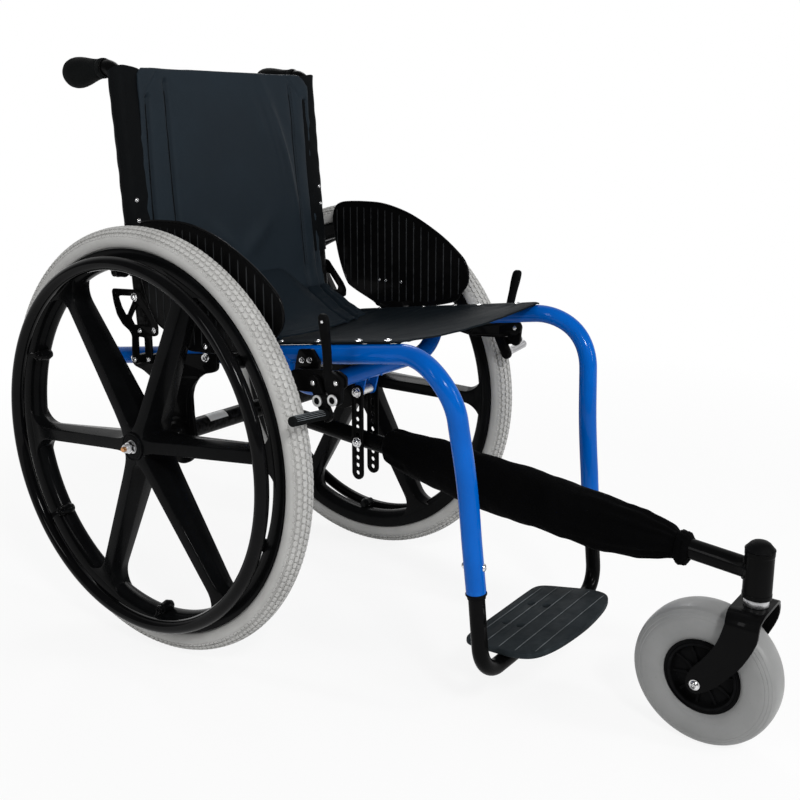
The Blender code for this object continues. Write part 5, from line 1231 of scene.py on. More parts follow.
def handrim(hand, side):
    outward = Vector((side, 0, 0))
    out_centre = (side * (WHEEL_X + HANDRIM_OUT), 0.0, AXLE_Z)
    pieces = [lathe(
        "push_ring_" + hand, round_hole((HANDRIM_RING_R, 0.0), HANDRIM_R), outward, out_centre, 200, True,
        60.0,
    )]
    tab_in = WHEEL_X + 0.0163
    screws = []
    for number in range(SPOKES):
        angle = radians(SPOKE_PHASE[hand] + 360 / SPOKES * (number + 0.5))
        at = wheel_place(AXLE, EAR_RADIUS, angle, side * tab_in)
        tab = rounded([(0.0062, 0.0), (0.0062, 0.0049), (0.003, 0.0049)], 0.001)
        pieces.append(lathe("tab", [(0.0, 0.0), *tab, (0.0, 0.0049)], outward, at, 28))
        across = Vector((0, sin(angle), cos(angle)))
        rings = []
        for share in (0.0, 0.15, 0.35, 0.55, 0.75, 0.9, 1.0):
            radius = EAR_RADIUS - 0.002 + (HANDRIM_RING_R - EAR_RADIUS + 0.002) * share
            out = tab_in + 0.0024 + (WHEEL_X + HANDRIM_OUT - tab_in - 0.0044) * smooth(share)
            middle = wheel_place(AXLE, radius, angle, side * out)
            half = 0.005 - 0.0012 * sin(pi * share)
            rings.append(ring_of(middle, across * half, outward * 0.0022, 16))
        pieces.append(skin("arm", rings, True, True, 50.0))
        screws.append(socket_head("rim_screw", at + outward * 0.0047, outward, 0.0036, 0.0018, False))
    ring = joined("push_ring_" + hand + "_with_arms", *pieces)
    put(ring, hand + "_wheel", GLOSS_BLACK, "gloss_black", "handrim_" + hand)
    put(joined("push_ring_screws_" + hand, *screws), hand + "_wheel", BLACK_PAINT, "black_frame")


for hand, side in HANDS:
    centre = moulded_wheel(hand, side)
    tyre(hand, side, centre)
    handrim(hand, side)
    outward = Vector((side, 0, 0))
    nut_in = WHEEL_X + HUB_OUT + 0.0003
    nut_at = (side * nut_in, 0, AXLE_Z)
    nut = hexagon("axle_hex_" + hand, nut_at, outward, NUT_WIDE, NUT_THICK, NUT_BORE_R, 0.3)
    collar = [(NUT_BORE_R, 0.0), (0.0086, 0.0), (0.0086, 0.0012), (NUT_BORE_R, 0.0012)]
    collar = lathe("axle_hex_collar_" + hand, rounded(collar, 0.0003), outward, nut_at, 40)
    put(joined("axle_hex_nut_" + hand, nut, collar), "frame", CHROME, "chrome", "axle_nut_" + hand)
    pin_out = nut_in + NUT_THICK + 0.006
    threads = [(0.004, pin_out - 0.003), (0.004, pin_out), (0.0058, pin_out), (0.0063, pin_out - 0.0005)]
    thread_at = pin_out - 0.0007
    while thread_at > nut_in + 0.0056:
        threads += [(0.00635, thread_at), (0.00585, thread_at - 0.0005)]
        thread_at -= 0.001
    threads += [(0.0063, nut_in + 0.005), (0.0063, 0.108), (0.0043, 0.105), (0.0, 0.105)]
    pin = lathe("quick_axle_" + hand, threads, outward, AXLE, 40)
    put(pin, "frame", STEEL, "steel", "axle_pin_" + hand)
    button_out = pin_out + 0.004
    button = lathe(
        "axle_button_" + hand,
        [(0.0, button_out - 0.024), (0.0035, button_out - 0.024)]
        + rounded([(0.0036, button_out - 0.023), (0.0036, button_out - 0.001), (0.0028, button_out)], 0.0006)
        + [(0.0014, button_out + 0.0002), (0.0, button_out + 0.0002)],
        outward, AXLE, 28,
    )
    put(button, hand + "_release_button", BRASS, "brass", "release_button_" + hand)


# Caster
SIDE_CASTER = (
    (0.048, 0.02), (0.05, 0.0226), (0.053, 0.0246), (0.058, 0.0261), (0.063, 0.0268), (0.068, 0.0268),
    (0.0725, 0.0262), (0.0765, 0.0252), (0.0772, 0.0247), (0.078, 0.0248), (0.0806, 0.0236),
    (0.0813, 0.023), (0.082, 0.023), (0.0843, 0.0214), (0.0849, 0.0208), (0.0856, 0.0206), (0.0876, 0.018),
    (0.0888, 0.014), (0.0896, 0.009), (0.0899, 0.004), (0.09, 0.0),
)
caster_at = (0, CASTER_Y, CASTER_R)
profile = list(SIDE_CASTER) + [(radius, -out) for radius, out in reversed(SIDE_CASTER[:-1])]
caster_tyre = lathe("caster_rubber", profile, (1, 0, 0), caster_at, 120, True, 30.0)
put(caster_tyre, "caster_wheel", CASTER_TYRE, "tyre_mid", "caster_tyre")

HUB_END = 0.0366
hub_side = [
    (0.0043, HUB_END), (0.0105, HUB_END), (0.0118, HUB_END - 0.0012), (0.0122, 0.0262), (0.015, 0.018),
    (0.016, 0.012), (0.0372, 0.0118), (0.0385, 0.014), (0.0392, 0.02), (0.0402, 0.0212), (0.0428, 0.0214),
    (0.0438, 0.02), (0.045, 0.0196), (0.047, 0.0206), (0.0476, 0.0198),
]
profile = hub_side + [(radius, -out) for radius, out in reversed(hub_side)]
pieces = [lathe("caster_core_body", profile, (1, 0, 0), caster_at, 80, True, 30.0)]
for number in range(10):
    angle = 2 * pi * (number + 0.25) / 10
    along = Vector((0, -cos(angle), sin(angle)))
    across = Vector((0, sin(angle), cos(angle)))
    rings = []
    for radius, out in ((0.0135, 0.019), (0.022, 0.0145), (0.032, 0.0138), (0.0395, 0.015)):
        middle = Vector(caster_at) + along * radius
        rings.append([
            middle + across * over + Vector((up * out, 0, 0)) for over, up in
            softened([(0.0014, 1.0), (0.0014, -1.0), (-0.0014, -1.0), (-0.0014, 1.0)], 0.0007, 2)
        ])
    pieces.append(skin("caster_rib", rings, True, True, 40.0))
put(joined("caster_core", *pieces), "caster_wheel", PLASTIC, "black_plastic", "caster_hub")

FORK_HALF = 0.042
FORK_T = 0.005
FORK_TOP_Z = 0.193
FORK_SHOULDER_R = 0.019
FORK_OUTLINE = (
    (-0.802, 0.2), (-0.8035, 0.1835), (-0.8015, 0.1622), (-0.7888, 0.1334), (-0.7749, 0.1141),
    (-0.76, 0.096), (-0.744, 0.083), (-0.734, 0.0785), (-0.7259, 0.0819), (-0.7225, 0.09), (-0.7245, 0.101),
    (-0.731, 0.113), (-0.7429, 0.1283), (-0.756, 0.1515), (-0.7638, 0.1787), (-0.765, 0.2),
)


def fork_arch(depth):
    """Half of the bent strap's outline seen from the front, then its mirror image."""
    corner = (FORK_HALF - FORK_SHOULDER_R, FORK_TOP_Z - FORK_SHOULDER_R)
    half = [(FORK_HALF - depth, CASTER_R - 0.02)] + part_circle(corner, FORK_SHOULDER_R - depth, 0.0, pi / 2)
    return half + [(-x, z) for x, z in reversed(half)]


def curved(outline, steps=3):
    """Closed outline run through its points on a smooth curve."""
    points = [Vector(point) for point in outline]
    out = []
    count = len(points)
    for index in range(count):
        before, first, last, after = (points[(index + shift) % count] for shift in (-1, 0, 1, 2))
        for step in range(steps):
            t = step / steps
            out.append(tuple(0.5 * (
                2 * first + (last - before) * t + (2 * before - 5 * first + 4 * last - after) * t * t
                + (3 * first - before - 3 * last + after) * t * t * t
            )))
    return out


ENDS_ON = Matrix(((1, 0, 0, 0), (0, 0, -1, 0), (0, 1, 0, 0), (0, 0, 0, 1)))
fork = plate("fork_strap", [fork_arch(0.0) + fork_arch(FORK_T)[::-1]], 0.72, 0.815, 0.00005, ENDS_ON)
fork_side = plate("fork_cut", [curved(FORK_OUTLINE)], -0.06, 0.06, 0.00005)
stem_way = rod("fork_stem_way", (0, STEM_Y, 0.17), (0, STEM_Y, 0.22), 0.0063)
axle_way = rod("fork_axle_way", (-0.06, CASTER_Y, CASTER_R), (0.06, CASTER_Y, CASTER_R), 0.0043)
cut_by(fork, fork_side, operation="INTERSECT")
cut_by(fork, stem_way, axle_way)
soften = fork.modifiers.new("soften", "BEVEL")
soften.width = 0.0009
soften.segments = 3
soften.limit_method = "ANGLE"
soften.angle_limit = radians(50)
baked(fork)
smoothed(fork.data).set_sharp_from_angle(angle=radians(35))
fork.name = "caster_fork_strap"
put(fork, "caster_fork", BLACK_PAINT, "black_frame", "caster_fork")

stem = lathe(
    "steering_stem",
    rounded([
        (0.0, 0.264), (0.011, 0.264), (0.012, 0.263), (0.012, 0.258), (0.0079, 0.258), (0.0079, 0.2027),
        (0.012, 0.2027), (0.0142, 0.2022), (0.0148, 0.199), (0.0148, 0.1933), (0.0059, 0.1933),
        (0.0059, 0.1877), (0.009, 0.1877), (0.009, 0.1822), (0.0078, 0.1817), (0.0, 0.1817),
    ], 0.0004),
    (0, 0, 1), (0, STEM_Y, 0), 48,
)
put(stem, "caster_fork", STEEL, "chrome", "caster_stem")

pieces = [rod("caster_shank", (-FORK_HALF, CASTER_Y, CASTER_R), (FORK_HALF, CASTER_Y, CASTER_R), 0.0039)]
for side in (-1.0, 1.0):
    outward = Vector((side, 0, 0))
    at = outward * (FORK_HALF + 0.0002) + Vector((0, CASTER_Y, CASTER_R))
    pieces.append(washer("caster_washer", at, outward, 0.0066, 0.0042, 0.0009))
    if side < 0:
        pieces.append(socket_head("caster_head", at + outward * 0.0008, outward, 0.0057, 0.004, False))
    else:
        pieces.append(hexagon("caster_nut", at + outward * 0.0008, outward, 0.0112, 0.0038))
put(joined("caster_bolt", *pieces), "caster_fork", CHROME, "chrome", "caster_axle_bolt")


# Footrest
TILT = Vector((0.0, HANGER_SLOPE, 1.0)).normalized()
COLLAR_LENGTH = 0.0075
HANGER_BOLT_Z = 0.218
FOOT_HOLES_Z = (0.17, 0.145)
for hand, side in HANDS:
    collar_top = hanger_at(side, HANGER_END_Z) - TILT * 0.0003
    wall = rounded([
        (FOOT_TUBE_R + 0.0003, 0.0), (TUBE_R + 0.0009, 0.0), (TUBE_R + 0.0009, -0.0026),
        (TUBE_R - 0.0006, -0.003), (TUBE_R - 0.0012, -COLLAR_LENGTH), (FOOT_TUBE_R + 0.0003, -COLLAR_LENGTH),
    ], 0.0008)
    collar = lathe("hanger_collar_" + hand, wall, TILT, collar_top, 40, True)
    put(collar, "frame", PLASTIC, "black_plastic", "footrest_collar_" + hand)
    heads = []
    at = hanger_at(side, HANGER_BOLT_Z)
    way = Vector((side * 0.35, 0.94, 0.0)).normalized()
    for ahead, size in ((-1.0, 0.005), (1.0, 0.0042)):
        heads.append(domed_screw(
            "hanger_bolt_head", at + way * (ahead * (TUBE_R - 0.0006)), way * ahead, size, 0.0036,
        ))
    put(joined("hanger_bolts_" + hand, *heads), "frame", CHROME, "chrome")

foot_corner = (HANGER_LOW_X - FOOT_BEND_R, FOOT_TUBE_LOW_Z + FOOT_BEND_R)
foot_path = []
for side in (-1.0, 1.0):
    leg = [hanger_at(side, z) for z in (0.285, HANGER_END_Z)]
    leg += [(side * x, hanger_y(z), z) for x, z in part_circle(foot_corner, FOOT_BEND_R, 0.0, -pi / 2, 16)]
    foot_path += leg if side < 0 else leg[::-1]
foot_tube = pipe("foot_tube", foot_path, FOOT_TUBE_R, 36)
holes = []
for side in (-1.0, 1.0):
    for z in FOOT_HOLES_Z:
        front, rear = (Vector((side * HANGER_LOW_X, hanger_y(z) + ahead, z)) for ahead in (-0.02, 0.02))
        holes.append(rod("foot_tube_hole", front, rear, 0.003))
cut_by(foot_tube, *holes)
put(foot_tube, "frame", BLACK_PAINT, "black_frame", "footrest_tube")

PLATE_OUTLINE = (
    (0.0, -0.442), (0.06, -0.442), (0.087, -0.4432), (0.0985, -0.45), (0.1035, -0.464), (0.1065, -0.485),
    (0.1095, -0.506), (0.111, -0.524), (0.1085, -0.541), (0.1, -0.5545), (0.081, -0.564), (0.05, -0.5705),
    (0.0, -0.574),
)
PLATE_SHIFT = -0.004
PLATE_THICK = 0.0086
PLATE_RIDGES = (-0.456, -0.477, -0.5005, -0.5252, -0.5505)
PLATE_HOLES = ((0.034, -0.4718), (0.0355, -0.4942))
plate_edge = curved(list(PLATE_OUTLINE) + [(-x, y) for x, y in PLATE_OUTLINE[-2:0:-1]], 4)
plate_holes = [round_hole((side * x, y), 0.0056, 20) for side in (-1.0, 1.0) for x, y in PLATE_HOLES]
body = plate("plate_body", [plate_edge] + plate_holes, -PLATE_THICK, -0.0004, 0.0022, Matrix.Identity(4))


def plate_half_width(y):
    reach = 0.0
    for first, last in zip(plate_edge, plate_edge[1:] + plate_edge[:1]):
        if (first[1] - y) * (last[1] - y) <= 0 and first[1] != last[1]:
            share = (y - first[1]) / (last[1] - first[1])
            reach = max(reach, abs(first[0] + (last[0] - first[0]) * share))
    return reach


ridges = []
for y in PLATE_RIDGES:
    half = plate_half_width(y) - 0.006
    rings = []
    for place in range(25):
        x = -half + 2 * half * place / 24
        end = sqrt(max(0.02, 1 - (x / half) ** 8))
        rings.append(ring_of(
            Vector((x, y, -0.0006)), Vector((0, 0.0007, 0)), Vector((0, 0, 0.0013 * end)), 12,
        ))
    ridges.append(skin("plate_ridge", rings, True, True, 60.0))
# The footplate's ridges are painted pale: painted highlights.
foot_plate = joined("ridged_footplate", *painted(PLATE_PLASTIC, body), *painted(RIDGE_HIGHLIGHT_PLASTIC, *ridges))
for vertex in foot_plate.data.vertices:
    vertex.co.x += PLATE_SHIFT
    vertex.co.z += footplate_z(vertex.co.y)
put(foot_plate, "frame", None, "black_plastic", "footplate")

# Seat
SEAT_HALF = 0.172
SEAT_FRONT_Y = -0.391
SEAT_REAR_Y = 0.02
SEAT_THICK = 0.003
SEAT_HEM = 0.022
SEAT_STRIP_X = 0.157
SEAT_SCREW_X = 0.165
SEAT_SCREWS = {
    -1.0: (-0.06, -0.125, -0.189, -0.254, -0.3225, -0.369),
    1.0: (-0.052, -0.1, -0.188, -0.2465, -0.292, -0.3585),
}
RAIL_TOP = TUBE_R / cos(atan2(RAIL_SLOPE, 1.0))


def seat_sag(x, y):
    share = max(0.0, 1 - (x / 0.16) ** 2)
    back = y - SEAT_FRONT_Y
    ripple = 0.0012 * sin(3 * pi * back / (SEAT_REAR_Y - SEAT_FRONT_Y))
    depth = min(1.0, 0.55 + 0.45 * back / 0.09)
    return (0.014 * depth + ripple) * share


def seat_under(x, y):
    return rail_z(y) + RAIL_TOP + 0.0004 - seat_sag(x, y)


def seat_relief(x, y):
    """Height of hems, stitched channels and soft wrinkles over the plain cloth."""
    front = y - SEAT_FRONT_Y
    side = SEAT_HALF - abs(x)
    hem = 0.0011 * (1 - smooth((front - SEAT_HEM) / 0.003))
    strip = 0.0013 * (1 - smooth((side - (SEAT_HALF - SEAT_STRIP_X)) / 0.003))
    stitch = 0.0007 * (
        lump(front, SEAT_HEM - 0.003, 0.0012) + lump(side, SEAT_HALF - SEAT_STRIP_X - 0.0025, 0.0012)
    )
    rim = 0.0012 * (lump(front, 0.0, 0.0025) + lump(side, 0.0, 0.0025))
    pull = 0.0
    for place in SEAT_SCREWS[-1.0 if x < 0 else 1.0]:
        away = hypot(abs(x) - SEAT_SCREW_X, y - place)
        pull += 0.0008 * lump(away, 0.0, 0.007)
        ray = atan2(y - place, SEAT_SCREW_X - abs(x))
        pull -= 0.0007 * cos(ray * 7 + place * 90) * lump(away, 0.022, 0.014) * (abs(x) < SEAT_STRIP_X)
    middle = smooth((SEAT_STRIP_X - abs(x)) / 0.05)
    soft = 0.0016 * middle * noise.noise((x * 9, y * 22, 0.4))
    soft += 0.0006 * middle * noise.noise((x * 34 + y * 18, y * 60, 2.0))
    return max(hem, strip) - stitch - rim - pull + soft


def fabric_slab(name, columns, rows, top, thick):
    """Cloth of this thickness under a grid of top points."""
    upper = [Vector(top(x, y)) for y in rows for x in columns]
    lower = [point - Vector((0, 0, thick)) for point in upper]
    return slab(name, len(columns), len(rows), upper, lower, 50.0)


seat_columns = [SEAT_HALF * sin(pi / 2 * step / 46) for step in range(-46, 47)]
seat_rows = [SEAT_FRONT_Y + (SEAT_REAR_Y - SEAT_FRONT_Y) * (step / 120) for step in range(121)]
seat = fabric_slab(
    "seat_cloth", seat_columns, seat_rows,
    lambda x, y: (x, y, seat_under(x, y) + SEAT_THICK + seat_relief(x, y)), SEAT_THICK * 0.8,
)
put(seat, "frame", SEAT_NYLON_PAINTED_DARKER, "upholstery", "seat_sling")

pieces = []
for side in (-1.0, 1.0):
    for y in SEAT_SCREWS[side]:
        top = Vector((side * SEAT_SCREW_X, y, seat_under(SEAT_SCREW_X, y) + SEAT_THICK + 0.0004))
        pieces.append(lathe(
            "seat_cup", [(0.0058, 0.0), (0.0055, 0.0005), (0.004, 0.001), (0.0034, 0.0008), (0.0, 0.0007)],
            (0, 0, 1), top, 24,
        ))
        pieces.append(domed_screw("seat_screw", top + Vector((0, 0, 0.0006)), (0, 0, 1), 0.0034, 0.0018))
put(joined("seat_screws", *pieces), "frame", CHROME, "chrome")

FLAP_REAR_HALF = 0.187
FLAP_FRONT_HALF = 0.12
FLAP_REAR_Y = 0.04
FLAP_FRONT_Y = -0.104
CREASE_Z = 0.4735
CREASE_RISE = 0.042
CREASE_FLAT_X = 0.07
CREASE_BEND_X = 0.075
FLAP_SEAMS = ((0.745, 0.64), (0.915, 0.83))


def crease_z(x):
    """Height at which the back's lower end bends forward onto the seat: arched between the canes."""
    return CREASE_Z + CREASE_RISE * (1 - smooth((abs(x) - CREASE_FLAT_X) / CREASE_BEND_X))


def flap_top(share, along):
    """The back's lower flap: from the crease below the back down onto the seat, with soft folds and a hem."""
    half = FLAP_REAR_HALF + (FLAP_FRONT_HALF - FLAP_REAR_HALF) * along
    x = half * share
    y = FLAP_REAR_Y + 0.007 * (1 - share ** 2) * (1 - along) + (FLAP_FRONT_Y - FLAP_REAR_Y) * along
    under = seat_under(min(SEAT_HALF, abs(x)), min(y, SEAT_REAR_Y)) + SEAT_THICK
    top = crease_z(FLAP_REAR_HALF * share)
    drop = (1 - along) ** 1.35 + 0.1 * sin(pi * along)
    rise = (top - under) * min(1.0, drop)
    fold = 0.003 * sin(pi * along) * max(0.0, sin(2 * pi * 1.2 * along + 7.0 * abs(x) + 0.6))
    crease = 0.0022 * sin(pi * along) * noise.noise((x * 16 + 3.0, along * 5.0 - x * 6, 7.0))
    edge = half - abs(x)
    hem = 0.001 * max(1 - smooth((edge - 0.008) / 0.002), 1 - smooth((1 - along - 0.075) / 0.012))
    stitch = 0.0008 * lump(1 - along, 0.07, 0.008)
    seam = 0.0
    for rear, front in FLAP_SEAMS:
        seam += 0.0036 * lump(half * (abs(share) - rear - (front - rear) * along), 0.0, 0.0026)
    roll = 0.012 * max(0.0, 1 - along / 0.08) ** 2
    return (x, y, under + 0.0046 + rise + fold + crease + hem - stitch - seam - roll)


flap = fabric_slab(
    "back_flap_cloth",
    [sin(pi / 2 * step / 80) for step in range(-80, 81)],
    [1.0 - step / 70 for step in range(71)],
    flap_top, 0.0024,
)
put(flap, "frame", FLAP_NYLON_PAINTED_DARKER, "upholstery", "seat_flap")

# Side guards
GUARD_X = 0.2135
GUARD_THICK = 0.0025
GUARD_OUTLINE = (
    (0.0378, 0.573), (0.038, 0.59), (0.033, 0.604), (0.021, 0.6115), (0.0, 0.6145), (-0.03, 0.6155),
    (-0.065, 0.6145), (-0.1, 0.6075), (-0.137, 0.5945), (-0.187, 0.568), (-0.2235, 0.5406), (-0.235, 0.526),
    (-0.239, 0.511), (-0.237, 0.495), (-0.224, 0.478), (-0.211, 0.465), (-0.135, 0.4475), (-0.08, 0.4425),
    (-0.058, 0.443), (-0.048, 0.45), (-0.005, 0.4685), (0.01, 0.481), (0.026, 0.52),
)
GUARD_RIBS_Y = (0.03, -0.23)
GUARD_RIB_PITCH = 0.0148
GUARD_FOOT = ((-0.087, 0.424), (-0.134, 0.43), (-0.134, 0.46), (-0.087, 0.4565))
GUARD_STUDS = ((-0.0945, 0.4505), (-0.124, 0.453))
GUARD_RIVETS = ((-0.062, 0.487), (-0.075, 0.487), (-0.107, 0.487))
GUARD_POST_IN_X = 0.182
guard_edge = curved(GUARD_OUTLINE, 4)


def inside_span(outline, y):
    """Lowest and highest crossing of an outline at this y."""
    marks = []
    for first, last in zip(outline, outline[1:] + outline[:1]):
        if (first[0] - y) * (last[0] - y) < 0:
            share = (y - first[0]) / (last[0] - first[0])
            marks.append(first[1] + (last[1] - first[1]) * share)
    return (min(marks), max(marks)) if len(marks) >= 2 else None


for hand, side in HANDS:
    outward = Vector((side, 0, 0))
    middle = side * GUARD_X
    pieces = [plate(
        "guard_sheet_" + hand, [guard_edge], middle - side * GUARD_THICK / 2,
        middle + side * GUARD_THICK / 2, 0.0009,
    )]
    rim_path = [Vector((middle, y, z)) for y, z in guard_edge]
    rim_rings = []
    for before, point, after in zip(rim_path[-1:] + rim_path, rim_path, rim_path[1:] + rim_path[:1]):
        inward = (after - before).cross(Vector((1, 0, 0))).normalized()
        rim_rings.append(ring_of(point, Vector((0.0021, 0, 0)), inward * 0.0019, 14))
    rim = skin("guard_rim_" + hand, rim_rings, True, False, 70.0, True)
    ribs = []
    y = GUARD_RIBS_Y[0]
    while y > GUARD_RIBS_Y[1]:
        span = inside_span(guard_edge, y)
        if span and span[1] - span[0] > 0.03:
            low, high = span[0] + 0.0035, span[1] - 0.0045
            for face in (-1.0, 1.0):
                rings = []
                for step in range(15):
                    z = low + (high - low) * step / 14
                    fade = min(1.0, step / 1.5, (14 - step) / 1.5)
                    on_face = Vector((middle + face * (GUARD_THICK / 2 - 0.0002), y, z))
                    rings.append(ring_of(
                        on_face, Vector((0, 0.0011, 0)), Vector((face * 0.0008 * fade, 0, 0)), 10,
                    ))
                ribs.append(skin("guard_rib", rings, True, True, 70.0))
        y -= GUARD_RIB_PITCH
    pieces.append(plate(
        "guard_foot_" + hand, [softened(GUARD_FOOT, 0.004)], side * BRACKET_IN_X,
        side * (BRACKET_IN_X + 0.003),
        0.0006,
    ))
    for stud_y, stud_z in GUARD_STUDS:
        pieces.append(rod(
            "guard_post", (side * GUARD_POST_IN_X, stud_y, stud_z), (middle, stud_y, stud_z), 0.005, 24,
        ))
    # The guard's ribs take paler plastic: painted highlights.
    guard = joined(
        "ribbed_guard_" + hand,
        *painted(GUARD_PLASTIC, *pieces), *painted(GLOSS_BLACK, rim), *painted(GUARD_RIB_HIGHLIGHT_PLASTIC, *ribs),
    )
    put(guard, "frame", None, "black_plastic", "side_guard_" + hand)
    heads = []
    for stud_y, stud_z in GUARD_STUDS:
        for way in (-outward, outward):
            at = way * 0.001 + Vector((middle, stud_y, stud_z))
            heads.append(domed_screw("guard_head", at, way, 0.0044, 0.0021))
    for rivet_y, rivet_z in GUARD_RIVETS:
        at = (middle - side * 0.001, rivet_y, rivet_z)
        heads.append(domed_screw("guard_rivet", at, -outward, 0.0026, 0.0014))
    put(joined("guard_screws_" + hand, *heads), "frame", CHROME, "chrome")

# Quadrant brackets of the folding back
QUADRANT_IN_X = 0.2066
QUADRANT_THICK = 0.003
QUADRANT_OUTLINE = (
    (0.103, 0.5105), (0.052, 0.5135), (0.0455, 0.511), (0.041, 0.505), (0.015, 0.476), (0.0085, 0.465),
    (0.009, 0.453), (0.015, 0.4495), (0.023, 0.4495), (0.023, 0.414), (0.0253, 0.4088), (0.0305, 0.4065),
    (0.0357, 0.4088), (0.038, 0.414), (0.038, 0.4455), (0.0525, 0.4448), (0.053, 0.41), (0.0553, 0.4048),
    (0.0605, 0.4025), (0.0657, 0.4048), (0.068, 0.41), (0.0655, 0.445), (0.0705, 0.4515), (0.0853, 0.4592),
    (0.0968, 0.4725), (0.1031, 0.4908), (0.1055, 0.506),
)
QUADRANT_WINDOWS = (
    ((0.06, 0.5035), (0.0878, 0.5015), (0.0925, 0.499), (0.0862, 0.4843), (0.0777, 0.4738),
     (0.0728, 0.4754), (0.059, 0.4965)),
    ((0.0525, 0.49), (0.066, 0.47), (0.06, 0.462), (0.0265, 0.462), (0.0255, 0.468),
     (0.044, 0.489)),
)
QUADRANT_STUDS = ((0.0305, 0.414), (0.0605, 0.41))
QUADRANT_HOLES = ((0.099, 0.5045), (0.0985, 0.4975))
QUADRANT_HEADS = ((0.0466, 0.4541), (0.0158, 0.4584))
for hand, side in HANDS:
    outward = Vector((side, 0, 0))
    outlines = [softened(QUADRANT_OUTLINE, 0.003)]
    outlines += [softened(window, 0.002) for window in QUADRANT_WINDOWS]
    outlines += [round_hole(PIVOT, 0.0033)] + [round_hole(place, 0.0016) for place in QUADRANT_HOLES]
    pieces = [plate(
        "quadrant_plate_" + hand, outlines, side * QUADRANT_IN_X, side * (QUADRANT_IN_X + QUADRANT_THICK),
        0.0006,
    )]
    for stud_y, stud_z in QUADRANT_STUDS:
        pieces.append(rod(
            "quadrant_post", (side * (BRACKET_OUT_X + 0.0003), stud_y, stud_z),
            (side * (QUADRANT_IN_X + 0.0008), stud_y, stud_z), 0.007,
        ))
    put(joined("quadrant_" + hand, *pieces), "frame", BLACK_PAINT, "black_frame", "back_bracket_" + hand)
    face_x = QUADRANT_IN_X + QUADRANT_THICK
    heads = []
    for head_y, head_z in QUADRANT_STUDS + QUADRANT_HEADS:
        at = Vector((side * (face_x + 0.0001), head_y, head_z))
        heads += screw_and_washer(
            "quadrant_screw", at, outward, (0.0042, 0.0022, 0.0006), (0.0031, 0.0024), False,
        )
    put(joined("quadrant_screws_" + hand, *heads), "frame", CHROME, "chrome")
    at = Vector((side * (face_x + 0.0003), *PIVOT))
    pieces = screw_and_washer("pivot_head", at, outward, (0.0065, 0.003, 0.0007), (0.0056, 0.0034), False)
    pieces.append(rod("pivot_shank", (side * 0.18, *PIVOT), at + outward * 0.0002, 0.0029))
    pieces.append(hexagon("pivot_nut", (side * 0.1839, *PIVOT), -outward, 0.01, 0.004))
    put(joined("back_pivot_" + hand, *pieces), "frame", CHROME, "chrome", "pivot_bolt_" + hand)


# Folding back
GRIP_START_Y = 0.1075
CANE_END_Y = 0.168
CANE_LOW_Z = 0.452
CANE_BEND_R = 0.0215
SLEEVE_LOW_Z = 0.532
SLEEVE_TOP_Z = 0.806
GRIP_PROFILE = (
    (0.0, 0.0131), (0.0008, 0.0139), (0.004, 0.0143), (0.0068, 0.0141), (0.0078, 0.0132), (0.0092, 0.0131),
    (0.0104, 0.0138), (0.017, 0.0143), (0.025, 0.0155), (0.035, 0.0177), (0.045, 0.02), (0.053, 0.0214),
    (0.06, 0.022), (0.066, 0.0217), (0.071, 0.0205), (0.075, 0.0181), (0.078, 0.015), (0.08, 0.0112),
    (0.0812, 0.0068), (0.0815, 0.0),
)
along_cane = Vector((CANE_SLOPE, 1.0)).normalized()
along_grip = Vector((1.0, GRIP_SLOPE)).normalized()
bend_z = (GRIP_Z + GRIP_SLOPE * (cane_y(0.0) - GRIP_Y)) / (1 - GRIP_SLOPE * CANE_SLOPE)
bend_corner = Vector((cane_y(bend_z), bend_z))
bend_turn = acos(along_cane.dot(along_grip))
bend_start = bend_corner - along_cane * CANE_BEND_R * tan(bend_turn / 2)
bend_centre = bend_start + Vector((along_cane.y, -along_cane.x)) * CANE_BEND_R


def cane_path(side, low_z, end_y):
    """Centre line of a cane, from its lower end round the bend into the push grip."""
    points = [(side * CANE_X, cane_y(low_z), low_z)]
    points += [(side * CANE_X, y, z) for y, z in swung(bend_centre, bend_start, -bend_turn, 20)]
    return points + [(side * CANE_X, end_y, GRIP_Z + GRIP_SLOPE * (end_y - GRIP_Y))]


for hand, side in HANDS:
    cane = pipe("cane_tube_" + hand, cane_path(side, CANE_LOW_Z, CANE_END_Y), CANE_R, 36)
    put(cane, "folding_back", BLACK_PAINT, "black_frame", "back_cane_" + hand)
    start = Vector((side * CANE_X, GRIP_START_Y, GRIP_Z + GRIP_SLOPE * (GRIP_START_Y - GRIP_Y)))
    grip_axis = Vector((0.0, 1.0, GRIP_SLOPE)).normalized()
    profile = [(CANE_R + 0.0003, 0.0)] + [(radius, along) for along, radius in GRIP_PROFILE]
    grip = lathe("bulb_grip_" + hand, profile, grip_axis, start, 56)
    for vertex in grip.data.vertices:
        off = vertex.co - start
        along = off.dot(grip_axis)
        across = off - grip_axis * along
        turn = atan2(across.z, across.x)
        swell = 1 - 0.012 * (0.5 + 0.5 * cos(3 * turn)) * smooth((along - 0.012) / 0.02)
        vertex.co = start + grip_axis * along + across * swell
    put(grip, "folding_back", GRIP_RUBBER, "grip_rubber", "push_grip_" + hand)
    ring = lathe(
        "grip_end_ring_" + hand, rounded([
            (CANE_R + 0.0001, -0.0024), (CANE_R + 0.0018, -0.0024), (CANE_R + 0.0018, -0.0003),
            (CANE_R + 0.0001, -0.0003),
        ], 0.0006),
        grip_axis, start, 36, False,
    )
    put(ring, "folding_back", BLACK_PAINT, "black_frame")

PANEL_LOW_Z = 0.462
PANEL_TOP_Z = 0.8265
PANEL_LEFT = 0.189
PANEL_RIGHT = 0.1735
PANEL_FLARE = 0.016
PANEL_TUCK = 0.006
PANEL_FORWARD = 0.013
POCKET_REACH = 0.019
SEAM_SHARE = (-0.905, -0.7, 0.745, 0.915)
CORNER_SEAM_X = 0.13
CORNER_SEAM_Z = (0.788, 0.818)
STITCH_LOW_Z = 0.512
CANE_SCREWS_Z = (0.6395, 0.6105)
SIM_FRAMES = 20
SIM_VOXEL = 0.0042
SIM_PRESSURE = 4.0


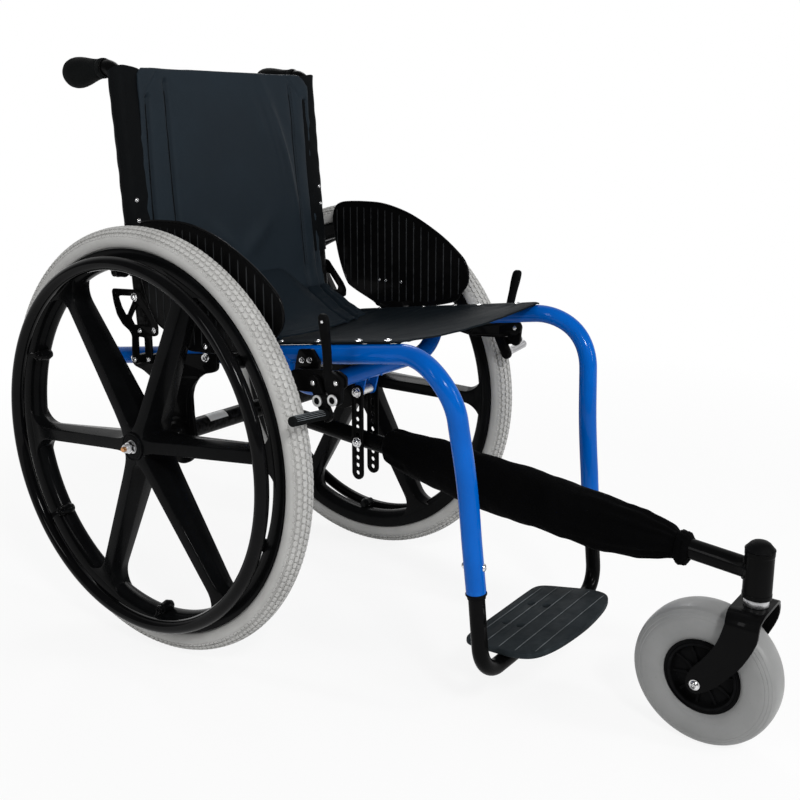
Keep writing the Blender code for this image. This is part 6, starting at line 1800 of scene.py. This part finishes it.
def panel_level(z):
    return min(1.0, max(0.0, (z - PANEL_LOW_Z) / (PANEL_TOP_Z - PANEL_LOW_Z)))


def panel_reach(side, z):
    """How far the padded panel reaches to this side: it hangs a little to the left and narrows upwards."""
    if side > 0:
        width = PANEL_LEFT
    else:
        width = PANEL_RIGHT + PANEL_FLARE * (1 - panel_level(z))
    down = PANEL_TOP_Z - z
    corner = 0.03 if side > 0 else 0.012
    if down < corner:
        width -= corner - sqrt(max(0.0, corner ** 2 - (corner - down) ** 2))
    return width


def panel_x(share, z):
    """Sideways place of a point at this share of the panel's width, from -1 to 1."""
    return share * panel_reach(share, z)


def panel_line(x, z):
    """Y of the panel's middle surface: slack between the canes, its lower end drawn forward onto the seat."""
    reach = PANEL_LEFT if x > 0 else PANEL_RIGHT
    slack = 0.0075 * max(0.0, 1 - (x / reach) ** 2)
    belly = 0.003 * sin(pi * panel_level(z)) ** 2
    tuck = PANEL_TUCK * smooth((PANEL_LOW_Z + 0.048 - z) / 0.05)
    return cane_y(z) + slack + belly - PANEL_FORWARD - tuck


def padded_panel():
    """Quilted slab, which is then blown up by a cloth simulation and sewn down at its seams."""
    columns = 44
    rows = 48
    faces = []
    for face in (-1.0, 1.0):
        points = []
        for row in range(rows + 1):
            z = PANEL_LOW_Z + 0.002 + (PANEL_TOP_Z - PANEL_LOW_Z - 0.004) * row / rows
            for column in range(columns + 1):
                share = sin(pi / 2 * (2 * column / columns - 1))
                x = panel_x(share * 0.992, z)
                rim = (1 - abs(share) ** 10) * (1 - abs(2 * row / rows - 1) ** 16)
                points.append((x, panel_line(x, z) + face * 0.0042 * (0.62 + 0.38 * max(0.0, rim) ** 0.5), z))
        faces.append(points)
    return slab("back_pad_blank", columns + 1, rows + 1, *faces, 80.0)


def blown_up(obj, cap, held):
    """The same piece filled by a short cloth simulation, no point moved further than cap."""
    remesh = obj.modifiers.new("even", "REMESH")
    remesh.mode = "VOXEL"
    remesh.voxel_size = SIM_VOXEL
    baked(obj)
    start = [vertex.co.copy() for vertex in obj.data.vertices]
    cloth = obj.modifiers.new("filling", "CLOTH")
    for key, value in (
        ("quality", 5), ("mass", 0.25), ("tension_stiffness", 15), ("compression_stiffness", 8),
        ("shear_stiffness", 6), ("bending_stiffness", 0.6),
    ):
        setattr(cloth.settings, key, value)
    cloth.settings.use_pressure = True
    cloth.settings.uniform_pressure_force = SIM_PRESSURE
    cloth.settings.effector_weights.gravity = 0.0
    cloth.collision_settings.use_collision = False
    cloth.collision_settings.use_self_collision = False
    group = obj.vertex_groups.new(name="held")
    group.add([vertex.index for vertex in obj.data.vertices if held(vertex.co)], 1.0, "REPLACE")
    cloth.settings.vertex_group_mass = "held"
    cloth.point_cache.frame_start = 1
    cloth.point_cache.frame_end = SIM_FRAMES
    for number in range(1, SIM_FRAMES + 1):
        bpy.context.scene.frame_set(number)
    baked(obj)
    bpy.context.scene.frame_set(1)
    for vertex, place in zip(obj.data.vertices, start):
        moved = vertex.co - place
        if moved.length > cap:
            vertex.co = place + moved * (cap / moved.length)
    return obj


PANEL_FOLDS = (
    (0.082, 0.79, 16, 0.009, 0.15, 0.006), (0.1, 0.745, 12, 0.008, 0.12, 0.005),
    (0.058, 0.765, 22, 0.011, 0.12, 0.0045), (0.06, 0.59, -50, 0.014, 0.07, 0.005),
    (-0.06, 0.59, 50, 0.012, 0.06, 0.0045),
)


def panel_wrinkle(x, z):
    """Slack folds: each runs down from its start, leaning this many degrees to the left side."""
    fold = 0.0
    for start_x, start_z, lean, width, long, deep in PANEL_FOLDS:
        off_x = x - start_x
        off_z = z - start_z
        along = off_x * sin(radians(lean)) - off_z * cos(radians(lean))
        across = off_x * cos(radians(lean)) + off_z * sin(radians(lean))
        fold += deep * lump(across, 0.0, width) * lump(along, long * 0.5, long * 0.6)
    return fold


def evened(obj, passes):
    """The same mesh with the steps of its remesh smoothed out."""
    build = bmesh.new()
    build.from_mesh(obj.data)
    for _ in range(passes):
        bmesh.ops.smooth_vert(
            build, verts=build.verts, factor=0.5, use_axis_x=True, use_axis_y=True, use_axis_z=True,
        )
    build.to_mesh(obj.data)
    build.free()
    return obj


def finer(obj):
    """The same mesh subdivided once."""
    smoother = obj.modifiers.new("fine", "SUBSURF")
    smoother.levels = 1
    smoother.render_levels = 1
    return baked(obj)


def panel_rim(place):
    """Whether a point is on the panel's sewn border, which the filling can't move."""
    return abs(place.x) > panel_reach(place.x, place.z) - 0.005 or place.z > PANEL_TOP_Z - 0.006


pad = evened(blown_up(padded_panel(), 0.007, panel_rim), 4)
for vertex in pad.data.vertices:
    x, y, z = vertex.co
    if y <= panel_line(x, z):
        vertex.co.y -= panel_wrinkle(x, z) - 0.0006 * noise.noise((x * 30, z * 22, 1.0))
finer(pad)
for vertex in pad.data.vertices:
    x, y, z = vertex.co
    front = smooth((panel_line(x, z) + 0.002 - y) / 0.003)
    rear = 1 - smooth((panel_line(x, z) + 0.001 - y) / 0.003)
    for share in SEAM_SHARE:
        seam = panel_x(share, min(z, PANEL_TOP_Z - 0.024))
        top = 0.812 if abs(share) < 0.8 else 0.79
        on = smooth((top - z) / 0.01)
        deep = 0.0036 if share == 0.745 else 0.0052
        groove = deep * lump(x, seam, 0.003) + 0.0016 * lump(x, seam, 0.009)
        vertex.co.y += front * groove * on
        vertex.co.y -= rear * 0.0014 * lump(x, seam, 0.004) * on
    if CORNER_SEAM_Z[0] < z < CORNER_SEAM_Z[1] and abs(x) > CORNER_SEAM_X:
        slant = (abs(x) - 0.155) * 0.75 + (z - 0.797) * 0.66
        vertex.co.y += front * 0.0016 * lump(slant, 0.0, 0.0018)
pad.data.update()
pad.data.materials.clear()
pad.data.materials.append(BACK_CLOTH)

pieces = [pad]
for hand, side in HANDS:
    rings = []
    count = 48
    levels = 110
    for level in range(levels + 1):
        z = SLEEVE_LOW_Z + (SLEEVE_TOP_Z + 0.006 - SLEEVE_LOW_Z) * level / levels
        y = cane_y(z)
        open_end = 0.0006 * (lump(level / levels, 0.0, 0.02) + lump(level / levels, 1.0, 0.015))
        ring = []
        for turn in turns(count):
            out = side * cos(turn)
            ahead = sin(turn)
            tail = max(0.0, -cos(turn))
            wrinkle = 0.0005 * noise.noise((turn * 1.2, z * 26, side)) + 0.0003 * sin(z * 190 + 3 * turn)
            radius = CANE_R + 0.0019 + open_end + wrinkle
            across = radius * out - side * POCKET_REACH * tail ** 3
            along = radius * ahead - 0.007 * tail ** 2
            tip = 0.013 * (0.5 - 0.5 * ahead) * smooth((level / levels - 0.9) / 0.1)
            ring.append((side * CANE_X + across, y + along, z + tip))
        rings.append(ring)
    mouth = CANE_R + 0.0004
    inner = [
        ring_of(
            Vector((side * CANE_X, cane_y(z), z)), Vector((side * mouth, 0, 0)), Vector((0, mouth, 0)), count,
        )
        for z in (rings[0][0][2], rings[-1][0][2])
    ]
    # The cane sleeves are the back's cloth in its darkest copy: painted shade.
    sleeve = skin("cane_cloth_" + hand, [inner[0]] + rings + [inner[1]], True, False, 60.0)
    sleeve.data.materials.append(THREAD_AND_SHADE_CLOTH)
    pieces.append(sleeve)


def front_y(x, z):
    hit, place, _, _ = pad.ray_cast((x, -0.5, z), (0, 1, 0))
    return place.y if hit else panel_line(x, z) - 0.006


def stitches(name, path, long, gap, radius):
    """Row of sewn stitches along a line of points, each a small thread bump."""
    threads = []
    path = resampled(path, (long + gap) / 4)
    index = 0
    while index + 3 < len(path):
        threads.append(pipe(
            name, path[index:index + 4], lambda share: radius * sqrt(max(0.05, 1 - (2 * share - 1) ** 4)), 6,
        ))
        index += 5
    return threads


bpy.context.view_layer.update()
threads = []
for share in SEAM_SHARE:
    top = 0.806 if abs(share) < 0.8 else 0.786
    shift = 0.0034 if share > 0 else -0.0034
    line = []
    for step in range(41):
        z = STITCH_LOW_Z + (top - STITCH_LOW_Z) * step / 40
        x = panel_x(share, z) + shift
        line.append((x, front_y(x, z) - 0.0001, z))
    threads += stitches("stitch", line, 0.003, 0.0016, 0.00035)
    # A thin cord of the darkest cloth laid in each seam's groove: a painted shadow along the seam.
    fold = [(x - shift, front_y(x - shift, z) - 0.0002, z) for x, _, z in line if z < top - 0.012]
    threads.append(pipe("painted_seam_shadow_cord", fold, 0.00095, 8))
put(joined("back_stitches_and_seam_shadows", *threads), "folding_back", THREAD_AND_SHADE_CLOTH, "upholstery")

back_pad = joined("padded_back", *pieces)
smoothed(back_pad.data)
put(back_pad, "folding_back", None, "upholstery", "back_upholstery")

pieces = []
for z in CANE_SCREWS_Z:
    for hand, side in HANDS:
        at = Vector((side * CANE_X, cane_y(z) - CANE_R - 0.0021, z))
        pieces.append(washer("cane_washer", at + Vector((0, 0.0004, 0)), (0, -1, 0), 0.003, 0.0014, 0.0004))
        pieces.append(domed_screw("cane_screw", at, (0, -1, 0), 0.0023, 0.0014))
put(joined("cane_screws", *pieces), "folding_back", CHROME, "chrome")


# Wheel locks
LOCK_A = (-0.329, 0.4361)
LOCK_B = (-0.3272, 0.4153)
LOCK_C = (-0.2919, 0.4311)
LOCK_D = (-0.3026, 0.4108)
LOCK_BAR = (-0.3116, 0.3919)
LOCK_PLATE_IN_X = 0.2085
LOCK_PLATE_OUT_X = 0.212
LOCK_LAYER_IN_X = 0.2123
LOCK_LAYER_OUT_X = 0.2181
LOCK_LINK_IN_X = 0.2184
LOCK_LINK_OUT_X = 0.2229
LOCK_PIN_R = 0.0035
LOCK_LONG_PIN = (LOCK_LAYER_IN_X + 0.001, LOCK_LINK_OUT_X + 0.0003, 0.0046, 0.0017)
LOCK_EYE_R = 0.0085
LOCK_BAR_R = 0.0065
LOCK_BAR_END_X = {-1.0: 0.281, 1.0: 0.268}
LOCK_BAR_LIFT = (0.002, 0.007)
LOCK_CLAMP = (
    (-0.233, 0.443), (-0.2385, 0.4611), (-0.262, 0.4642), (-0.274, 0.449), (-0.271, 0.436), (-0.262, 0.425),
    (-0.23, 0.43),
)
LOCK_CLAMP_HEADS = ((-0.2455, 0.4478), (-0.2585, 0.4495))
LOCK_MOUNT = (
    (-0.2475, 0.4385), (-0.2475, 0.4175), (-0.254, 0.414), (-0.29, 0.4165), (-0.312, 0.4205),
    (-0.33, 0.424), (-0.34, 0.432), (-0.34, 0.444), (-0.328, 0.45), (-0.29, 0.447), (-0.254, 0.4415),
)
LOCK_BRIDGE_X = (0.1855, 0.211)
LOCK_BRIDGE_NEAR = ((-0.2335, 0.425), (-0.261, 0.4205), (-0.266, 0.434), (-0.237, 0.438))
LOCK_BRIDGE_FAR = ((-0.2815, 0.4245), (-0.305, 0.4215), (-0.305, 0.44), (-0.2815, 0.442))
LOCK_STUD = (0.2317, -0.3189, 0.5135)
LOCK_HANDLE = (
    (0.44, 0.2153, -0.312, 0.0027, 0.006), (0.45, 0.2154, -0.313, 0.003, 0.0064),
    (0.462, 0.2166, -0.314, 0.0033, 0.0066), (0.476, 0.219, -0.3152, 0.0035, 0.0067),
    (0.492, 0.2228, -0.3168, 0.0037, 0.0069), (0.504, 0.2256, -0.318, 0.0041, 0.0077),
    (0.513, 0.2277, -0.3189, 0.0042, 0.0078), (0.5185, 0.229, -0.3194, 0.004, 0.0074),
    (0.5215, 0.2296, -0.3197, 0.0032, 0.006), (0.523, 0.2299, -0.3198, 0.0018, 0.0036),
)


def link_outline(first, last, radius):
    lean = atan2(last[1] - first[1], last[0] - first[0])
    ends = part_circle(first, radius, lean + pi / 2, lean + 3 * pi / 2)
    return ends + part_circle(last, radius, lean - pi / 2, lean + pi / 2)


def pin_ring(name, side, centre):
    """Bright ring on the outer end of a pin that carries the link."""
    return washer(name, (side * (LOCK_LINK_OUT_X + 0.0002), *centre), (side, 0, 0), 0.0074, 0.0044, 0.0021)


def lock_pin(name, side, centre, start, face, head=0.0055, tall=0.0018):
    """Plain pin with a low round head on this face."""
    profile = [(0.0, start), (LOCK_PIN_R, start)]
    profile += rounded([(LOCK_PIN_R, face), (head, face), (head, face + tall), (0.0, face + tall)], 0.0006)
    return lathe(name, profile, (side, 0, 0), (0, *centre), 32)


for hand, side in HANDS:
    outward = Vector((side, 0, 0))
    pieces = [
        plate(
            "lock_face_" + hand, [softened(LOCK_MOUNT, 0.003)], side * LOCK_PLATE_IN_X,
            side * LOCK_PLATE_OUT_X, 0.0007,
        ),
        plate(
            "lock_clamp_" + hand, [softened(LOCK_CLAMP, 0.0035)], side * BRACKET_IN_X,
            side * (BRACKET_IN_X + 0.0055), 0.0011,
        ),
    ]
    rings = []
    for share in (0.0, 0.08, 0.5, 0.92, 1.0):
        swell = 0.0006 if 0 < share < 1 else 0.0
        x = side * (LOCK_BRIDGE_X[0] + (LOCK_BRIDGE_X[1] - LOCK_BRIDGE_X[0]) * share)
        near = softened(LOCK_BRIDGE_NEAR, 0.003, 4)
        far = softened(LOCK_BRIDGE_FAR, 0.003, 4)
        middle = [(a[0] + (b[0] - a[0]) * share, a[1] + (b[1] - a[1]) * share) for a, b in zip(near, far)]
        centre = (sum(p[0] for p in middle) / len(middle), sum(p[1] for p in middle) / len(middle))
        rings.append([
            (x, y + (y - centre[0]) * swell / 0.014, z + (z - centre[1]) * swell / 0.01) for y, z in middle
        ])
    pieces.append(skin("lock_bridge_" + hand, rings, True, True, 35.0))
    for letter, centre in (("a", LOCK_A), ("c", LOCK_C)):
        pieces.append(lock_pin("lock_stub_" + letter, side, centre, LOCK_PLATE_IN_X + 0.001, LOCK_LINK_IN_X))
    put(joined("lock_body_" + hand, *pieces), "frame", BLACK_PAINT, "black_frame", "lock_mount_" + hand)
    heads = []
    for y, z in LOCK_CLAMP_HEADS:
        at = Vector((side * (BRACKET_IN_X + 0.0056), y, z))
        heads += screw_and_washer("clamp_screw", at, outward, (0.0039, 0.002, 0.0005), (0.0031, 0.0028))
    for centre in (LOCK_A, LOCK_C):
        heads.append(domed_screw(
            "stub_cap", Vector((side * (LOCK_LINK_IN_X + 0.0016), *centre)), outward, 0.0034, 0.0011,
        ))
        heads.append(domed_screw(
            "stub_end", Vector((side * LOCK_PLATE_IN_X, *centre)), -outward, 0.0034, 0.0012,
        ))
    put(joined("lock_screws_" + hand, *heads), "frame", CHROME, "chrome")

    lever_outline = part_circle(LOCK_B, LOCK_EYE_R, radians(190), radians(350))
    lever_outline += [(-0.31, 0.426), (-0.307, 0.45), (-0.3195, 0.45), (-0.333, 0.444)]
    lever_outline += part_circle(LOCK_A, LOCK_EYE_R + 0.0005, radians(130), radians(200), 8)
    pieces = [plate(
        "lever_plate_" + hand, [lever_outline, round_hole(LOCK_A, LOCK_PIN_R + 0.0003)],
        side * LOCK_LAYER_IN_X, side * LOCK_LAYER_OUT_X, 0.0009,
    )]
    rings = []
    for z, x, y, half_x, half_y in LOCK_HANDLE:
        rings.append([
            (side * (x + half_x * cos(turn) * abs(cos(turn)) ** -0.35), y + half_y * sin(turn), z)
            for turn in [2 * pi * (step + 0.5) / 28 for step in range(28)]
        ])
    pieces.append(skin("lever_handle_" + hand, rings, True, True, 50.0))
    pieces.append(lock_pin("lever_pin_" + hand, side, LOCK_B, *LOCK_LONG_PIN))
    lever = joined("lock_handle_" + hand, *pieces)
    put(lever, hand + "_lock_lever", PLASTIC, "black_plastic", "lock_lever_" + hand)
    put(pin_ring("lever_ring_" + hand, side, LOCK_B), hand + "_lock_lever", ALUMINIUM, "chrome")
    stud = domed_screw(
        "handle_stud_" + hand, Vector((side * LOCK_STUD[0], *LOCK_STUD[1:])), outward, 0.0022, 0.001,
    )
    put(stud, hand + "_lock_lever", CHROME, "chrome")

    arm = plate(
        "arm_plate_" + hand,
        [link_outline(LOCK_BAR, LOCK_C, LOCK_EYE_R), round_hole(LOCK_C, LOCK_PIN_R + 0.0003)],
        side * LOCK_LAYER_IN_X, side * LOCK_LAYER_OUT_X, 0.0009,
    )
    arm_pin = lock_pin("arm_pin_" + hand, side, LOCK_D, *LOCK_LONG_PIN)
    arm = joined("lock_swing_" + hand, arm, arm_pin)
    put(arm, hand + "_lock_arm", BLACK_PAINT, "black_frame", "lock_arm_" + hand)
    put(pin_ring("arm_ring_" + hand, side, LOCK_D), hand + "_lock_arm", ALUMINIUM, "chrome")

    bar_end = LOCK_BAR_END_X[side]

    def bar_z(x):
        return LOCK_BAR[1] + straight(((LOCK_LAYER_OUT_X, LOCK_BAR_LIFT[0]), (bar_end, LOCK_BAR_LIFT[1])), x)

    knurl_start = LOCK_LAYER_OUT_X + 0.006
    rings = []
    stations = [LOCK_LAYER_OUT_X - 0.003, LOCK_LAYER_OUT_X + 0.003, knurl_start]
    knurls = 34
    stations += [
        knurl_start + (bar_end - 0.0035 - knurl_start) * step / knurls for step in range(1, knurls + 1)
    ]
    stations += [bar_end - 0.0015, bar_end - 0.0004, bar_end]
    for number, x in enumerate(stations):
        ring = []
        for turn in turns(48):
            cut = 0.0
            if knurl_start < x < bar_end - 0.003:
                cut = 0.0009 * (0.5 + 0.5 * cos(18 * turn)) * (0.7 + 0.3 * (number % 2))
            end = {0: 0.0, 1: 0.0005, 2: 0.0015}.get(len(stations) - 1 - number)
            radius = LOCK_BAR_R - cut
            if end is not None:
                radius = LOCK_BAR_R - 0.0016 * (1 - sqrt(max(0.0, 1 - (1 - end / 0.0016) ** 2)))
            ring.append((side * x, LOCK_BAR[0] + radius * cos(turn), bar_z(x) + radius * sin(turn)))
        rings.append(ring)
    bar = skin("lock_roller_" + hand, rings, True, True, 40.0)
    if side < 0:
        # The near roller's knurl ridges are painted pale: painted highlights.
        ridges = []
        for number in range(9):
            turn = pi / 18 + 2 * pi * number / 18
            across = Vector((0.0, cos(turn), sin(turn))) * LOCK_BAR_R
            line = [
                Vector((side * x, LOCK_BAR[0], bar_z(x))) + across
                for x in (knurl_start + 0.002, (knurl_start + bar_end) / 2, bar_end - 0.004)
            ]
            ridges.append(pipe("roller_ridge", line, 0.00042, 6))
        put(bar, hand + "_lock_arm", GRIP_RUBBER, "grip_rubber")
        put(joined("roller_ridges_" + hand, *ridges), hand + "_lock_arm", RIDGE_HIGHLIGHT_PLASTIC, "grip_rubber")
    else:
        put(bar, hand + "_lock_arm", STEEL, "steel")

    link = plate(
        "link_plate_" + hand,
        [
            link_outline(LOCK_D, LOCK_B, 0.0062), round_hole(LOCK_B, LOCK_PIN_R + 0.0003),
            slot_hole(LOCK_D, 0.0008, LOCK_PIN_R + 0.0007, False),
        ],
        side * LOCK_LINK_IN_X, side * LOCK_LINK_OUT_X, 0.0007,
    )
    put(link, hand + "_lock_link", BLACK_PAINT, "black_frame", "lock_link_" + hand)

# Boom sleeve
SLEEVE_STATIONS = (
    (-0.243, 0.311, 0.26, 0.027), (-0.252, 0.315, 0.254, 0.031), (-0.285, 0.313, 0.244, 0.0335),
    (-0.31, 0.311, 0.238, 0.035), (-0.3345, 0.3125, 0.231, 0.0365), (-0.3675, 0.31, 0.227, 0.037),
    (-0.4, 0.308, 0.221, 0.038), (-0.4325, 0.304, 0.219, 0.0375), (-0.465, 0.3015, 0.215, 0.0385),
    (-0.498, 0.2965, 0.215, 0.0375), (-0.527, 0.2945, 0.2125, 0.038), (-0.555, 0.2905, 0.211, 0.037),
    (-0.583, 0.2885, 0.208, 0.0365), (-0.612, 0.283, 0.209, 0.035), (-0.636, 0.28, 0.209, 0.0325),
    (-0.656, 0.2735, 0.213, 0.029), (-0.672, 0.269, 0.218, 0.025), (-0.684, 0.264, 0.222, 0.0215),
    (-0.692, 0.261, 0.22, 0.0205), (-0.7, 0.26, 0.221, 0.019), (-0.703, 0.257, 0.226, 0.0165),
)
SLEEVE_REAR_Y = SLEEVE_STATIONS[0][0]
SLEEVE_FRONT_Y = SLEEVE_STATIONS[-1][0]
SLEEVE_CUFF_Y = -0.688
CUFF_Y = -0.689
CUFF_LONG = 0.015


def sleeve_size(y):
    keys = SLEEVE_STATIONS[::-1]
    top, low, half = (straight([(key[0], key[place]) for key in keys], y) for place in (1, 2, 3))
    return (top + low) / 2, (top - low) / 2, half


def sleeve_blank(shrink):
    rings = []
    count = 90
    for row in range(count + 1):
        y = SLEEVE_REAR_Y + (SLEEVE_FRONT_Y - SLEEVE_REAR_Y) * row / count
        centre, high, half = sleeve_size(y)
        end = min(1.0, 0.55 + 0.45 * sqrt((count - row) / 3), 0.82 + 0.18 * sqrt(row / 3))
        rings.append(ring_of(
            Vector((0, y, centre)), Vector((0, 0, (high - shrink) * end)),
            Vector(((half - shrink) * end, 0, 0)), 40,
        ))
    return skin("boom_pad_blank", rings, True, True, 80.0)


def sleeve_fold(place):
    """Gathers and slack folds of the knitted cover, deeper towards its tied front end."""
    x, y, z = place
    centre, high, half = sleeve_size(y)
    turn = atan2(x / max(half, 0.001), (z - centre) / max(high, 0.001))
    front = smooth((-0.52 - y) / 0.15)
    rear = smooth((y + 0.31) / 0.045)
    slack = 0.0022 * noise.noise((turn * 0.9 + y * 14, y * 26, 0.3))
    slack += 0.001 * noise.noise((turn * 2.3 - y * 22, y * 60, 5.0))
    drape = 0.0008 * sin(3 * turn + 38 * y)
    gather = 0.0014 * front * sin(13 * turn + 30 * y) + 0.001 * rear * sin(11 * turn)
    return slack + drape + gather


sleeve = blown_up(
    sleeve_blank(0.0035), 0.005,
    lambda place: place.y > SLEEVE_REAR_Y - 0.006 or place.y < SLEEVE_CUFF_Y,
)
finer(sleeve)
for vertex in sleeve.data.vertices:
    x, y, z = vertex.co
    centre, high, half = sleeve_size(y)
    out = Vector((x, 0.0, z - centre))
    if out.length > 1e-6:
        inside = smooth((SLEEVE_REAR_Y - y) / 0.01) * smooth((y - SLEEVE_CUFF_Y) / 0.01)
        vertex.co += out.normalized() * sleeve_fold(vertex.co) * inside
sleeve_bore = rod(
    "sleeve_bore", (0, SLEEVE_REAR_Y + 0.02, boom_z(SLEEVE_REAR_Y + 0.02)),
    (0, SLEEVE_FRONT_Y - 0.02, boom_z(SLEEVE_FRONT_Y - 0.02)), BOOM_R + 0.0004, 32,
)
cut_by(sleeve, sleeve_bore)
smoothed(sleeve.data)
cuff_rings = []
for row in range(19):
    share = row / 18
    y = CUFF_Y - CUFF_LONG * share
    centre, high, half = sleeve_size(y)
    swell = 0.0022 * sin(pi * share) ** 0.6 - 0.001 * lump(share, 0.48, 0.1)
    ring = []
    for turn in turns(56):
        ruffle = 0.0005 * sin(17 * turn + 4 * share) + 0.0004 * noise.noise((turn * 3, share * 5, 9.0))
        ring.append((
            (half + swell + ruffle - 0.0008) * sin(turn), y,
            centre + (high + swell + ruffle - 0.0008) * cos(turn),
        ))
    cuff_rings.append(ring)
mouth = BOOM_R + 0.0006
inner = [
    ring_of(Vector((0, y, boom_z(y))), Vector((0, 0, mouth)), Vector((mouth, 0, 0)), 56)
    for y in (cuff_rings[0][0][1], cuff_rings[-1][0][1])
]
cuff = skin("sleeve_cuff", [inner[0]] + cuff_rings + [inner[1]], True, False, 70.0)
knit_cover = joined("boom_cover", sleeve, cuff)
put(knit_cover, "frame", KNIT, "knit", "boom_sleeve")


# Studio
CAMERA_PLACE = (-1.141, -0.8543, 0.7485)
CAMERA_TURN = (pi / 2 - 0.216, 0.0, -0.9303)
CAMERA_LENS = 46.03
CAMERA_SHIFT_Y = -0.068
FLOOR_SIDE = 40.0
FLOOR_COLOUR = 0.88
SHADOW_SHARE = 0.13
SHADOW_REACH = (1.0, 2.0)
BACKDROP_WAY = (0.8, 0.6, 0.0)
BACKDROP_EDGE = (0.15, 0.55)
SURROUND_LIGHT = 0.45
ROOM_LIGHT = 0.16

floor_mesh = bpy.data.meshes.new("studio_floor")
floor_mesh.from_pydata(
    [(x * FLOOR_SIDE, y * FLOOR_SIDE, 0) for x, y in ((-1, -1), (1, -1), (1, 1), (-1, 1))], [],
    [(0, 1, 2, 3)],
)
floor = linked("studio_floor", floor_mesh)


def ray_share(tree, *kinds):
    """1 for the rays that see the white background, as the camera, metal and glass do."""
    rays = tree.nodes.new("ShaderNodeLightPath")
    total = rays.outputs[kinds[0]]
    for kind in kinds[1:]:
        either = tree.nodes.new("ShaderNodeMath")
        either.operation = "MAXIMUM"
        tree.links.new(total, either.inputs[0])
        tree.links.new(rays.outputs[kind], either.inputs[1])
        total = either.outputs[0]
    return total


floor_finish = Finish("studio_white", 0.95, Specular_IOR_Level=0.0)
pale = (FLOOR_COLOUR,) * 3
paler = (FLOOR_COLOUR * 1.01,) * 3
floor_finish.colour(floor_finish.mixed(floor_finish.patches(3.0, 4.0, 0.3, 0.7, 0.0, 1.0), pale, paler))
tree = floor_finish.tree
away = floor_finish.node(
    "ShaderNodeVectorMath", {0: floor_finish.coords}, operation="LENGTH",
).outputs["Value"]
lit = floor_finish.range(away, *SHADOW_REACH, 1 - SHADOW_SHARE, 1.0)
seen = floor_finish.maths(
    "MULTIPLY", lit, ray_share(tree, "Is Camera Ray", "Is Glossy Ray", "Is Transmission Ray"),
)
glow = floor_finish.node("ShaderNodeEmission", {"Color": (1.0, 1.0, 1.0, 1.0), "Strength": 1.0})
blend = floor_finish.node("ShaderNodeMixShader", {"Fac": seen})
tree.links.new(floor_finish.shader.outputs[0], blend.inputs[1])
tree.links.new(glow.outputs[0], blend.inputs[2])
tree.links.new(blend.outputs[0], tree.nodes["Material Output"].inputs["Surface"])
floor_mesh.materials.append(floor_finish.material)


def lamp(name, place, aim, size, power):
    light = bpy.data.lights.new(name, "AREA")
    light.shape = "RECTANGLE"
    light.size, light.size_y = size
    light.energy = power
    obj = linked(name, light)
    obj.location = place
    obj.rotation_euler = (Vector(aim) - Vector(place)).to_track_quat("-Z", "Y").to_euler()


lamp("key_panel", (-1.5, -2.1, 2.3), (0, 0, 0.4), (0.5, 0.45), 40.0)
lamp("side_strip", (-2.3, 0.2, 1.4), (0, 0.1, 0.4), (0.3, 1.0), 7.0)
lamp("front_strip", (0.4, -2.6, 1.5), (0, -0.1, 0.4), (0.2, 1.2), 22.0)
lamp("rear_panel", (1.8, 1.8, 2.2), (0, 0.2, 0.4), (1.2, 0.9), 20.0)

world = bpy.data.worlds.new("studio_world")
world.use_nodes = True
bpy.context.scene.world = world
tree = world.node_tree


def background(strength):
    node = tree.nodes.new("ShaderNodeBackground")
    node.inputs["Color"].default_value = (1.0, 1.0, 1.0, 1.0)
    node.inputs["Strength"].default_value = strength
    return node.outputs[0]


def either_of(share, first, second):
    node = tree.nodes.new("ShaderNodeMixShader")
    tree.links.new(share, node.inputs["Fac"])
    tree.links.new(first, node.inputs[1])
    tree.links.new(second, node.inputs[2])
    return node.outputs[0]


way = tree.nodes.new("ShaderNodeVectorMath")
way.operation = "DOT_PRODUCT"
tree.links.new(tree.nodes.new("ShaderNodeTexCoord").outputs["Generated"], way.inputs[0])
way.inputs[1].default_value = BACKDROP_WAY
behind = tree.nodes.new("ShaderNodeMapRange")
behind.interpolation_type = "SMOOTHSTEP"
tree.links.new(way.outputs["Value"], behind.inputs["Value"])
for key, value in zip(("From Min", "From Max"), BACKDROP_EDGE):
    behind.inputs[key].default_value = value
reflected = either_of(behind.outputs["Result"], background(ROOM_LIGHT), background(1.0))
shown_world = either_of(
    ray_share(tree, "Is Glossy Ray", "Is Transmission Ray"), background(SURROUND_LIGHT), reflected,
)
shown_world = either_of(ray_share(tree, "Is Camera Ray"), shown_world, background(1.0))
tree.links.new(shown_world, tree.nodes["World Output"].inputs["Surface"])

camera_data = bpy.data.cameras.new("photo_camera")
camera_data.lens = CAMERA_LENS
camera_data.shift_y = CAMERA_SHIFT_Y
camera_data.clip_end = 100.0
camera = linked("photo_camera", camera_data)
camera.location = CAMERA_PLACE
camera.rotation_euler = CAMERA_TURN
bpy.context.scene.camera = camera
bpy.context.scene.view_settings.view_transform = "Standard"
